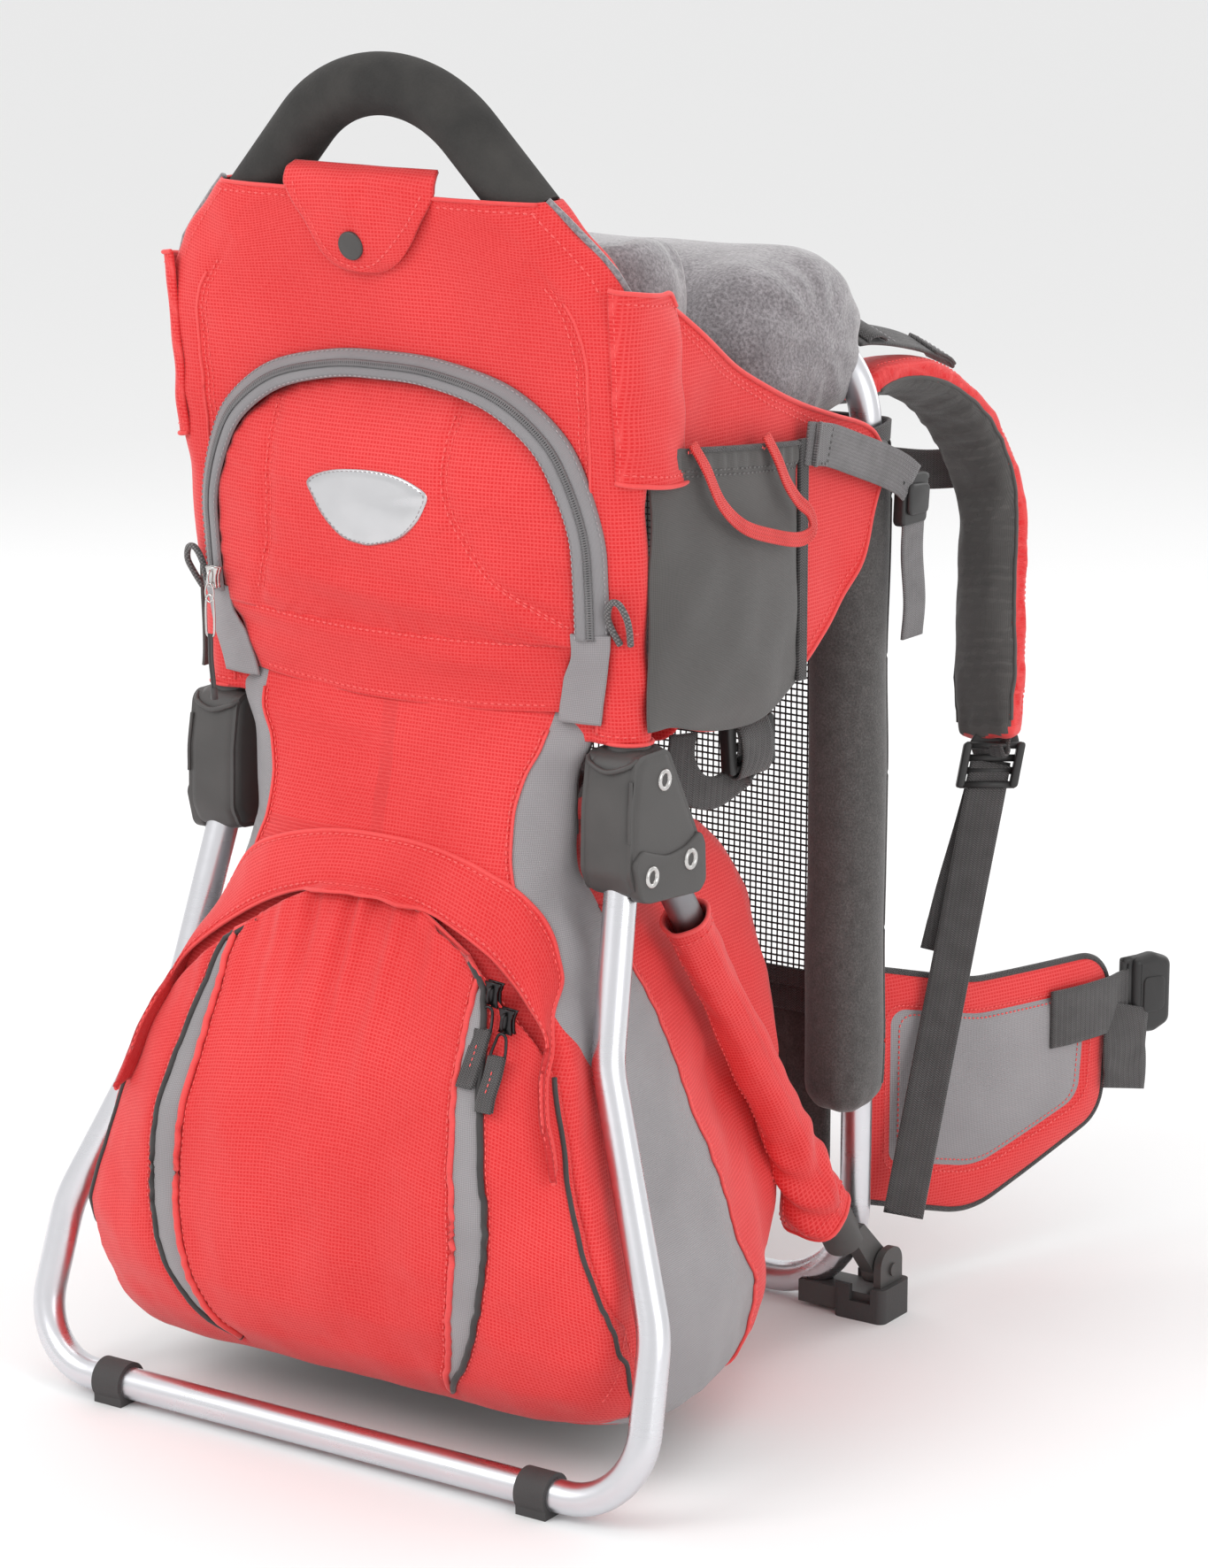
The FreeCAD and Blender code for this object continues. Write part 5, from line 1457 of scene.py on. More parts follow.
def make_gathered_pocket(shell):
    """Three-part pocket whose two pleats open on grey insets."""
    half = even(rom([(x, 0, z) for x, z in HEM], 10), 70)[:, [0, 2]]
    # rows climb from the bottom seam to the arched hem
    rows = np.linspace(0, 1, 96)
    cols = np.linspace(-1, 1, 151)
    z_low = 33 + 13 * np.abs(cols) ** 3
    top_z = np.array([np.interp(abs(c) * 150, half[:, 0][:48], half[:, 1][:48]) for c in cols])
    grid = np.zeros((len(rows), len(cols), 3))
    for j, c in enumerate(cols):
        for i, k in enumerate(rows):
            z = z_low[j] + (top_z[j] - z_low[j]) * k
            x = c * shell_half(z)
            grid[i, j] = (x, 0, z)
    x, z = grid[..., 0], grid[..., 2]
    y = pocket_back(x, z, tree_of(shell))
    gather = smooth01(z, 200, 318) * np.exp(-(x / 105) ** 2)
    folds = np.sin(x / 4.3 + 1.3 * np.sin(x / 17) + 0.012 * (z - 250)) + 0.5 * np.sin(x / 2.1 + 1.0)
    long_folds = np.sin(x / 11.0 + 0.8 * np.sin(z / 60)) * smooth01(z, 60, 160) * smooth01(z, 330, 240)
    p = over(x, z)
    y = y - gather * folds * 2.3 - long_folds * 1.3 - fuzz(np.stack([x, 0 * x, z * 0.5], -1), 30.0,
        6.0) * 1.6
    left, right, dips = pleat_edges()
    for line in dips:
        far, _ = near(p, line)
        y = y + 2.2 * np.exp(-(far / 3.2) ** 2)
    grid[..., 1] = y
    side = facing(grid, (40, 75, 1), -1)
    item = sheet("bag_pocket", grid, 1.8, [RED, RED_IN], side=side, back=1)
    settle(item, "rear_frame", "red_fabric", ["lower_pocket"])
    tree = tree_of(item)
    sewing, trim = Parts(), Parts()
    for outer, inner in (left, right):
        for line, away in ((outer, 1), (inner, -1)):
            shift = np.array([away * np.sign(outer[len(outer) // 2, 0]) * 3.4, 0, 0])
            sewing.stitches(*drape(tree, line[2:-2] + shift, (0, 1, 0), 0.05))
    for s in (-1, 1):
        edge = [(s * x, 0, z) for x, z in half[20:66]]
        sewing.stitches(*drape(tree, np.array(edge) - [s * 5.0, 0, 0], (0, 1, 0), 0.05))
    # The dark binding-coloured tubes along the pocket's two side edges are painted shadow: they stand for
    # the shaded gap where the pocket's sides open.
    for column in (1, -2):
        trim.tube(grid[:, column] + [0, -0.4, 0], 1.5, 8, zone=1)
    settle(sewing.make("bag_pocket_sewing", [RED_THREAD]), "rear_frame")
    insets = Parts()
    for outer, inner in (left, right):
        a, b = even(outer, 60), even(inner, 60)
        rows = []
        for k in (0, 0.12, 0.3, 0.5, 0.7, 0.88, 1):
            q, _ = drape(tree, a * (1 - k) + b * k, (0, 1, 0), 1.5)
            q[:, 1] += 0.3 * math.sin(k * PI)
            rows.append(q)
        g = np.array(rows)
        name = "left" if outer[30, 0] < 0 else "right"
        up = facing(g, (3, 30, 1), -1)
        settle(sheet(f"bag_pleat_{name}", g, 1.4, [GUSSET], side=up), "rear_frame", "dark_fabric")
        q, _ = drape(tree, a, (0, 1, 0), 1.7)
        insets.tube(q, 1.9, 8, zone=0)
        q, _ = drape(tree, b, (0, 1, 0), 1.8)
        trim.tube(q, 2.0, 8)
    settle(insets.make("bag_pleat_piping", [BINDING]), "rear_frame", "webbing")
    settle(trim.make("bag_pleat_folds", [RED, BINDING]), "rear_frame", "red_fabric")
    return item


def pleat_edges():
    """Outer and inner edge of each pleat (x, 0, z), and lines where fabric dips."""
    outer = curve([(85, 0, 304), (95, 0, 268), (106, 0, 222), (114, 0, 180), (117, 0, 142), (112, 0, 108),
        (98, 0, 76), (76, 0, 48)], 4)
    inner = curve([(84, 0, 300), (87, 0, 262), (91, 0, 222), (96, 0, 182), (98, 0, 144), (95, 0, 110),
        (88, 0, 78), (75, 0, 50)], 4)
    lines = []
    pair = []
    for s in (-1, 1):
        a, b = outer * [s, 1, 1], inner * [s, 1, 1]
        pair.append((a, b))
        lines += [a, b]
    return pair[0], pair[1], lines


def make_hood(pocket, shell):
    """Arched band over the pocket's mouth, standing off it like a lip."""
    out = [(0, 350), (32, 348.5), (64, 342), (90, 331), (106, 314), (116, 295), (124, 273), (131, 251),
        (138, 229), (145, 208), (150, 194)]
    hem = [(0, 322), (28, 320.5), (54, 313.5), (80, 301), (105, 283), (126, 262), (133, 243), (140, 222),
        (147, 202), (152, 188)]
    a = even(rom([(x, 0, z) for x, z in out] , 10), 90)
    b = even(rom([(x, 0, z) for x, z in hem], 10), 90)
    a = np.concatenate([mirror(a[::-1]), a[1:]])
    b = np.concatenate([mirror(b[::-1]), b[1:]])
    tree = tree_of(shell, pocket)
    rows = []
    fade = smooth01(np.abs(a[:, 0]), 172, 138)
    for k, lift in ((-0.03, 1.0), (0.03, 2.6), (0.12, 4.0), (0.3, 5.4), (0.5, 7.0), (0.7, 8.2), (0.86, 8.8),
            (0.96, 8.6), (1.02, 7.6)):
        line = a * (1 - k) + b * k
        q, _ = drape(tree, line, (0, 1, 0), 0.0)
        outward = unit(np.stack([0.32 * line[:, 0] / 150, -np.ones(len(line)), np.full(len(line), 0.1)],
            -1))
        rows.append(q + outward * (lift * (0.35 + 0.65 * fade))[:, None])
    g = np.array(rows)
    # smooth the base so that the band does not copy every gather below it
    for _ in range(6):
        g[:, 1:-1] = g[:, 1:-1] * 0.5 + (g[:, :-2] + g[:, 2:]) * 0.25
    g = steady(g, 4)
    g[..., 1] -= fuzz(np.stack([g[..., 0], 0 * g[..., 0], g[..., 2]], -1), 16.0, 3.0) * 0.6
    side = facing(g, (10, 89, 1), -1)
    item = sheet("bag_hood", g, 1.8, [RED, RED_IN], side=side, back=1)
    settle(item, "rear_frame", "red_fabric")
    n = grid_normals(g) * side
    sewing, trim = Parts(), Parts()
    for row in (-7, 4):
        sewing.stitches(g[row] + n[row] * 0.15, n[row])
    trim.tube(g[-1] + [0, 0.5, 0], 1.2, 8)
    trim.tube(g[0] + [0, 0.3, 0], 1.5, 8)
    for column in (0, -1):
        trim.tube(g[:, column] + [0, 0.3, 0], 1.2, 8)
    settle(sewing.make("bag_hood_sewing", [RED_THREAD]), "rear_frame")
    settle(trim.make("bag_hood_hem", [RED]), "rear_frame", "red_fabric")


def make_bag_sliders(pocket):
    """Two zip sliders under the hood's right shoulder, with webbing tabs."""
    tree = tree_of(pocket)
    for name in ("inner", "outer"):
        low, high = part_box(f"bag_slider_{name}")
        x, z = (low.x + high.x) * 500, (low.z + high.z) * 500
        y = low.y * 1000 - SHIFT
        body = Parts()
        slider_shape(body, (x, y + 2.5, z), (0.1, 0, 1), (0, -1, 0), 14, 9, 6)
        settle(body.make(f"bag_slider_body_{name}", [GUNMETAL]), f"bag_slider_{name}", "rivet_steel",
            [f"bag_slider_{name}"])
        low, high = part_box(f"bag_pull_{name}")
        top, foot = high.z * 1000, low.z * 1000
        start, end = high.y * 1000 - SHIFT - 1, low.y * 1000 - SHIFT + 1

        def hang(z, lift=0.0):
            own = start + (end - start) * (top - z) / (top - foot)
            face, _ = drape(tree, [(x, 0, z)], (0, 1, 0), 0.0)
            return min(own, face[0, 1] - 2.4) - lift
        pull = Parts()
        ring = [(-4.2, top - 12), (4.2, top - 12), (3.4, top - 3), (1.6, top + 0.6), (-1.6, top + 0.6),
            (-3.4, top - 3)]
        loop = curve([(x + a, min(hang(c), start - 0.5), c) for a, c in ring], 0.8, closed=True)
        pull.tube(np.concatenate([loop, loop[:2]]), 0.9, 8, up=(0, 1, 0), zone=0)
        for lift, keys in ((1.6, (-10.5, -11.5, -20, -30)), (-0.6, (-10.5, -13, -22, -31))):
            strap = [(x, hang(top + k, lift), top + k) for k in keys] + [(x, hang(foot, lift), foot)]
            pull.ribbon(curve(strap, 1.4), (1, 0, 0), 11, 1.5, zone=1)
        mark = np.array([(x, hang(v, 2.5), v) for v in np.linspace(foot + 10, foot + 22, 8)])
        pull.stitches(mark, np.array([(0, -1, 0)] * 8), 3.2, 2.4, 0.45, 0.5, zone=2)
        item = stripe_uv(pull.make(f"bag_pull_tab_{name}", [GUNMETAL, WEB_DARK, RED_THREAD]), (0, 2))
        settle(item, f"bag_pull_{name}", "webbing", [f"bag_pull_{name}"])


shell = make_bag_shell()
bag_pocket = make_gathered_pocket(shell)
make_hood(bag_pocket, shell)
make_bag_sliders(bag_pocket)


# ---------------------------------------------------------------- side panels and pockets

SIDE_TOP = ([-210, -166, -150, -111, -61, -10, 34, 52, 64], [668, 657, 648, 621, 596, 577, 565, 557, 542])
SIDE_LOW = ([-210, -166, -120, -71, -40, -16, 10, 36, 56, 64], [426, 424, 412, 410, 424, 438, 456, 476, 504,
    530])


def side_top(y):
    return float(np.interp(y, *SIDE_TOP))


def side_low(y):
    return float(np.interp(y, *SIDE_LOW))


def box_uv_side(g):
    return plan_uv(g, (1, 2))


def make_side_panel():
    rows = []
    for k in np.linspace(0, 1, 9):
        row = []
        for y in (-168, -150, -125, -95, -60, -25, 10, 34, 50, 60, 64.5):
            low, top = side_low(y), side_top(y)
            low = low + 3 * smooth01(y, 30, 64)
            z = low + (top - low) * k
            bow = -3.5 * math.sin(PI * np.clip((y + 168) / 232, 0, 1)) * (1 - (2 * k - 1) ** 2)
            row.append((153.6 + bow, y, z))
        rows.append(row)
    g = np.array([rom(row, 8) for row in steady(rows, 8)])
    y, z = g[..., 1], g[..., 2]
    pull = np.sin((z * 0.75 + y * 0.62) / 8.5) * np.exp(-((y - 34) / 40) ** 2) * 0.7
    g[..., 0] += fuzz(g, 34.0, 1.0) * 1.3 + pull + np.sin((z - y * 0.55) / 12) * smooth01(y, -40,
        -150) * 0.8
    side = facing(g, (20, 40, 0), 1)
    item = sheet("side_cloth_right", g, 1.6, [RED, RED_IN], side=side, back=1, uv=box_uv_side(g))
    settle(item, "rear_frame", "red_fabric", ["side_panel_right"])
    trim = Parts()
    trim.tube(g[-1] + [0.2, 0, 0.4], 1.5, 8)
    trim.tube(g[0] + [0.2, 0, -0.2], 1.3, 8)
    edge = trim.make("side_edges_right", [RED])
    settle(edge, "rear_frame", "red_fabric")
    # the piece that wraps outside the upper loop's sleeve
    rows = []
    for z in (559, 575, 600, 625, 648, 664):
        c = float(loop_y(z))
        rows.append([(148, c - 13.4, z + 5), (154.5, c - 12.0, z + 4), (160.2, c - 5, z + 3),
            (162.2, c + 5, z + 1.5), (162.4, c + 18, z), (161, c + 30, z - 0.5),
            (158.6, c + 40, min(z, side_top(c + 40)))])
    w = np.array([rom(row, 7) for row in steady(rows, 8)])
    w[..., 0] += fuzz(w, 22.0, 6.0) * 1.1 + np.sin(w[..., 2] / 6.0 + w[..., 1] * 0.1) * 0.5
    side = facing(w, (20, 24, 0), 1)
    wrap = sheet("side_wrap_right", w, 1.7, [RED, RED_IN], side=side, back=1, uv=box_uv_side(w))
    settle(wrap, "rear_frame", "red_fabric")
    sewing = Parts()
    for part in (w[3], w[:, 3], w[-4]):
        n = unit(part - [130, 0, 0] - part * [0, 1, 1])
        sewing.stitches(part + n * 0.15, np.broadcast_to(n, part.shape))
    tree = tree_of(item)
    for line in ([(0, y, side_top(y) - 5) for y in np.linspace(-150, 60, 70)],
            [(0, y, side_top(y) - 8.6) for y in np.linspace(-150, 52, 70)],
                 [(0, y, side_low(y) + 6) for y in np.linspace(-30, 58, 40)]):
        sewing.stitches(*drape(tree, line, (-1, 0, 0), 0.05))
    settle(sewing.make("side_sewing_right", [RED_THREAD]), "rear_frame")
    trim = Parts()
    for part in (w[0], w[-1]):
        trim.tube(part + [0.3, 0, 0], 1.35, 8)
    settle(trim.make("side_wrap_edges_right", [RED]), "rear_frame", "red_fabric")
    return item


POUCH_FRONT, POUCH_REAR = -37, -187


def make_side_pocket():
    rows = []
    for k in np.linspace(0, 1, 11):
        row = []
        for y in (POUCH_REAR, -180, -165, -140, -110, -80, -55, -42, POUCH_FRONT):
            low = side_low(y) - 1.5
            top = 579 - 0.105 * (y + 174)
            z = low + (top - low) * k
            fat = math.sin(PI * np.clip((y - POUCH_REAR) / (POUCH_FRONT - POUCH_REAR), 0, 1)) ** 0.6
            x = 156.8 + 11.5 * fat * (math.sin(PI * min(1, k * 1.12)) ** 0.55 if k < 0.893 else 0.0
                + 0.62 * (1 - (k - 0.893) * 2))
            if k >= 0.85:
                x = 156.8 + 11.5 * fat * (0.62 - (k - 0.85) * 0.9)
            if y < -170:
                x = max(x, 157.6 + (y + 170) * 0.05)
            row.append((x, y, z))
        rows.append(row)
    g = np.array([rom(row, 9) for row in steady(rows, 7)])
    y, z = g[..., 1], g[..., 2]
    top = 579 - 0.105 * (y + 174)
    band = smooth01(z, top - 15, top - 11)
    g[..., 0] += fuzz(g, 36.0, 2.0) * 1.6 * (1 - band) + band * (1.3
        + 0.75 * np.sin(y / 2.1 + np.sin(y / 9)) * smooth01(z, top, top - 5))
    g[..., 0] += np.exp(-((z - 440 - 0.12 * y) / 9) ** 2) * 1.2
    side = facing(g, (30, 30, 0), 1)
    item = sheet("side_pouch_right", g, 1.8, [DARK], side=side, uv=box_uv_side(g))
    settle(item, "rear_frame", "dark_fabric", ["side_pocket_right"])
    tree = tree_of(item)
    trim = Parts()
    line = even(np.array([(161, POUCH_FRONT, v) for v in np.linspace(side_low(POUCH_FRONT), 565.5, 60)]),
        60)
    trim.ribbon(line + [-1.2, 2.2, 0], (0.12, 1, 0), 8.5, 3.0, zone=0)
    line = [(0, y, 579 - 0.105 * (y + 174) - 1) for y in np.linspace(POUCH_REAR + 30, POUCH_FRONT, 60)]
    q, n = drape(tree, line, (-1, 0, 0), 0.4)
    trim.tube(q, 1.6, 8, zone=0)
    settle(stripe_uv(trim.make("side_pouch_binding_right", [BINDING])), "rear_frame", "webbing")
    sewing = Parts()
    for depth in (12.5, 15.5):
        line = [(0, y, 579 - 0.105 * (y + 174) - depth) for y in np.linspace(POUCH_REAR + 8,
            POUCH_FRONT - 3, 90)]
        sewing.stitches(*drape(tree, line, (-1, 0, 0), 0.1))
    settle(sewing.make("side_pouch_sewing_right", [DARK_THREAD]), "rear_frame")
    # red webbing handle hanging over the pocket
    spine = curve([(164, -157, 580), (170, -152, 566), (172.5, -140, 545), (173.5, -118, 529),
        (174.5, -88, 519), (175, -62, 513.5),
                   (175.5, -49, 517), (174, -50, 527), (172.5, -60, 535), (171.5, -71, 547),
        (170.5, -79, 561), (165.5, -84, 575)], 2.0)
    way = unit(np.gradient(spine, axis=0))
    across = np.cross(way, unit(np.array([1.0, 0.1, 0.1])))
    loop = ribbon("side_handle_right", spine, across, 8.5, 1.5, [WEB_RED])
    settle(loop, "rear_frame", "webbing")
    tacks = Parts()
    for y, z in ((-157, 578), (-84, 571)):
        for k in range(4):
            a = np.array([(166.5 if y < -100 else 168.0, y - 3 + 2 * k, z + v)
                for v in np.linspace(-5, 4, 8)])
            q, n = drape(tree, a, (-1, 0, 0), 1.6)
            tacks.stitches(q, n, 3.0, 2.2)
    settle(tacks.make("side_handle_tacks_right", [RED_THREAD]), "rear_frame")


def make_side_strap():
    """Grey strap from the pocket to the cam buckle on the back pad."""
    spine = curve([(161.5, -34, 563), (162.5, -26, 561.5), (162.3, -8, 558), (161.5, 20, 549),
        (161.8, 52, 538), (163.5, 70, 530), (165.5, 78, 524)], 2.5)
    strap = ribbon("side_strap_right", spine, (0.03, 0.32, 1), 25, 1.8, [WEB_GREY])
    settle(strap, "rear_frame", "webbing")
    extra = Parts()
    extra.ribbon(spine[2:9] + [1.9, 0, 0], (0.03, 0.32, 1), 24.6, 1.6)
    extra.ribbon(spine[2:4] + [3.2, 0, 0], (0.03, 0.32, 1), 26, 1.6)
    patch = extra.make("side_strap_patch_right", [WEB_GREY])
    stripe_uv(patch)
    settle(patch, "rear_frame", "webbing")
    sewing = Parts()
    for k in (-10.5, 10.5):
        sewing.stitches(spine[2:9] + [2.8, 0.3 * k, k], np.array([(1, 0, 0)] * 7), 3.2, 2.3)
    for i in (3, 8):
        line = np.array([spine[i] + [2.9, 0.3 * v, v] for v in np.linspace(-10.5, 10.5, 8)])
        sewing.stitches(line, np.array([(1, 0, 0)] * 8), 3.2, 2.3)
    settle(sewing.make("side_strap_sewing_right", [DARK_THREAD]), "rear_frame")


def make_ladder_lock():
    """Webbing adjuster under the side pocket."""
    body = Parts()
    centre = np.array([147.0, -72.0, 394.0])
    u, v = unit(np.array([0.25, 0.95, 0.1])), np.array([0.0, -0.1, 1.0])
    out = unit(np.cross(u, v))
    if out[0] < 0:
        out = -out

    def place(a, b, c):
        return centre + u * a + v * b + out * c
    for a in (-15, 15):
        outline = rounded([(a - 3, -15), (a + 3, -15), (a + 3, 15), (a - 3, 15)], 2.4, 1.0)
        body.rings(plate_rings(outline, place, -4, 5, 1.6, 3))
    for b in (-13, 0, 13):
        body.tube([place(-16, b, 1), place(16, b, 1)], 2.6, 12, up=tuple(out))
    settle(body.make("side_lock_right", [BLACK_PLASTIC]), "rear_frame", "dark_plastic")
    web = Parts()
    path = [place(0, 26, -7), place(0, 19, -2), place(0, 12, 4.6), place(0, 5, 6.4), place(0, -3, 4.5),
        place(0, -6, -1), place(0, -12, -4), place(0, -18, -2), place(0, -17, 4), place(0, -9, 8.2),
        place(0, 0, 9.4), place(0, 9, 8.4), place(0, 16, 4)]
    web.ribbon(curve(path, 1.6), u, 24, 1.6)
    tail = curve([place(0, -14, -5), place(-6, -22, -7), place(-20, -26, -8), place(-34, -20, -9),
        place(-42, -4, -10), place(-40, 14, -9)], 2.0)
    web.ribbon(tail, (0.2, 0.35, 1), 20, 1.6)
    settle(stripe_uv(web.make("side_lock_webbing_right", [WEB_DARK])), "rear_frame", "webbing")


# ---------------------------------------------------------------- strut sleeves

STRUT_FOOT = np.array([137.0, 57.0, 58.0])
STRUT_LEAN = math.radians(35.9)
STRUT_UP = np.array([0.0, -math.sin(STRUT_LEAN), math.cos(STRUT_LEAN)])
STRUT_OUT = np.array([0.0, math.cos(STRUT_LEAN), math.sin(STRUT_LEAN)])


def make_strut_sleeve():
    rings = []
    sides = 44
    a = np.arange(sides) / sides * 2 * PI
    keys = ([36, 40, 60, 90, 130, 180, 240, 285, 300], [22.5, 22.5, 20.5, 17.5, 16.2, 15.4, 14.6, 14.4,
        15.4])
    drop = ([36, 60, 90, 130, 300], [9, 7, 4, 1.5, 0.5])
    for s in np.linspace(36, 301, 120):
        r = np.interp(s, *keys)
        sag = np.interp(s, *drop)
        centre = STRUT_FOOT + STRUT_UP * s - STRUT_OUT * sag
        bunch = smooth01(s, 135, 60)
        ripple = (np.sin(s / 5.2 + 1.9 * np.sin(a * 2 + s / 27) + 1.2 * np.cos(a)) * (0.35 + 2.2 * bunch)
                  + np.sin(a * 5 + s / 33) * 0.5 + np.sin(s / 15 + a * 2) * 0.7)
        r_all = r + ripple
        flat = np.where(np.sin(a) > 0, 0.86, 1.0)
        rings.append(centre + (r_all * np.cos(a) * 0.86)[:, None] * np.array([1.0, 0, 0])
            + (r_all * np.sin(a) * flat)[:, None] * STRUT_OUT)
    g = np.array(rings)
    mid = g.mean(1, keepdims=True)
    inner = mid + (g - mid) * 0.9
    whole = np.concatenate([g, inner[::-1], g[:1]])
    uv = np.zeros(whole.shape[:2] + (2,))
    uv[..., 0] = (a * 15 / 1000)[None]
    uv[..., 1] = (np.arange(len(whole)) * 2.2 / 1000)[:, None]
    item = solid_of_rings("sleeve_right", whole, [RED], caps=False, uv=uv)
    # the tube of cloth closes on its own first ring
    shape = bmesh.new()
    shape.from_mesh(item.data)
    bmesh.ops.remove_doubles(shape, verts=shape.verts, dist=1e-6)
    shape.to_mesh(item.data)
    shape.free()
    settle(item, "rear_frame", "red_fabric", ["strut_sleeve_right"])
    trim, sewing = Parts(), Parts()
    for i in (0, -1):
        ring = np.concatenate([g[i], g[i][:2]])
        trim.tube(ring, 1.3, 8)
    seam = g[4:-4, 30]
    n = unit(seam - mid[4:-4, 0])
    sewing.stitches(seam + n * 0.2, n)
    for i in (4, -5):
        ring = np.concatenate([g[i], g[i][:1]])
        sewing.stitches(ring + unit(ring - mid[i]) * 0.2, unit(ring - mid[i]))
    settle(trim.make("sleeve_hems_right", [RED]), "rear_frame", "red_fabric")
    settle(sewing.make("sleeve_sewing_right", [RED_THREAD]), "rear_frame")


# ---------------------------------------------------------------- hinge housings

HOUSING = [(-199, 412.5), (-204.4, 380), (-205.4, 345), (-198, 330.8), (-136, 325.8), (-131.6, 352),
    (-165, 412.5)]
HOUSING_RADII = [13, 26, 16, 9, 11, 15, 11]


def make_housing():
    """Soft-edged moulding round the knee, with a screwed plate over the pivot."""
    body = Parts()
    outline = rounded(HOUSING, HOUSING_RADII, 1.4)
    body.rings(plate_rings(outline, lambda u, v, w: (w, u, v), 120.4, 156.4, 8.5, 9))
    plate = rounded([(-203, 352), (-197, 329), (-187, 326.5), (-137, 322.5), (-130.5, 328), (-131.5, 350),
        (-136, 358.5), (-152, 352), (-170, 350.5), (-186, 355.5), (-196, 359)],
        [6, 8, 8, 7, 6, 6, 5, 30, 30, 12, 6], 1.2)
    body.rings(plate_rings(plate, lambda u, v, w: (w, u, v), 150, 158.2, 1.5, 4))
    collar = [(137.9 + 12.6 * math.cos(t), loop_y(411) + 12.6 * math.sin(t))
        for t in np.linspace(0, 2 * PI, 41)[:-1]]
    body.rings(plate_rings(np.array(collar), lambda u, v, w: (u, v, w), 404, 416.4, 2.2, 3))
    lip = curve([(122.5, -196.5, 408), (126, -200.5, 405.5), (138, -202.5, 402), (150, -200.5, 405.5),
        (153.5, -195, 409)], 1.6)
    body.tube(lip, 1.5, 10)
    body.tube(curve([(153.6, -201, 398), (154.4, -203.2, 380), (154.4, -203.8, 364)], 2.0), 1.1, 8)
    item = body.make("housing_cover_right", [PLASTIC])
    split = item.modifiers.new("edges", "EDGE_SPLIT")
    split.split_angle = math.radians(50)
    settle(item, "rear_frame", "dark_plastic")
    pocket = Parts()
    slot = rounded([(126.5, -190), (149, -190), (149, -177), (126.5, -177)], 5.5, 1.2)
    pocket.rings(plate_rings(slot, lambda u, v, w: (u, v + 1.5, w + 412.4), -1, 0.8, 0.5, 2))
    settle(pocket.make("housing_slot_right", [RUBBER]), "rear_frame", "dark_plastic")
    rivets = Parts()
    for y, z, x in ((-172, 394, 156.1), (-148, 344, 157.9), (-187, 342, 157.9)):
        rings = []
        a = np.arange(28) / 28 * 2 * PI
        for radius, lift in ((6.4, -0.5), (6.4, 0.7), (5.9, 1.5), (5.0, 1.8), (4.0, 1.5), (3.4, 0.7),
                (3.3, -1.2), (1.6, -1.3), (0.2, -1.3)):
            rings.append(np.stack([np.full(28, x + lift), y + radius * np.cos(a), z + radius * np.sin(a)],
                1))
        rivets.rings(rings)
    settle(rivets.make("housing_eyelets_right", [STEEL]), "rear_frame", "rivet_steel", ["housing_rivets"])


make_side_panel()
make_side_pocket()
make_side_strap()
make_ladder_lock()
make_strut_sleeve()
make_housing()


# ---------------------------------------------------------------- stuffed pieces

def puff(item, cap, voxel=5.0, pressure=4.0, frames=20, soft=1.0):
    """Swells a closed pad as its stuffing would, and keeps the swollen shape."""
    remesh = item.modifiers.new("even", "REMESH")
    remesh.mode = "VOXEL"
    remesh.voxel_size = voxel / 1000
    apply_modifiers(item)
    start = np.array([v.co for v in item.data.vertices], float)
    cloth = item.modifiers.new("cloth", "CLOTH")
    set_up = cloth.settings
    set_up.quality = 5
    set_up.mass = 0.3
    set_up.tension_stiffness = set_up.compression_stiffness = 15 * soft
    set_up.shear_stiffness = 5
    set_up.bending_stiffness = 0.5
    set_up.use_pressure = True
    set_up.uniform_pressure_force = pressure
    set_up.effector_weights.gravity = 0
    cloth.point_cache.frame_start, cloth.point_cache.frame_end = 1, frames
    scene = bpy.context.scene
    for f in range(1, frames + 1):
        scene.frame_set(f)
    depsgraph = bpy.context.evaluated_depsgraph_get()
    done = item.evaluated_get(depsgraph).to_mesh()
    end = np.array([v.co for v in done.vertices], float)
    item.modifiers.remove(cloth)
    scene.frame_set(1)
    move = end - start
    size = np.linalg.norm(move, axis=1, keepdims=True)
    move *= np.minimum(1, (cap / 1000) / np.maximum(size, 1e-9))
    item.data.vertices.foreach_set("co", (start + move).ravel())
    item.data.update()
    item.data.polygons.foreach_set("use_smooth", np.ones(len(item.data.polygons), bool))


def apply_modifiers(item):
    depsgraph = bpy.context.evaluated_depsgraph_get()
    mesh = bpy.data.meshes.new_from_object(item.evaluated_get(depsgraph))
    item.modifiers.clear()
    item.data = mesh


def points_of(item):
    co = np.array([v.co for v in item.data.vertices], float) * 1000
    co[:, 1] -= SHIFT
    return co


def set_points(item, points):
    item.data.vertices.foreach_set("co", metres(points).ravel())
    item.data.update()


def press(item, move):
    """Moves every vertex along its normal by move(points) millimetres."""
    p = points_of(item)
    n = np.array([v.normal for v in item.data.vertices], float)
    set_points(item, p + n * np.asarray(move(p))[:, None])


def refine(item, levels=1):
    sub = item.modifiers.new("smooth", "SUBSURF")
    sub.levels = sub.render_levels = levels
    apply_modifiers(item)
    item.data.polygons.foreach_set("use_smooth", np.ones(len(item.data.polygons), bool))


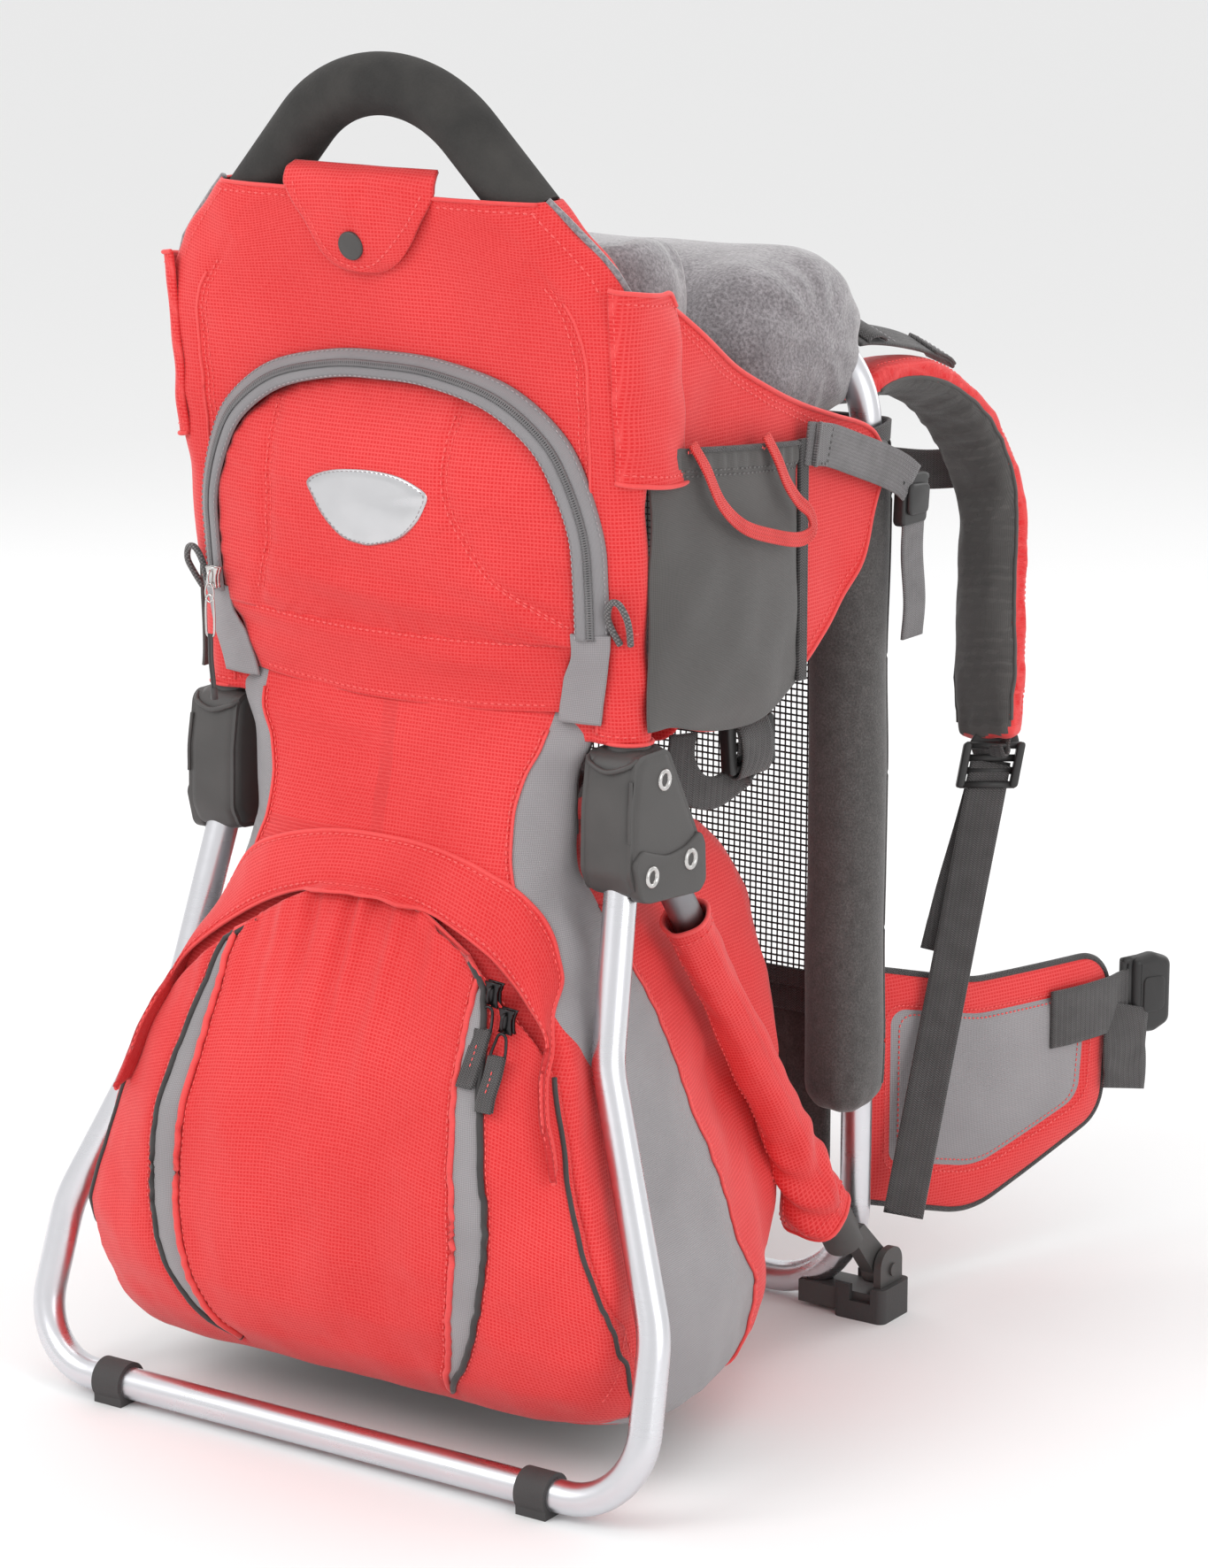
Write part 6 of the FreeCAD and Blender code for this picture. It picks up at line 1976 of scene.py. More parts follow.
def make_front_pillow():
    """Fleece cushion over the front of the cockpit, wrapped round the top bar."""
    outline = rounded([(-24, 549), (104, 558), (111, 628), (66, 661), (-16, 653), (-38, 608)],
        [28, 28, 36, 44, 36, 36], 4.0)
    centre = outline.mean(0)
    rings = []
    for x in np.concatenate([[-128, -124, -118], np.linspace(-108, 108, 17), [118, 124, 128]]):
        side = abs(x) / 128
        shrink = 0.42 + 0.58 * math.sqrt(max(0.0, 1 - max(0.0, (side - 0.7) / 0.305) ** 2.4))
        # the ends are gathered towards their lower rear edge
        p = centre + (outline - centre) * shrink
        rings.append(np.stack([np.full(len(p), x), p[:, 0], p[:, 1]], 1))
    item = solid_of_rings("fleece_pillow", rings, [FLEECE])
    puff(item, 8, 5.5, 3.5)

    def shape(p):
        out = fuzz(p, [60, 42, 42], 3.0) * 2.2
        end = smooth01(np.abs(p[:, 0]), 96, 128)
        ang = np.arctan2(p[:, 2] - 610, p[:, 1] - 36)
        out += end * np.sin(ang * 11 + np.sin(ang * 3)) * 1.3
        tuck = [(112, 96, 566), (124, 100, 574), (136, 92, 586)]
        for s in (1, -1):
            far, _ = near(p * [s, 1, 1], tuck)
            out -= 7 * np.exp(-(far / 8) ** 2)
            far, _ = near(p * [s, 1, 1], [(130, 78, 556), (134, 82, 572), (136, 84, 584)])
            out -= 5 * np.exp(-(far / 7) ** 2)
        far = np.abs(p[:, 2] - 562) + 0 * p[:, 0]
        out -= 1.6 * np.exp(-(far / 3) ** 2)
        return out
    press(item, shape)
    refine(item)
    settle(item, "back_frame", "fleece", ["front_pillow"], 0.7)
    # black webbing rim under the pillow's outer ends
    rim = Parts()
    for s in (1, -1):
        line = curve([(s * 60, 112, 549), (s * 118, 110, 550), (s * 139, 96, 551), (s * 143, 60, 549),
            (s * 140, 10, 548)], 3)
        rim.ribbon(line, (0, 0.1, 1), 12, 2.4)
    settle(stripe_uv(rim.make("pillow_rim", [BINDING])), "back_frame", "webbing")


def make_headrest():
    """U-shaped fleece bolster round the child's head."""
    path = [(106, -114, 636), (111, -128, 638), (112, -146, 638), (96, -163, 638), (50, -170, 638),
        (0, -171, 638)]
    half = curve(path, 6)
    line = np.concatenate([half[:-1], mirror(half)[::-1]])
    share = np.abs(np.linspace(-1, 1, len(line)))
    tall = 88 + 10 * share
    thick = 16 + 26 * smooth01(share, 0.45, 0.95)
    rings = pad_rings(line, (0, 0, 1), tall, thick, 2.6, 36, (1.0, 1.0))
    item = solid_of_rings("fleece_headrest", rings, [FLEECE])
    puff(item, 6, 5.0, 3.5)

    def shape(p):
        out = fuzz(p, 34.0, 8.0) * 1.8
        for s in (1, -1):
            far, _ = near(p * [s, 1, 1], curve([(124, -108, 680), (122, -118, 640), (126, -130, 600)], 6))
            out -= 3.2 * np.exp(-(far / 7) ** 2)
        return out
    press(item, shape)
    refine(item)
    settle(item, "rear_frame", "fleece", ["headrest"], 0.7)
    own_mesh(item)


def make_back_pad():
    line = [(128, 71, z) for z in np.linspace(150, 538, 40)]
    rings = pad_rings(line, (1, 0, 0), 40, 47, 3.4, 36, (0.7, 0.7))
    item = solid_of_rings("pad_sleeve_right", rings, [PAD_CLOTH])
    puff(item, 5, 5.0, 3.0)

    def shape(p):
        out = fuzz(p, [30, 30, 70], 5.0) * 0.9
        far = np.hypot(p[:, 0] - 152, p[:, 1] - 86)
        out -= 1.8 * np.exp(-(far / 3.4) ** 2)
        end = smooth01(p[:, 2], 160, 140) + smooth01(p[:, 2], 528, 545)
        ang = np.arctan2(p[:, 1] - 71, p[:, 0] - 128)
        return out + end * np.sin(ang * 9) * 0.8
    press(item, shape)
    refine(item)
    settle(item, "back_frame", "foam", ["back_pad_right"], 0.8)
    tree = tree_of(item)
    trim = Parts()
    line = [(200, 86.5, z) for z in np.linspace(150, 540, 110)]
    q, _ = drape(tree, line, (-1, 0, 0), 0.1)
    trim.tube(q, 0.9, 8)
    settle(trim.make("pad_seam_right", [PAD_CLOTH]), "back_frame", "foam")
    other = mirrored_object(item, "pad_sleeve_left")
    settle(other, "back_frame", "foam", ["back_pad_left"], 0.8)


def make_mesh_and_lumbar():
    """Open mesh between the pads, its bound edge, and the lumbar pad below."""
    net = Parts()
    edge, low, top = 105.0, 206.0, 544.0
    sag = lambda x, z: 89 + 2.2 * (1 - (x / edge) ** 2) * math.sin(PI * np.clip((z - low) / (top - low), 0,
        1))
    for x in np.linspace(-edge, edge, 53):
        zs = np.linspace(low, top, 14)
        net.tube([(x, sag(x, z), z) for z in zs], 0.62, 4, up=(0, 1, 0))
    for z in np.linspace(low, top, 85):
        xs = np.linspace(-edge, edge, 12)
        net.tube([(x, sag(x, z) - 0.2, z) for x in xs], 0.62, 4, up=(0, 1, 0))
    settle(net.make("mesh_net", [MESH_BLACK]), "back_frame", "mesh_fabric", ["back_mesh"])
    rim = Parts()
    for a, b in (((-edge, low), (edge, low)), ((edge, low), (edge, top)), ((edge, top), (-edge, top)),
            ((-edge, top), (-edge, low))):
        pts = [(a[0] + (b[0] - a[0]) * k, sag(a[0] + (b[0] - a[0]) * k, a[1] + (b[1] - a[1]) * k),
            a[1] + (b[1] - a[1]) * k) for k in np.linspace(0, 1, 30)]
        rim.ribbon(pts, (0, 0, 1) if a[1] == b[1] else (1, 0, 0), 12, 3)
    band = [(x, 91 + 3 * (1 - (x / 118) ** 2), 196) for x in np.linspace(-116, 116, 30)]
    rim.ribbon(band, (0, 0.02, 1), 26, 2.6)
    settle(stripe_uv(rim.make("mesh_rim", [BINDING]), (0, 2)), "back_frame", "webbing")
    outline = rounded([(-102, 66), (102, 66), (102, 190), (-102, 190)], 22, 3)
    item = quilted("lumbar_cushion", outline, [(x * 0.72, (z - 128) * 0.62 + 128) for x, z in outline],
                   lambda u, v, w: (u, 98 + w + 5 * (u / 100) ** 2 - 3, v), 8.5, [DARK, PAD_CLOTH], 2.2)
    settle(item, "back_frame", "dark_fabric", ["lumbar_pad"], 0.6)
    tree = tree_of(item)
    sewing = Parts()
    line = even([(x * 0.74, 200, (z - 128) * 0.65 + 128) for x, z in outline], 150, True)
    sewing.stitches(*drape(tree, line, (0, -1, 0), 0.1))
    settle(sewing.make("lumbar_sewing", [DARK_THREAD]), "back_frame")


def quilted(name, outline, inset, place, half, mats, groove=2.0, steps=(9, 12), power=3.4):
    """A padded plate: inner panel, sewn channel, border; same on both faces.

    mats are the inner panel's and the border's."""
    outline, inset = np.asarray(outline, float), np.asarray(inset, float)
    centre = inset.mean(0)
    first, second = steps
    plan = [(centre + (inset - centre) * s, s * 0.7) for s in np.linspace(0.03, 1, first)]
    plan += [(inset + (outline - inset) * s, 0.7 + 0.3 * s) for s in np.linspace(0, 1, second + 1)[1:]]
    edges = []
    for side in (1, -1):
        part = []
        for p, s in plan:
            swell = half * (1 - s ** power) ** 0.55
            far = (s - 0.7) / 0.05
            w = side * (swell - groove * math.exp(-far * far))
            if s >= 1:
                w = 0.0
            part.append(np.array([place(u, v, w) for u, v in p]))
        edges.append(part)
    rings = edges[0] + edges[1][-2::-1]
    zone = [0 if s < 0.7 else 1 for _, s in plan[:-1]]
    zone += zone[::-1]
    g = np.array(rings)
    uv = np.array([[(u / 1000, v / 1000) for u, v in p] for p, _ in plan]
        + [[(u / 1000, v / 1000) for u, v in p] for p, _ in plan[-2::-1]])
    zones = np.repeat(np.array(zone)[:, None], g.shape[1], 1)
    return solid_of_rings(name, g, mats, zone=zones, uv=uv)


def make_seat():
    """Child's seat: padded back, base and the wall between the legs."""
    back = rounded([(-94, 356), (94, 356), (94, 548), (-94, 548)], 26, 4)
    inset = [(x * 0.78, (z - 452) * 0.74 + 452) for x, z in back]
    item = quilted("seat_back", back, inset, lambda u, v, w: (u, -176 - 0.081 * (v - 362) - w, v), 6,
        [DARK, RED], 1.8)
    settle(item, "rear_frame", "dark_fabric", ["child_seat"], 0.5)
    base = rounded([(-84, -168), (84, -168), (80, -10), (-80, -10)], 24, 4)
    inset = [(x * 0.76, (y + 90) * 0.72 - 90) for x, y in base]
    item = quilted("seat_base", base, inset, lambda u, v, w: (u, v, 358 + w - 4 * math.cos(u / 60)), 7,
        [DARK, RED], 2.0)
    settle(item, "rear_frame", "dark_fabric", padded=0.5)
    front = rounded([(-56, 366), (56, 366), (54, 476), (-54, 476)], 22, 4)
    inset = [(x * 0.7, (z - 421) * 0.74 + 421) for x, z in front]
    item = quilted("seat_front", front, inset, lambda u, v, w: (u, 1 + 0.085 * (v - 362) + w, v), 5,
        [FLEECE, RED], 1.6)
    settle(item, "rear_frame", "fleece", padded=0.5)
    belts = Parts()
    for s in (1, -1):
        belts.ribbon(curve([(s * 38, -185, 545), (s * 40, -170, 520), (s * 40, -160, 470),
            (s * 34, -152, 430), (s * 16, -130, 400)], 4), (1, 0, 0), 25, 2)
        belts.ribbon(curve([(s * 84, -150, 372), (s * 50, -140, 384), (s * 16, -128, 392)], 4), (0, 0.3, 1),
            25, 2)
    belts.ribbon(curve([(0, -40, 367), (0, -80, 372), (0, -112, 384), (0, -124, 392)], 4), (1, 0, 0), 25, 2)
    settle(stripe_uv(belts.make("harness_webbing", [WEB_DARK]), (0, 2)), "rear_frame", "webbing",
        ["child_harness"])
    buckle = Parts()
    outline = rounded([(-22, 376), (22, 376), (19, 412), (-19, 412)], 8, 1.6)
    buckle.rings(plate_rings(outline, lambda u, v, w: (u, -123 + w - 0.25 * (v - 394), v), -6, 6, 3, 4))
    button = rounded([(-9, 384), (9, 384), (9, 402), (-9, 402)], 5, 1.4)
    buckle.rings(plate_rings(button, lambda u, v, w: (u, -123 + w - 0.25 * (v - 394), v), 5, 7.6, 1.2, 3))
    settle(buckle.make("harness_buckle", [BLACK_PLASTIC]), "rear_frame", "dark_plastic")


make_front_pillow()
make_headrest()
make_back_pad()
make_mesh_and_lumbar()
make_seat()


# ---------------------------------------------------------------- shoulder straps

STRAP_ACROSS = unit(np.array([0.965, -0.179, 0.191]))


def strap_spine():
    arc = [(155 + 84 * math.cos(math.radians(t)), 488 + 84 * math.sin(math.radians(t)))
        for t in np.linspace(112, -15, 30)]
    t = math.radians(-15)
    way = (math.sin(t), -math.cos(t))
    last = arc[-1]
    arc += [(last[0] + way[0] * s, last[1] + way[1] * s) for s in np.linspace(0, 120, 20)[1:]]
    points = []
    for y, z in arc:
        # the strap's plane leans outward towards its lower end
        x = 88 + (0.179 * (y - 90) - 0.191 * (z - 555)) / 0.965
        points.append((x, y, z))
    return even(np.array(points), 90)


def make_shoulder_strap():
    spine = strap_spine()
    wide = np.full(len(spine), 53.0)
    share = np.linspace(0, 1, len(spine))
    wide -= 7 * smooth01(share, 0.88, 1.0)
    rings = pad_rings(spine, STRAP_ACROSS, wide, 20.0, 3.4, 44, (0.85, 0.8))
    item = solid_of_rings("shoulder_pad_right", rings, [RED, DARK])
    puff(item, 5, 5.0, 3.0)
    way = unit(np.gradient(spine, axis=0))
    outward = unit(np.cross(way, STRAP_ACROSS))
    if outward[40, 1] < 0:
        outward = -outward
    tree_points = spine

    def local(p):
        d = ((p[:, None] - tree_points[None]) ** 2).sum(-1)
        i = d.argmin(1)
        rel = p - tree_points[i]
        return (rel * outward[i]).sum(-1), (rel @ STRAP_ACROSS), i / (len(spine) - 1.0)

    def shape(p):
        height, side, along = local(p)
        out = fuzz(p, 30.0, 5.0) * 1.0
        out -= 2.0 * np.exp(-((np.abs(side) - 20) / 2.6) ** 2) * (height > 2)
        low = smooth01(along, 0.86, 1.0)
        out += low * np.sin(side / 3.0 + along * 9) * 1.0
        out += np.sin(along * 120 + side / 14) * smooth01(along, 0.1, 0.35) * smooth01(along, 0.6,
            0.4) * (height < 0) * 0.9
        return out
    press(item, shape)
    refine(item)
    co = points_of(item)
    height, side, along = local(co)
    faces = item.data.polygons
    item.data.materials.clear()
    item.data.materials.append(RED)
    item.data.materials.append(DARK)
    zone = [1 if np.mean(height[list(f.vertices)]) < -3.5 else 0 for f in faces]
    faces.foreach_set("material_index", zone)
    layer = item.data.uv_layers.get("UVMap") or item.data.uv_layers.new(name="UVMap")
    uv = np.zeros((len(item.data.loops), 2))
    index = np.array([loop.vertex_index for loop in item.data.loops])
    uv[:, 0], uv[:, 1] = side[index] / 1000, along[index] * 0.46
    layer.data.foreach_set("uv", uv.ravel())
    settle(item, "back_frame", "red_fabric", ["shoulder_strap_right"], 0.8)
    tree = tree_of(item)
    sewing, seam = Parts(), Parts()
    for s in (-1, 1):
        line = spine[3:-2] + STRAP_ACROSS * s * 20.5
        sewing.stitches(*drape(tree, line + outward[3:-2] * 40, -outward[3:-2], 0.15, 1), 3.4, 2.4)
        line = spine[1:-1] + STRAP_ACROSS * (s * (wide[1:-1] / 2 + 12))[:, None] + outward[1:-1] * -3.5
        q, _ = drape(tree, line, -STRAP_ACROSS * s, 0.1, 1)
        seam.tube(q, 1.2, 8)
    settle(sewing.make("shoulder_sewing_right", [RED_THREAD]), "back_frame")
    settle(seam.make("shoulder_piping_right", [DARK]), "back_frame", "dark_fabric")
    return item, spine, outward


def make_strap_hardware(pad, spine, outward):
    """Webbing along the pad, the ladder lock at its end and the strap to the foot."""
    tree = tree_of(pad)
    web = Parts()
    line = spine[34:84]
    q, _ = drape(tree, line + outward[34:84] * 40, -outward[34:84], 1.0, 1)
    q[1:-1] = q[1:-1] * 0.5 + (q[:-2] + q[2:]) * 0.25
    web.ribbon(q, STRAP_ACROSS, 25, 1.8)
    end = spine[-1] + outward[-1] * 6
    way = unit(spine[-1] - spine[-3])
    tail = curve([q[-1], q[-1] + way * 12 + outward[-1] * 0.5, end + way * 8, end + way * 15,
        end + way * 18 - outward[-1] * 4, end + way * 12 - outward[-1] * 8], 1.6)
    web.ribbon(tail, STRAP_ACROSS, 25, 1.8)
    lock = np.array([155.8, 197.5, 328.0])
    across = unit(np.array([0.83, 0.56, 0.0]))
    low = np.array([150.0, 110.0, 62.0])
    down = unit(low - lock)
    face = unit(np.cross(across, down))
    if face[1] < 0:
        face = -face
    strap = curve([lock + face * 3 - down * 2, lock + down * 8 + face * 2, lock + down * 30,
        lock * 0.5 + low * 0.5 + face * 3.0, low - down * 8, low], 4)
    web.ribbon(strap, across, 25, 1.8)
    # free tail that hangs from the ladder lock
    tail = curve([lock + face * 6 - down * 4, lock + face * 8 + down * 10,
        lock + face * 10 + down * 40 - across * 2, lock + face * 8 + down * 80 - across * 6,
        lock + face * 11 + down * 118 - across * 8], 3)
    web.ribbon(tail, across, 25, 1.7)
    web.ribbon(tail[-7:] + face * 1.7, across, 25, 1.6)
    settle(stripe_uv(web.make("strap_web_right", [WEB_DARK]), (0, 2)), "back_frame", "webbing",
        ["strap_webbing_right"])
    body = Parts()

    def place(a, b, c):
        return lock + across * a - down * b + face * c
    for a in (-16.5, 16.5):
        outline = rounded([(a - 2.6, -14), (a + 2.6, -14), (a + 2.6, 15), (a - 2.6, 15)], 2.2, 1.0)
        body.rings(plate_rings(outline, place, -3.5, 6.5, 1.5, 3))
    for b, c in ((-12, 0), (-3, 3.5), (5, 3.5), (13, 1)):
        body.tube([place(-17, b, c), place(17, b, c)], 2.3, 12, up=tuple(face))
    lip = rounded([(-17, 11), (17, 11), (13, 21), (-13, 21)], 4, 1.4)
    body.rings(plate_rings(lip, place, 3, 6.4, 1.2, 3))
    settle(body.make("strap_ladder_right", [BLACK_PLASTIC]), "back_frame", "dark_plastic",
        ["strap_adjuster_right"])


def make_lifters():
    """Load lifter straps from the frame's top corners to the shoulder pads."""
    web, sewing = Parts(), Parts()
    for s in (1, -1):
        tilt = (0.9, 0, -0.42 * s)
        up = unit(np.array([0.42 * s, 0.1, 0.9]))
        line = curve([(s * 99, 112, 602), (s * 100, 124, 601.5), (s * 102, 146, 598), (s * 104.5, 172, 592),
            (s * 107, 190, 586), (s * 108, 202, 581), (s * 108.5, 209, 575)], 3)
        web.ribbon(line, tilt, 25, 2.2)
        web.ribbon(line[-9:] + up * 2.1, tilt, 25, 2.0)
        roll = curve([line[2] + up * 1.5, line[3] + up * 4.5, line[5] + up * 5.5, line[7] + up * 4.2,
            line[8] + up * 1.8], 1.5)
        web.ribbon(roll, tilt, 25.6, 2.2)
        across = unit(np.array(tilt, float))
        for i, lift in ((10, 1.25), (12, 1.25), (-4, 3.3), (-7, 3.3)):
            row = np.array([line[i] + across * k + up * lift for k in np.linspace(-10, 10, 8)])
            sewing.stitches(row, np.array([up] * 8), 3.2, 2.3)
    settle(stripe_uv(web.make("lifter_webbing", [WEB_DARK]), (0, 1)), "back_frame", "webbing",
        ["load_lifters"])
    settle(sewing.make("lifter_sewing", [GREY_THREAD]), "back_frame")


def buckle_frame(parts, place, wide, tall, deep):
    """Side-release socket: a domed body with a raised ridge on its face."""
    half = wide / 2
    outline = rounded([(-half, -tall * 0.42), (half, -tall * 0.42), (half * 1.06, tall * 0.1),
        (half * 0.86, tall * 0.46), (-half * 0.86, tall * 0.46), (-half * 1.06, tall * 0.1)],
        [4, 4, 10, 7, 7, 10], 1.4)
    parts.rings(plate_rings(outline, place, -deep / 2, deep / 2, deep * 0.36, 4))
    ridge = rounded([(-half * 0.5, -tall * 0.24), (half * 0.5, -tall * 0.24), (half * 0.44, tall * 0.26),
        (-half * 0.44, tall * 0.26)], 4, 1.4)
    parts.rings(plate_rings(ridge, place, deep * 0.35, deep * 0.5 + 1.2, 1.0, 3))


def make_sternum():
    web = Parts()
    for s in (1, -1):
        line = curve([(s * 124, 250.5, 506), (s * 108, 250, 503.5), (s * 94, 245, 501.5),
            (s * 74, 241, 500), (s * 30, 240.5, 500), (s * 20, 240.5, 500)], 3)
        web.ribbon(line, (0, 0, 1), 25, 1.8)
        for x in (46, 52):
            loop = curve([(s * x, 238.6, 486.5), (s * x, 243.4, 486.5), (s * x, 243.4, 513.5),
                (s * x, 238.6, 513.5)], 2.5, closed=True)
            web.ribbon(np.concatenate([loop, loop[:2]]), (1, 0, 0), 4.5, 1.2)
    settle(stripe_uv(web.make("sternum_web", [WEB_DARK]), (0, 2)), "back_frame", "webbing",
        ["sternum_webbing"])
    sockets, clips = Parts(), Parts()
    buckle_frame(sockets, lambda u, v, w: (10.5 - v, 240 + w, 500 + u), 33, 35, 11)
    settle(sockets.make("sternum_socket", [BLACK_PLASTIC]), "back_frame", "dark_plastic",
        ["sternum_buckle_socket"])
    outline = rounded([(-26.5, 486.5), (-9, 488), (-9, 512), (-26.5, 513.5)], [3, 4, 4, 3], 1.2)
    clips.rings(plate_rings(outline, lambda u, v, w: (u, 240 + w, v), -4.2, 4.2, 1.8, 3))
    for z in (492, 508):
        clips.tube([(-10, 240, z), (-7, 240, z)], 2.4, 12, up=(0, 1, 0))
    settle(clips.make("sternum_clip", [BLACK_PLASTIC]), "back_frame", "dark_plastic",
        ["sternum_buckle_clip"])


# ---------------------------------------------------------------- hip wings

WING_ROOT = np.array([112.0, 112.0, 0.0])
WING_WAY = np.array([math.cos(math.radians(70)), math.sin(math.radians(70)), 0.0])
WING_OUT = np.array([math.sin(math.radians(70)), -math.cos(math.radians(70)), 0.0])


def wing_point(s, z, w):
    bow = 5.0 * math.sin(PI * min(1, max(0, s / 213)))
    return WING_ROOT + WING_WAY * s + WING_OUT * (w + bow) + np.array([0, 0, z])


def make_hip_wing():
    outline = rounded([(3, 60), (90, 37), (203, 81), (210, 188), (90, 189), (3, 211)],
        [12, 60, 26, 26, 80, 12], 3.5)
    centre = outline.mean(0)
    inset = centre + (outline - centre) * [0.78, 0.66]
    item = quilted("wing_pad_right", outline, inset, wing_point, 7.5, [GUSSET, RED], 2.4, (10, 12), 3.6)
    shade_smooth(item)
    settle(item, "hip_wing_right", "red_fabric", ["hip_wing_right"], 0.8)
    tree = tree_of(item)
    sewing, trim = Parts(), Parts()
    for scale in (1.07, 0.93):
        line = [wing_point(s, z, 30) for s, z in even(np.array([(a, b, 0) for a,
            b in centre + (inset - centre) * scale]), 170, True)[:, :2]]
        sewing.stitches(*drape(tree, np.array(line), -WING_OUT, 0.15), 3.4, 2.4)
    settle(sewing.make("wing_sewing_right", [RED_THREAD]), "hip_wing_right")
    edge = np.array([wing_point(s, z, 0) for s, z in outline])
    edge = even(np.concatenate([edge, edge[:1]]), 220)
    trim.tube(edge, 2.2, 10)
    settle(stripe_uv(trim.make("wing_binding_right", [BINDING]), (1, 2)), "hip_wing_right", "webbing")
    web = Parts()
    line = [wing_point(s, 154, w) for s, w in ((150, 8.5), (168, 9.5), (190, 8.5), (205, 6.5), (216, 3),
        (228, 0.5), (246, -0.5))]
    web.ribbon(curve(line, 3), (0, 0, 1), 38, 2.2)
    hang = [wing_point(s, z, w) for s, z, w in ((222, 150, 5), (218, 136, 8), (216, 122, 9.5),
        (218, 108, 8.5), (216, 96, 9.5))]
    web.ribbon(curve(hang, 3), WING_WAY * 1.0, 36, 2.0)
    item = web.make("wing_webbing_right", [WEB_DARK])
    stripe_uv(item, (1, 2))
    settle(item, "hip_wing_right", "webbing")
    return item


def shade_smooth(item):
    """Smooth shading only: the wing is stiff foam board between two fabrics."""
    item.data.polygons.foreach_set("use_smooth", np.ones(len(item.data.polygons), bool))


def make_hip_buckles():
    for name, body, s in (("hip_socket", "hip_wing_right", 1), ("hip_clip", "hip_wing_left", -1)):
        def place(u, v, w):
            p = wing_point(0, 154 + u, w) + WING_WAY * (243 + v)
            return p * [s, 1, 1]
        parts = Parts()
        if s > 0:
            buckle_frame(parts, place, 50, 36, 13)
            for v in (-16, -21):
                parts.tube([place(-24, v, 0), place(24, v, 0)], 2.6, 12, up=tuple(WING_OUT))
            for u in (-24, 24):
                parts.tube([place(u, -22, 0), place(u, -10, 0)], 2.6, 12, up=tuple(WING_OUT))
        else:
            outline = rounded([(-24, -22), (24, -22), (24, -4), (-24, -4)], 3, 1.4)
            parts.rings(plate_rings(outline, place, -5, 5, 2, 3))
            for u in (-18, 0, 18):
                parts.tube([place(u, -6, 0), place(u * 0.92, 16 if u else 13, 0)], 3.2, 12, up=(0, 0, 1))
        item = parts.make(name, [BLACK_PLASTIC])
        settle(item, body, "dark_plastic", ["hip_buckle_socket" if s > 0 else "hip_buckle_clip"])


def make_cam_buckles():
    """Webbing locks on the outer edge of each back pad."""
    parts = Parts()
    for s in (1, -1):
        def place(u, v, w):
            return np.array([s * (161.5 + w), 85 + u, 514 + v])
        outline = rounded([(-15, -16), (13, -16), (15, 14), (-13, 16)], 4, 1.4)
        parts.rings(plate_rings(outline, place, -4.5, 3.5, 1.8, 4))
        lever = rounded([(-12, -9), (10, -10), (12, 8), (-11, 10)], 4, 1.4)
        parts.rings(plate_rings(lever, place, 3.0, 6.4, 1.5, 3))
        parts.tube([place(-15, 11, 1), place(15, 11, 1)], 2.4, 12, up=(1, 0, 0))
    settle(parts.make("cam_locks", [BLACK_PLASTIC]), "back_frame", "dark_plastic", ["cam_buckles"])
    web = Parts()
    for s in (1, -1):
        tail = curve([(s * 164, 83, 500), (s * 163, 84, 480), (s * 164, 86, 452), (s * 162.5, 86, 430)], 3)
        web.ribbon(tail, (0, 1, 0), 24, 1.8)
    settle(stripe_uv(web.make("cam_webbing", [WEB_GREY]), (1, 2)), "back_frame", "webbing")


pad, spine, outward = make_shoulder_strap()
make_strap_hardware(pad, spine, outward)
make_lifters()
make_sternum()
make_hip_wing()
make_hip_buckles()
make_cam_buckles()


# ---------------------------------------------------------------- left side

LEFT_NODES = {"side_cloth_right": "side_panel_left", "side_pouch_right": "side_pocket_left",
    "sleeve_right": "strut_sleeve_left",
              "shoulder_pad_right": "shoulder_strap_left", "strap_web_right": "strap_webbing_left",
    "strap_ladder_right": "strap_adjuster_left", "wing_pad_right": "hip_wing_left"}


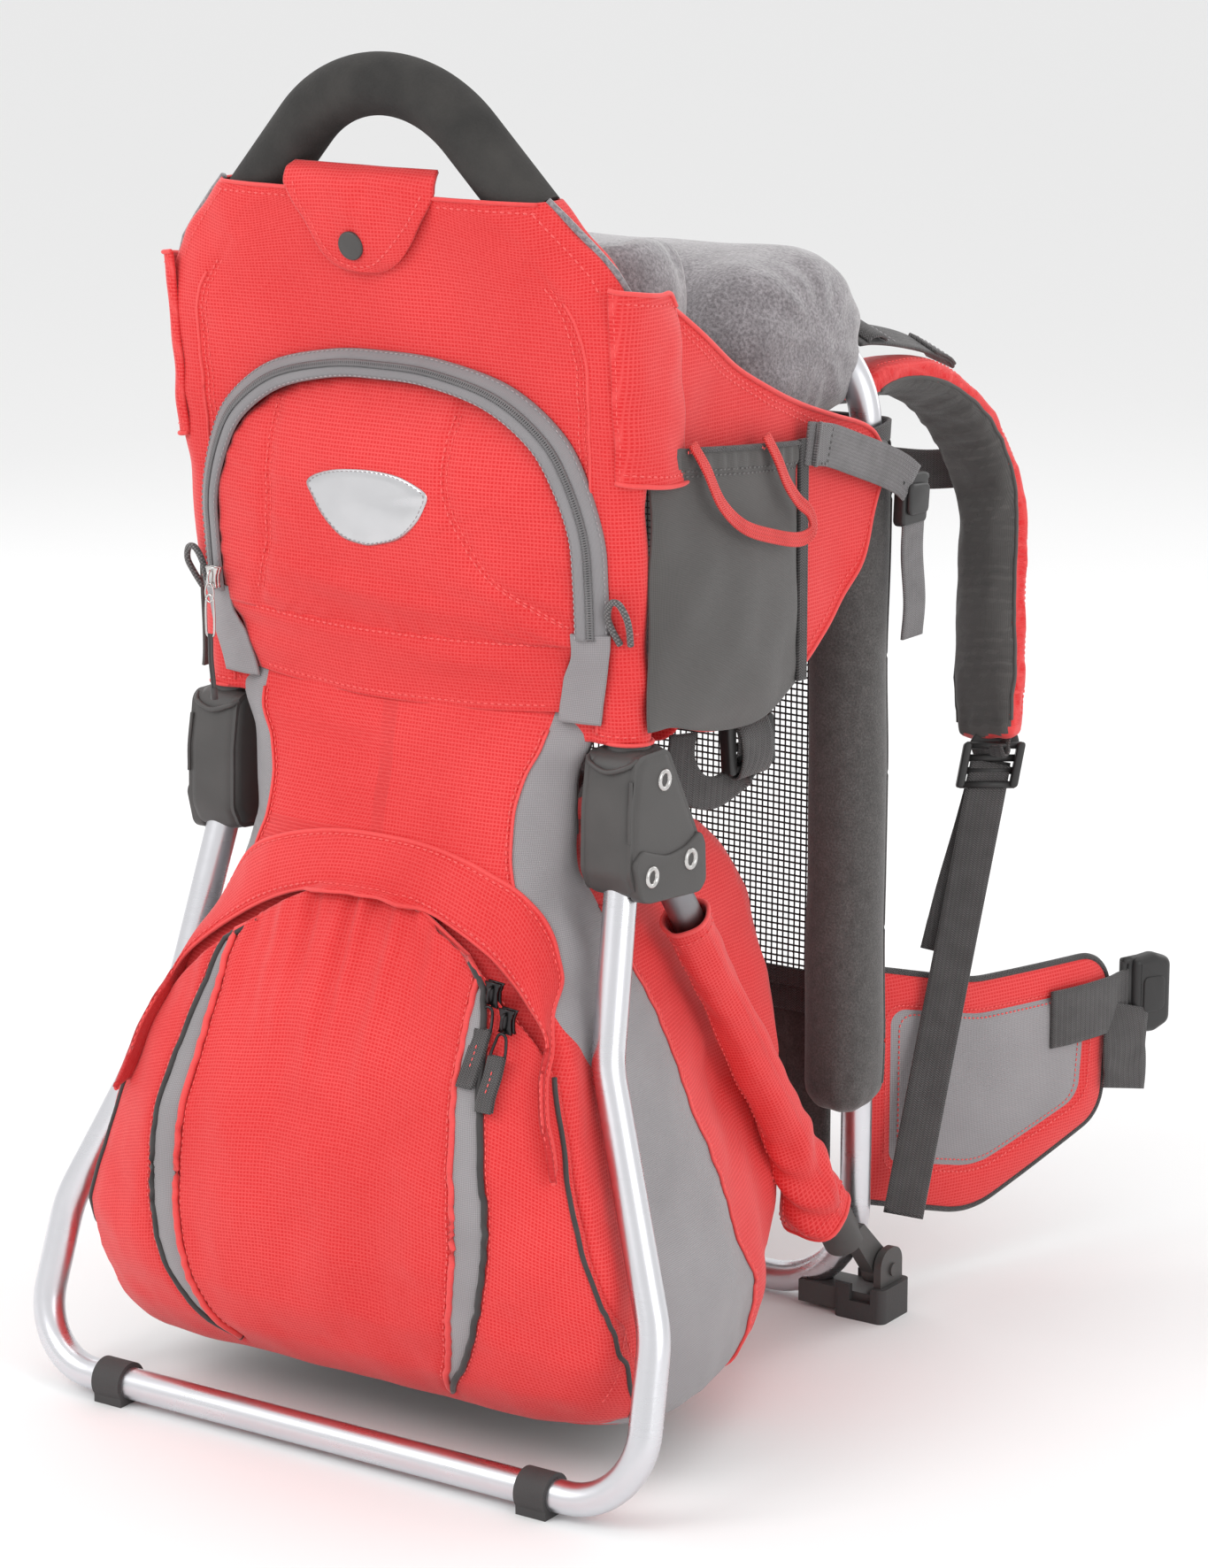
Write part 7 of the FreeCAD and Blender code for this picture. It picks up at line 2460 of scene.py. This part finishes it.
def mirror_sides():
    """Copies every finished right-hand piece that has no left-hand twin."""
    for item in list(bpy.context.scene.objects):
        if item.type != "MESH" or "_right" not in item.name or "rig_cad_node" in item:
            continue
        name = item.name.replace("_right", "_left")
        if name in bpy.data.objects:
            continue
        body = item["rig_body"].replace("_right", "_left")
        copy = mirrored_object(item, name)
        for modifier in item.modifiers:
            twin = copy.modifiers.new(modifier.name, modifier.type)
            if modifier.type == "EDGE_SPLIT":
                twin.split_angle = modifier.split_angle
        node = LEFT_NODES.get(item.name)
        settle(copy, body, item.get("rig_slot"), [node] if node else (), FILLS.get(item.name))


mirror_sides()


# ---------------------------------------------------------------- carried-over parts

CAD_LOOKS = {
    "rear_frame_tube": (GREY_TUBE, "grey_tube"), "stand_tube": (SILVER, "silver_tube"),
    "back_frame_tube": (SILVER, "silver_tube"), "back_frame_top_tube": (SILVER, "silver_tube"),
    "handle_grip": (FOAM, "foam"), "housing_rivets": (STEEL, "rivet_steel"),
    "housing_outer_right": (PLASTIC, "dark_plastic"), "housing_outer_left": (PLASTIC, "dark_plastic"),
    "housing_inner_right": (PLASTIC, "dark_plastic"), "housing_inner_left": (PLASTIC, "dark_plastic"),
    "strut_foot_right": (PLASTIC, "dark_plastic"), "strut_foot_left": (PLASTIC, "dark_plastic"),
    "stand_glide_right": (RUBBER, "foot_rubber"), "stand_glide_left": (RUBBER, "foot_rubber"),
    "foot_bracket_right": (PLASTIC, "dark_plastic"), "foot_bracket_left": (PLASTIC, "dark_plastic"),
    "foot_boot_right": (RUBBER, "foot_rubber"), "foot_boot_left": (RUBBER, "foot_rubber"),
}


def dress_cad():
    """Better finishes on the frame parts whose CAD shape is already right."""
    for name, item in frame["nodes"].items():
        look = CAD_LOOKS.get(name)
        if item.hide_render:
            continue
        mat = look[0] if look else DARK
        item.data.materials.clear()
        item.data.materials.append(mat)
        item.data.polygons.foreach_set("material_index", np.zeros(len(item.data.polygons), np.int32))
        if look:
            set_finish(item, look[1])
        smooth = item.modifiers.new("shade", "EDGE_SPLIT")
        smooth.split_angle = math.radians(35)
        item.data.polygons.foreach_set("use_smooth", np.ones(len(item.data.polygons), bool))


dress_cad()
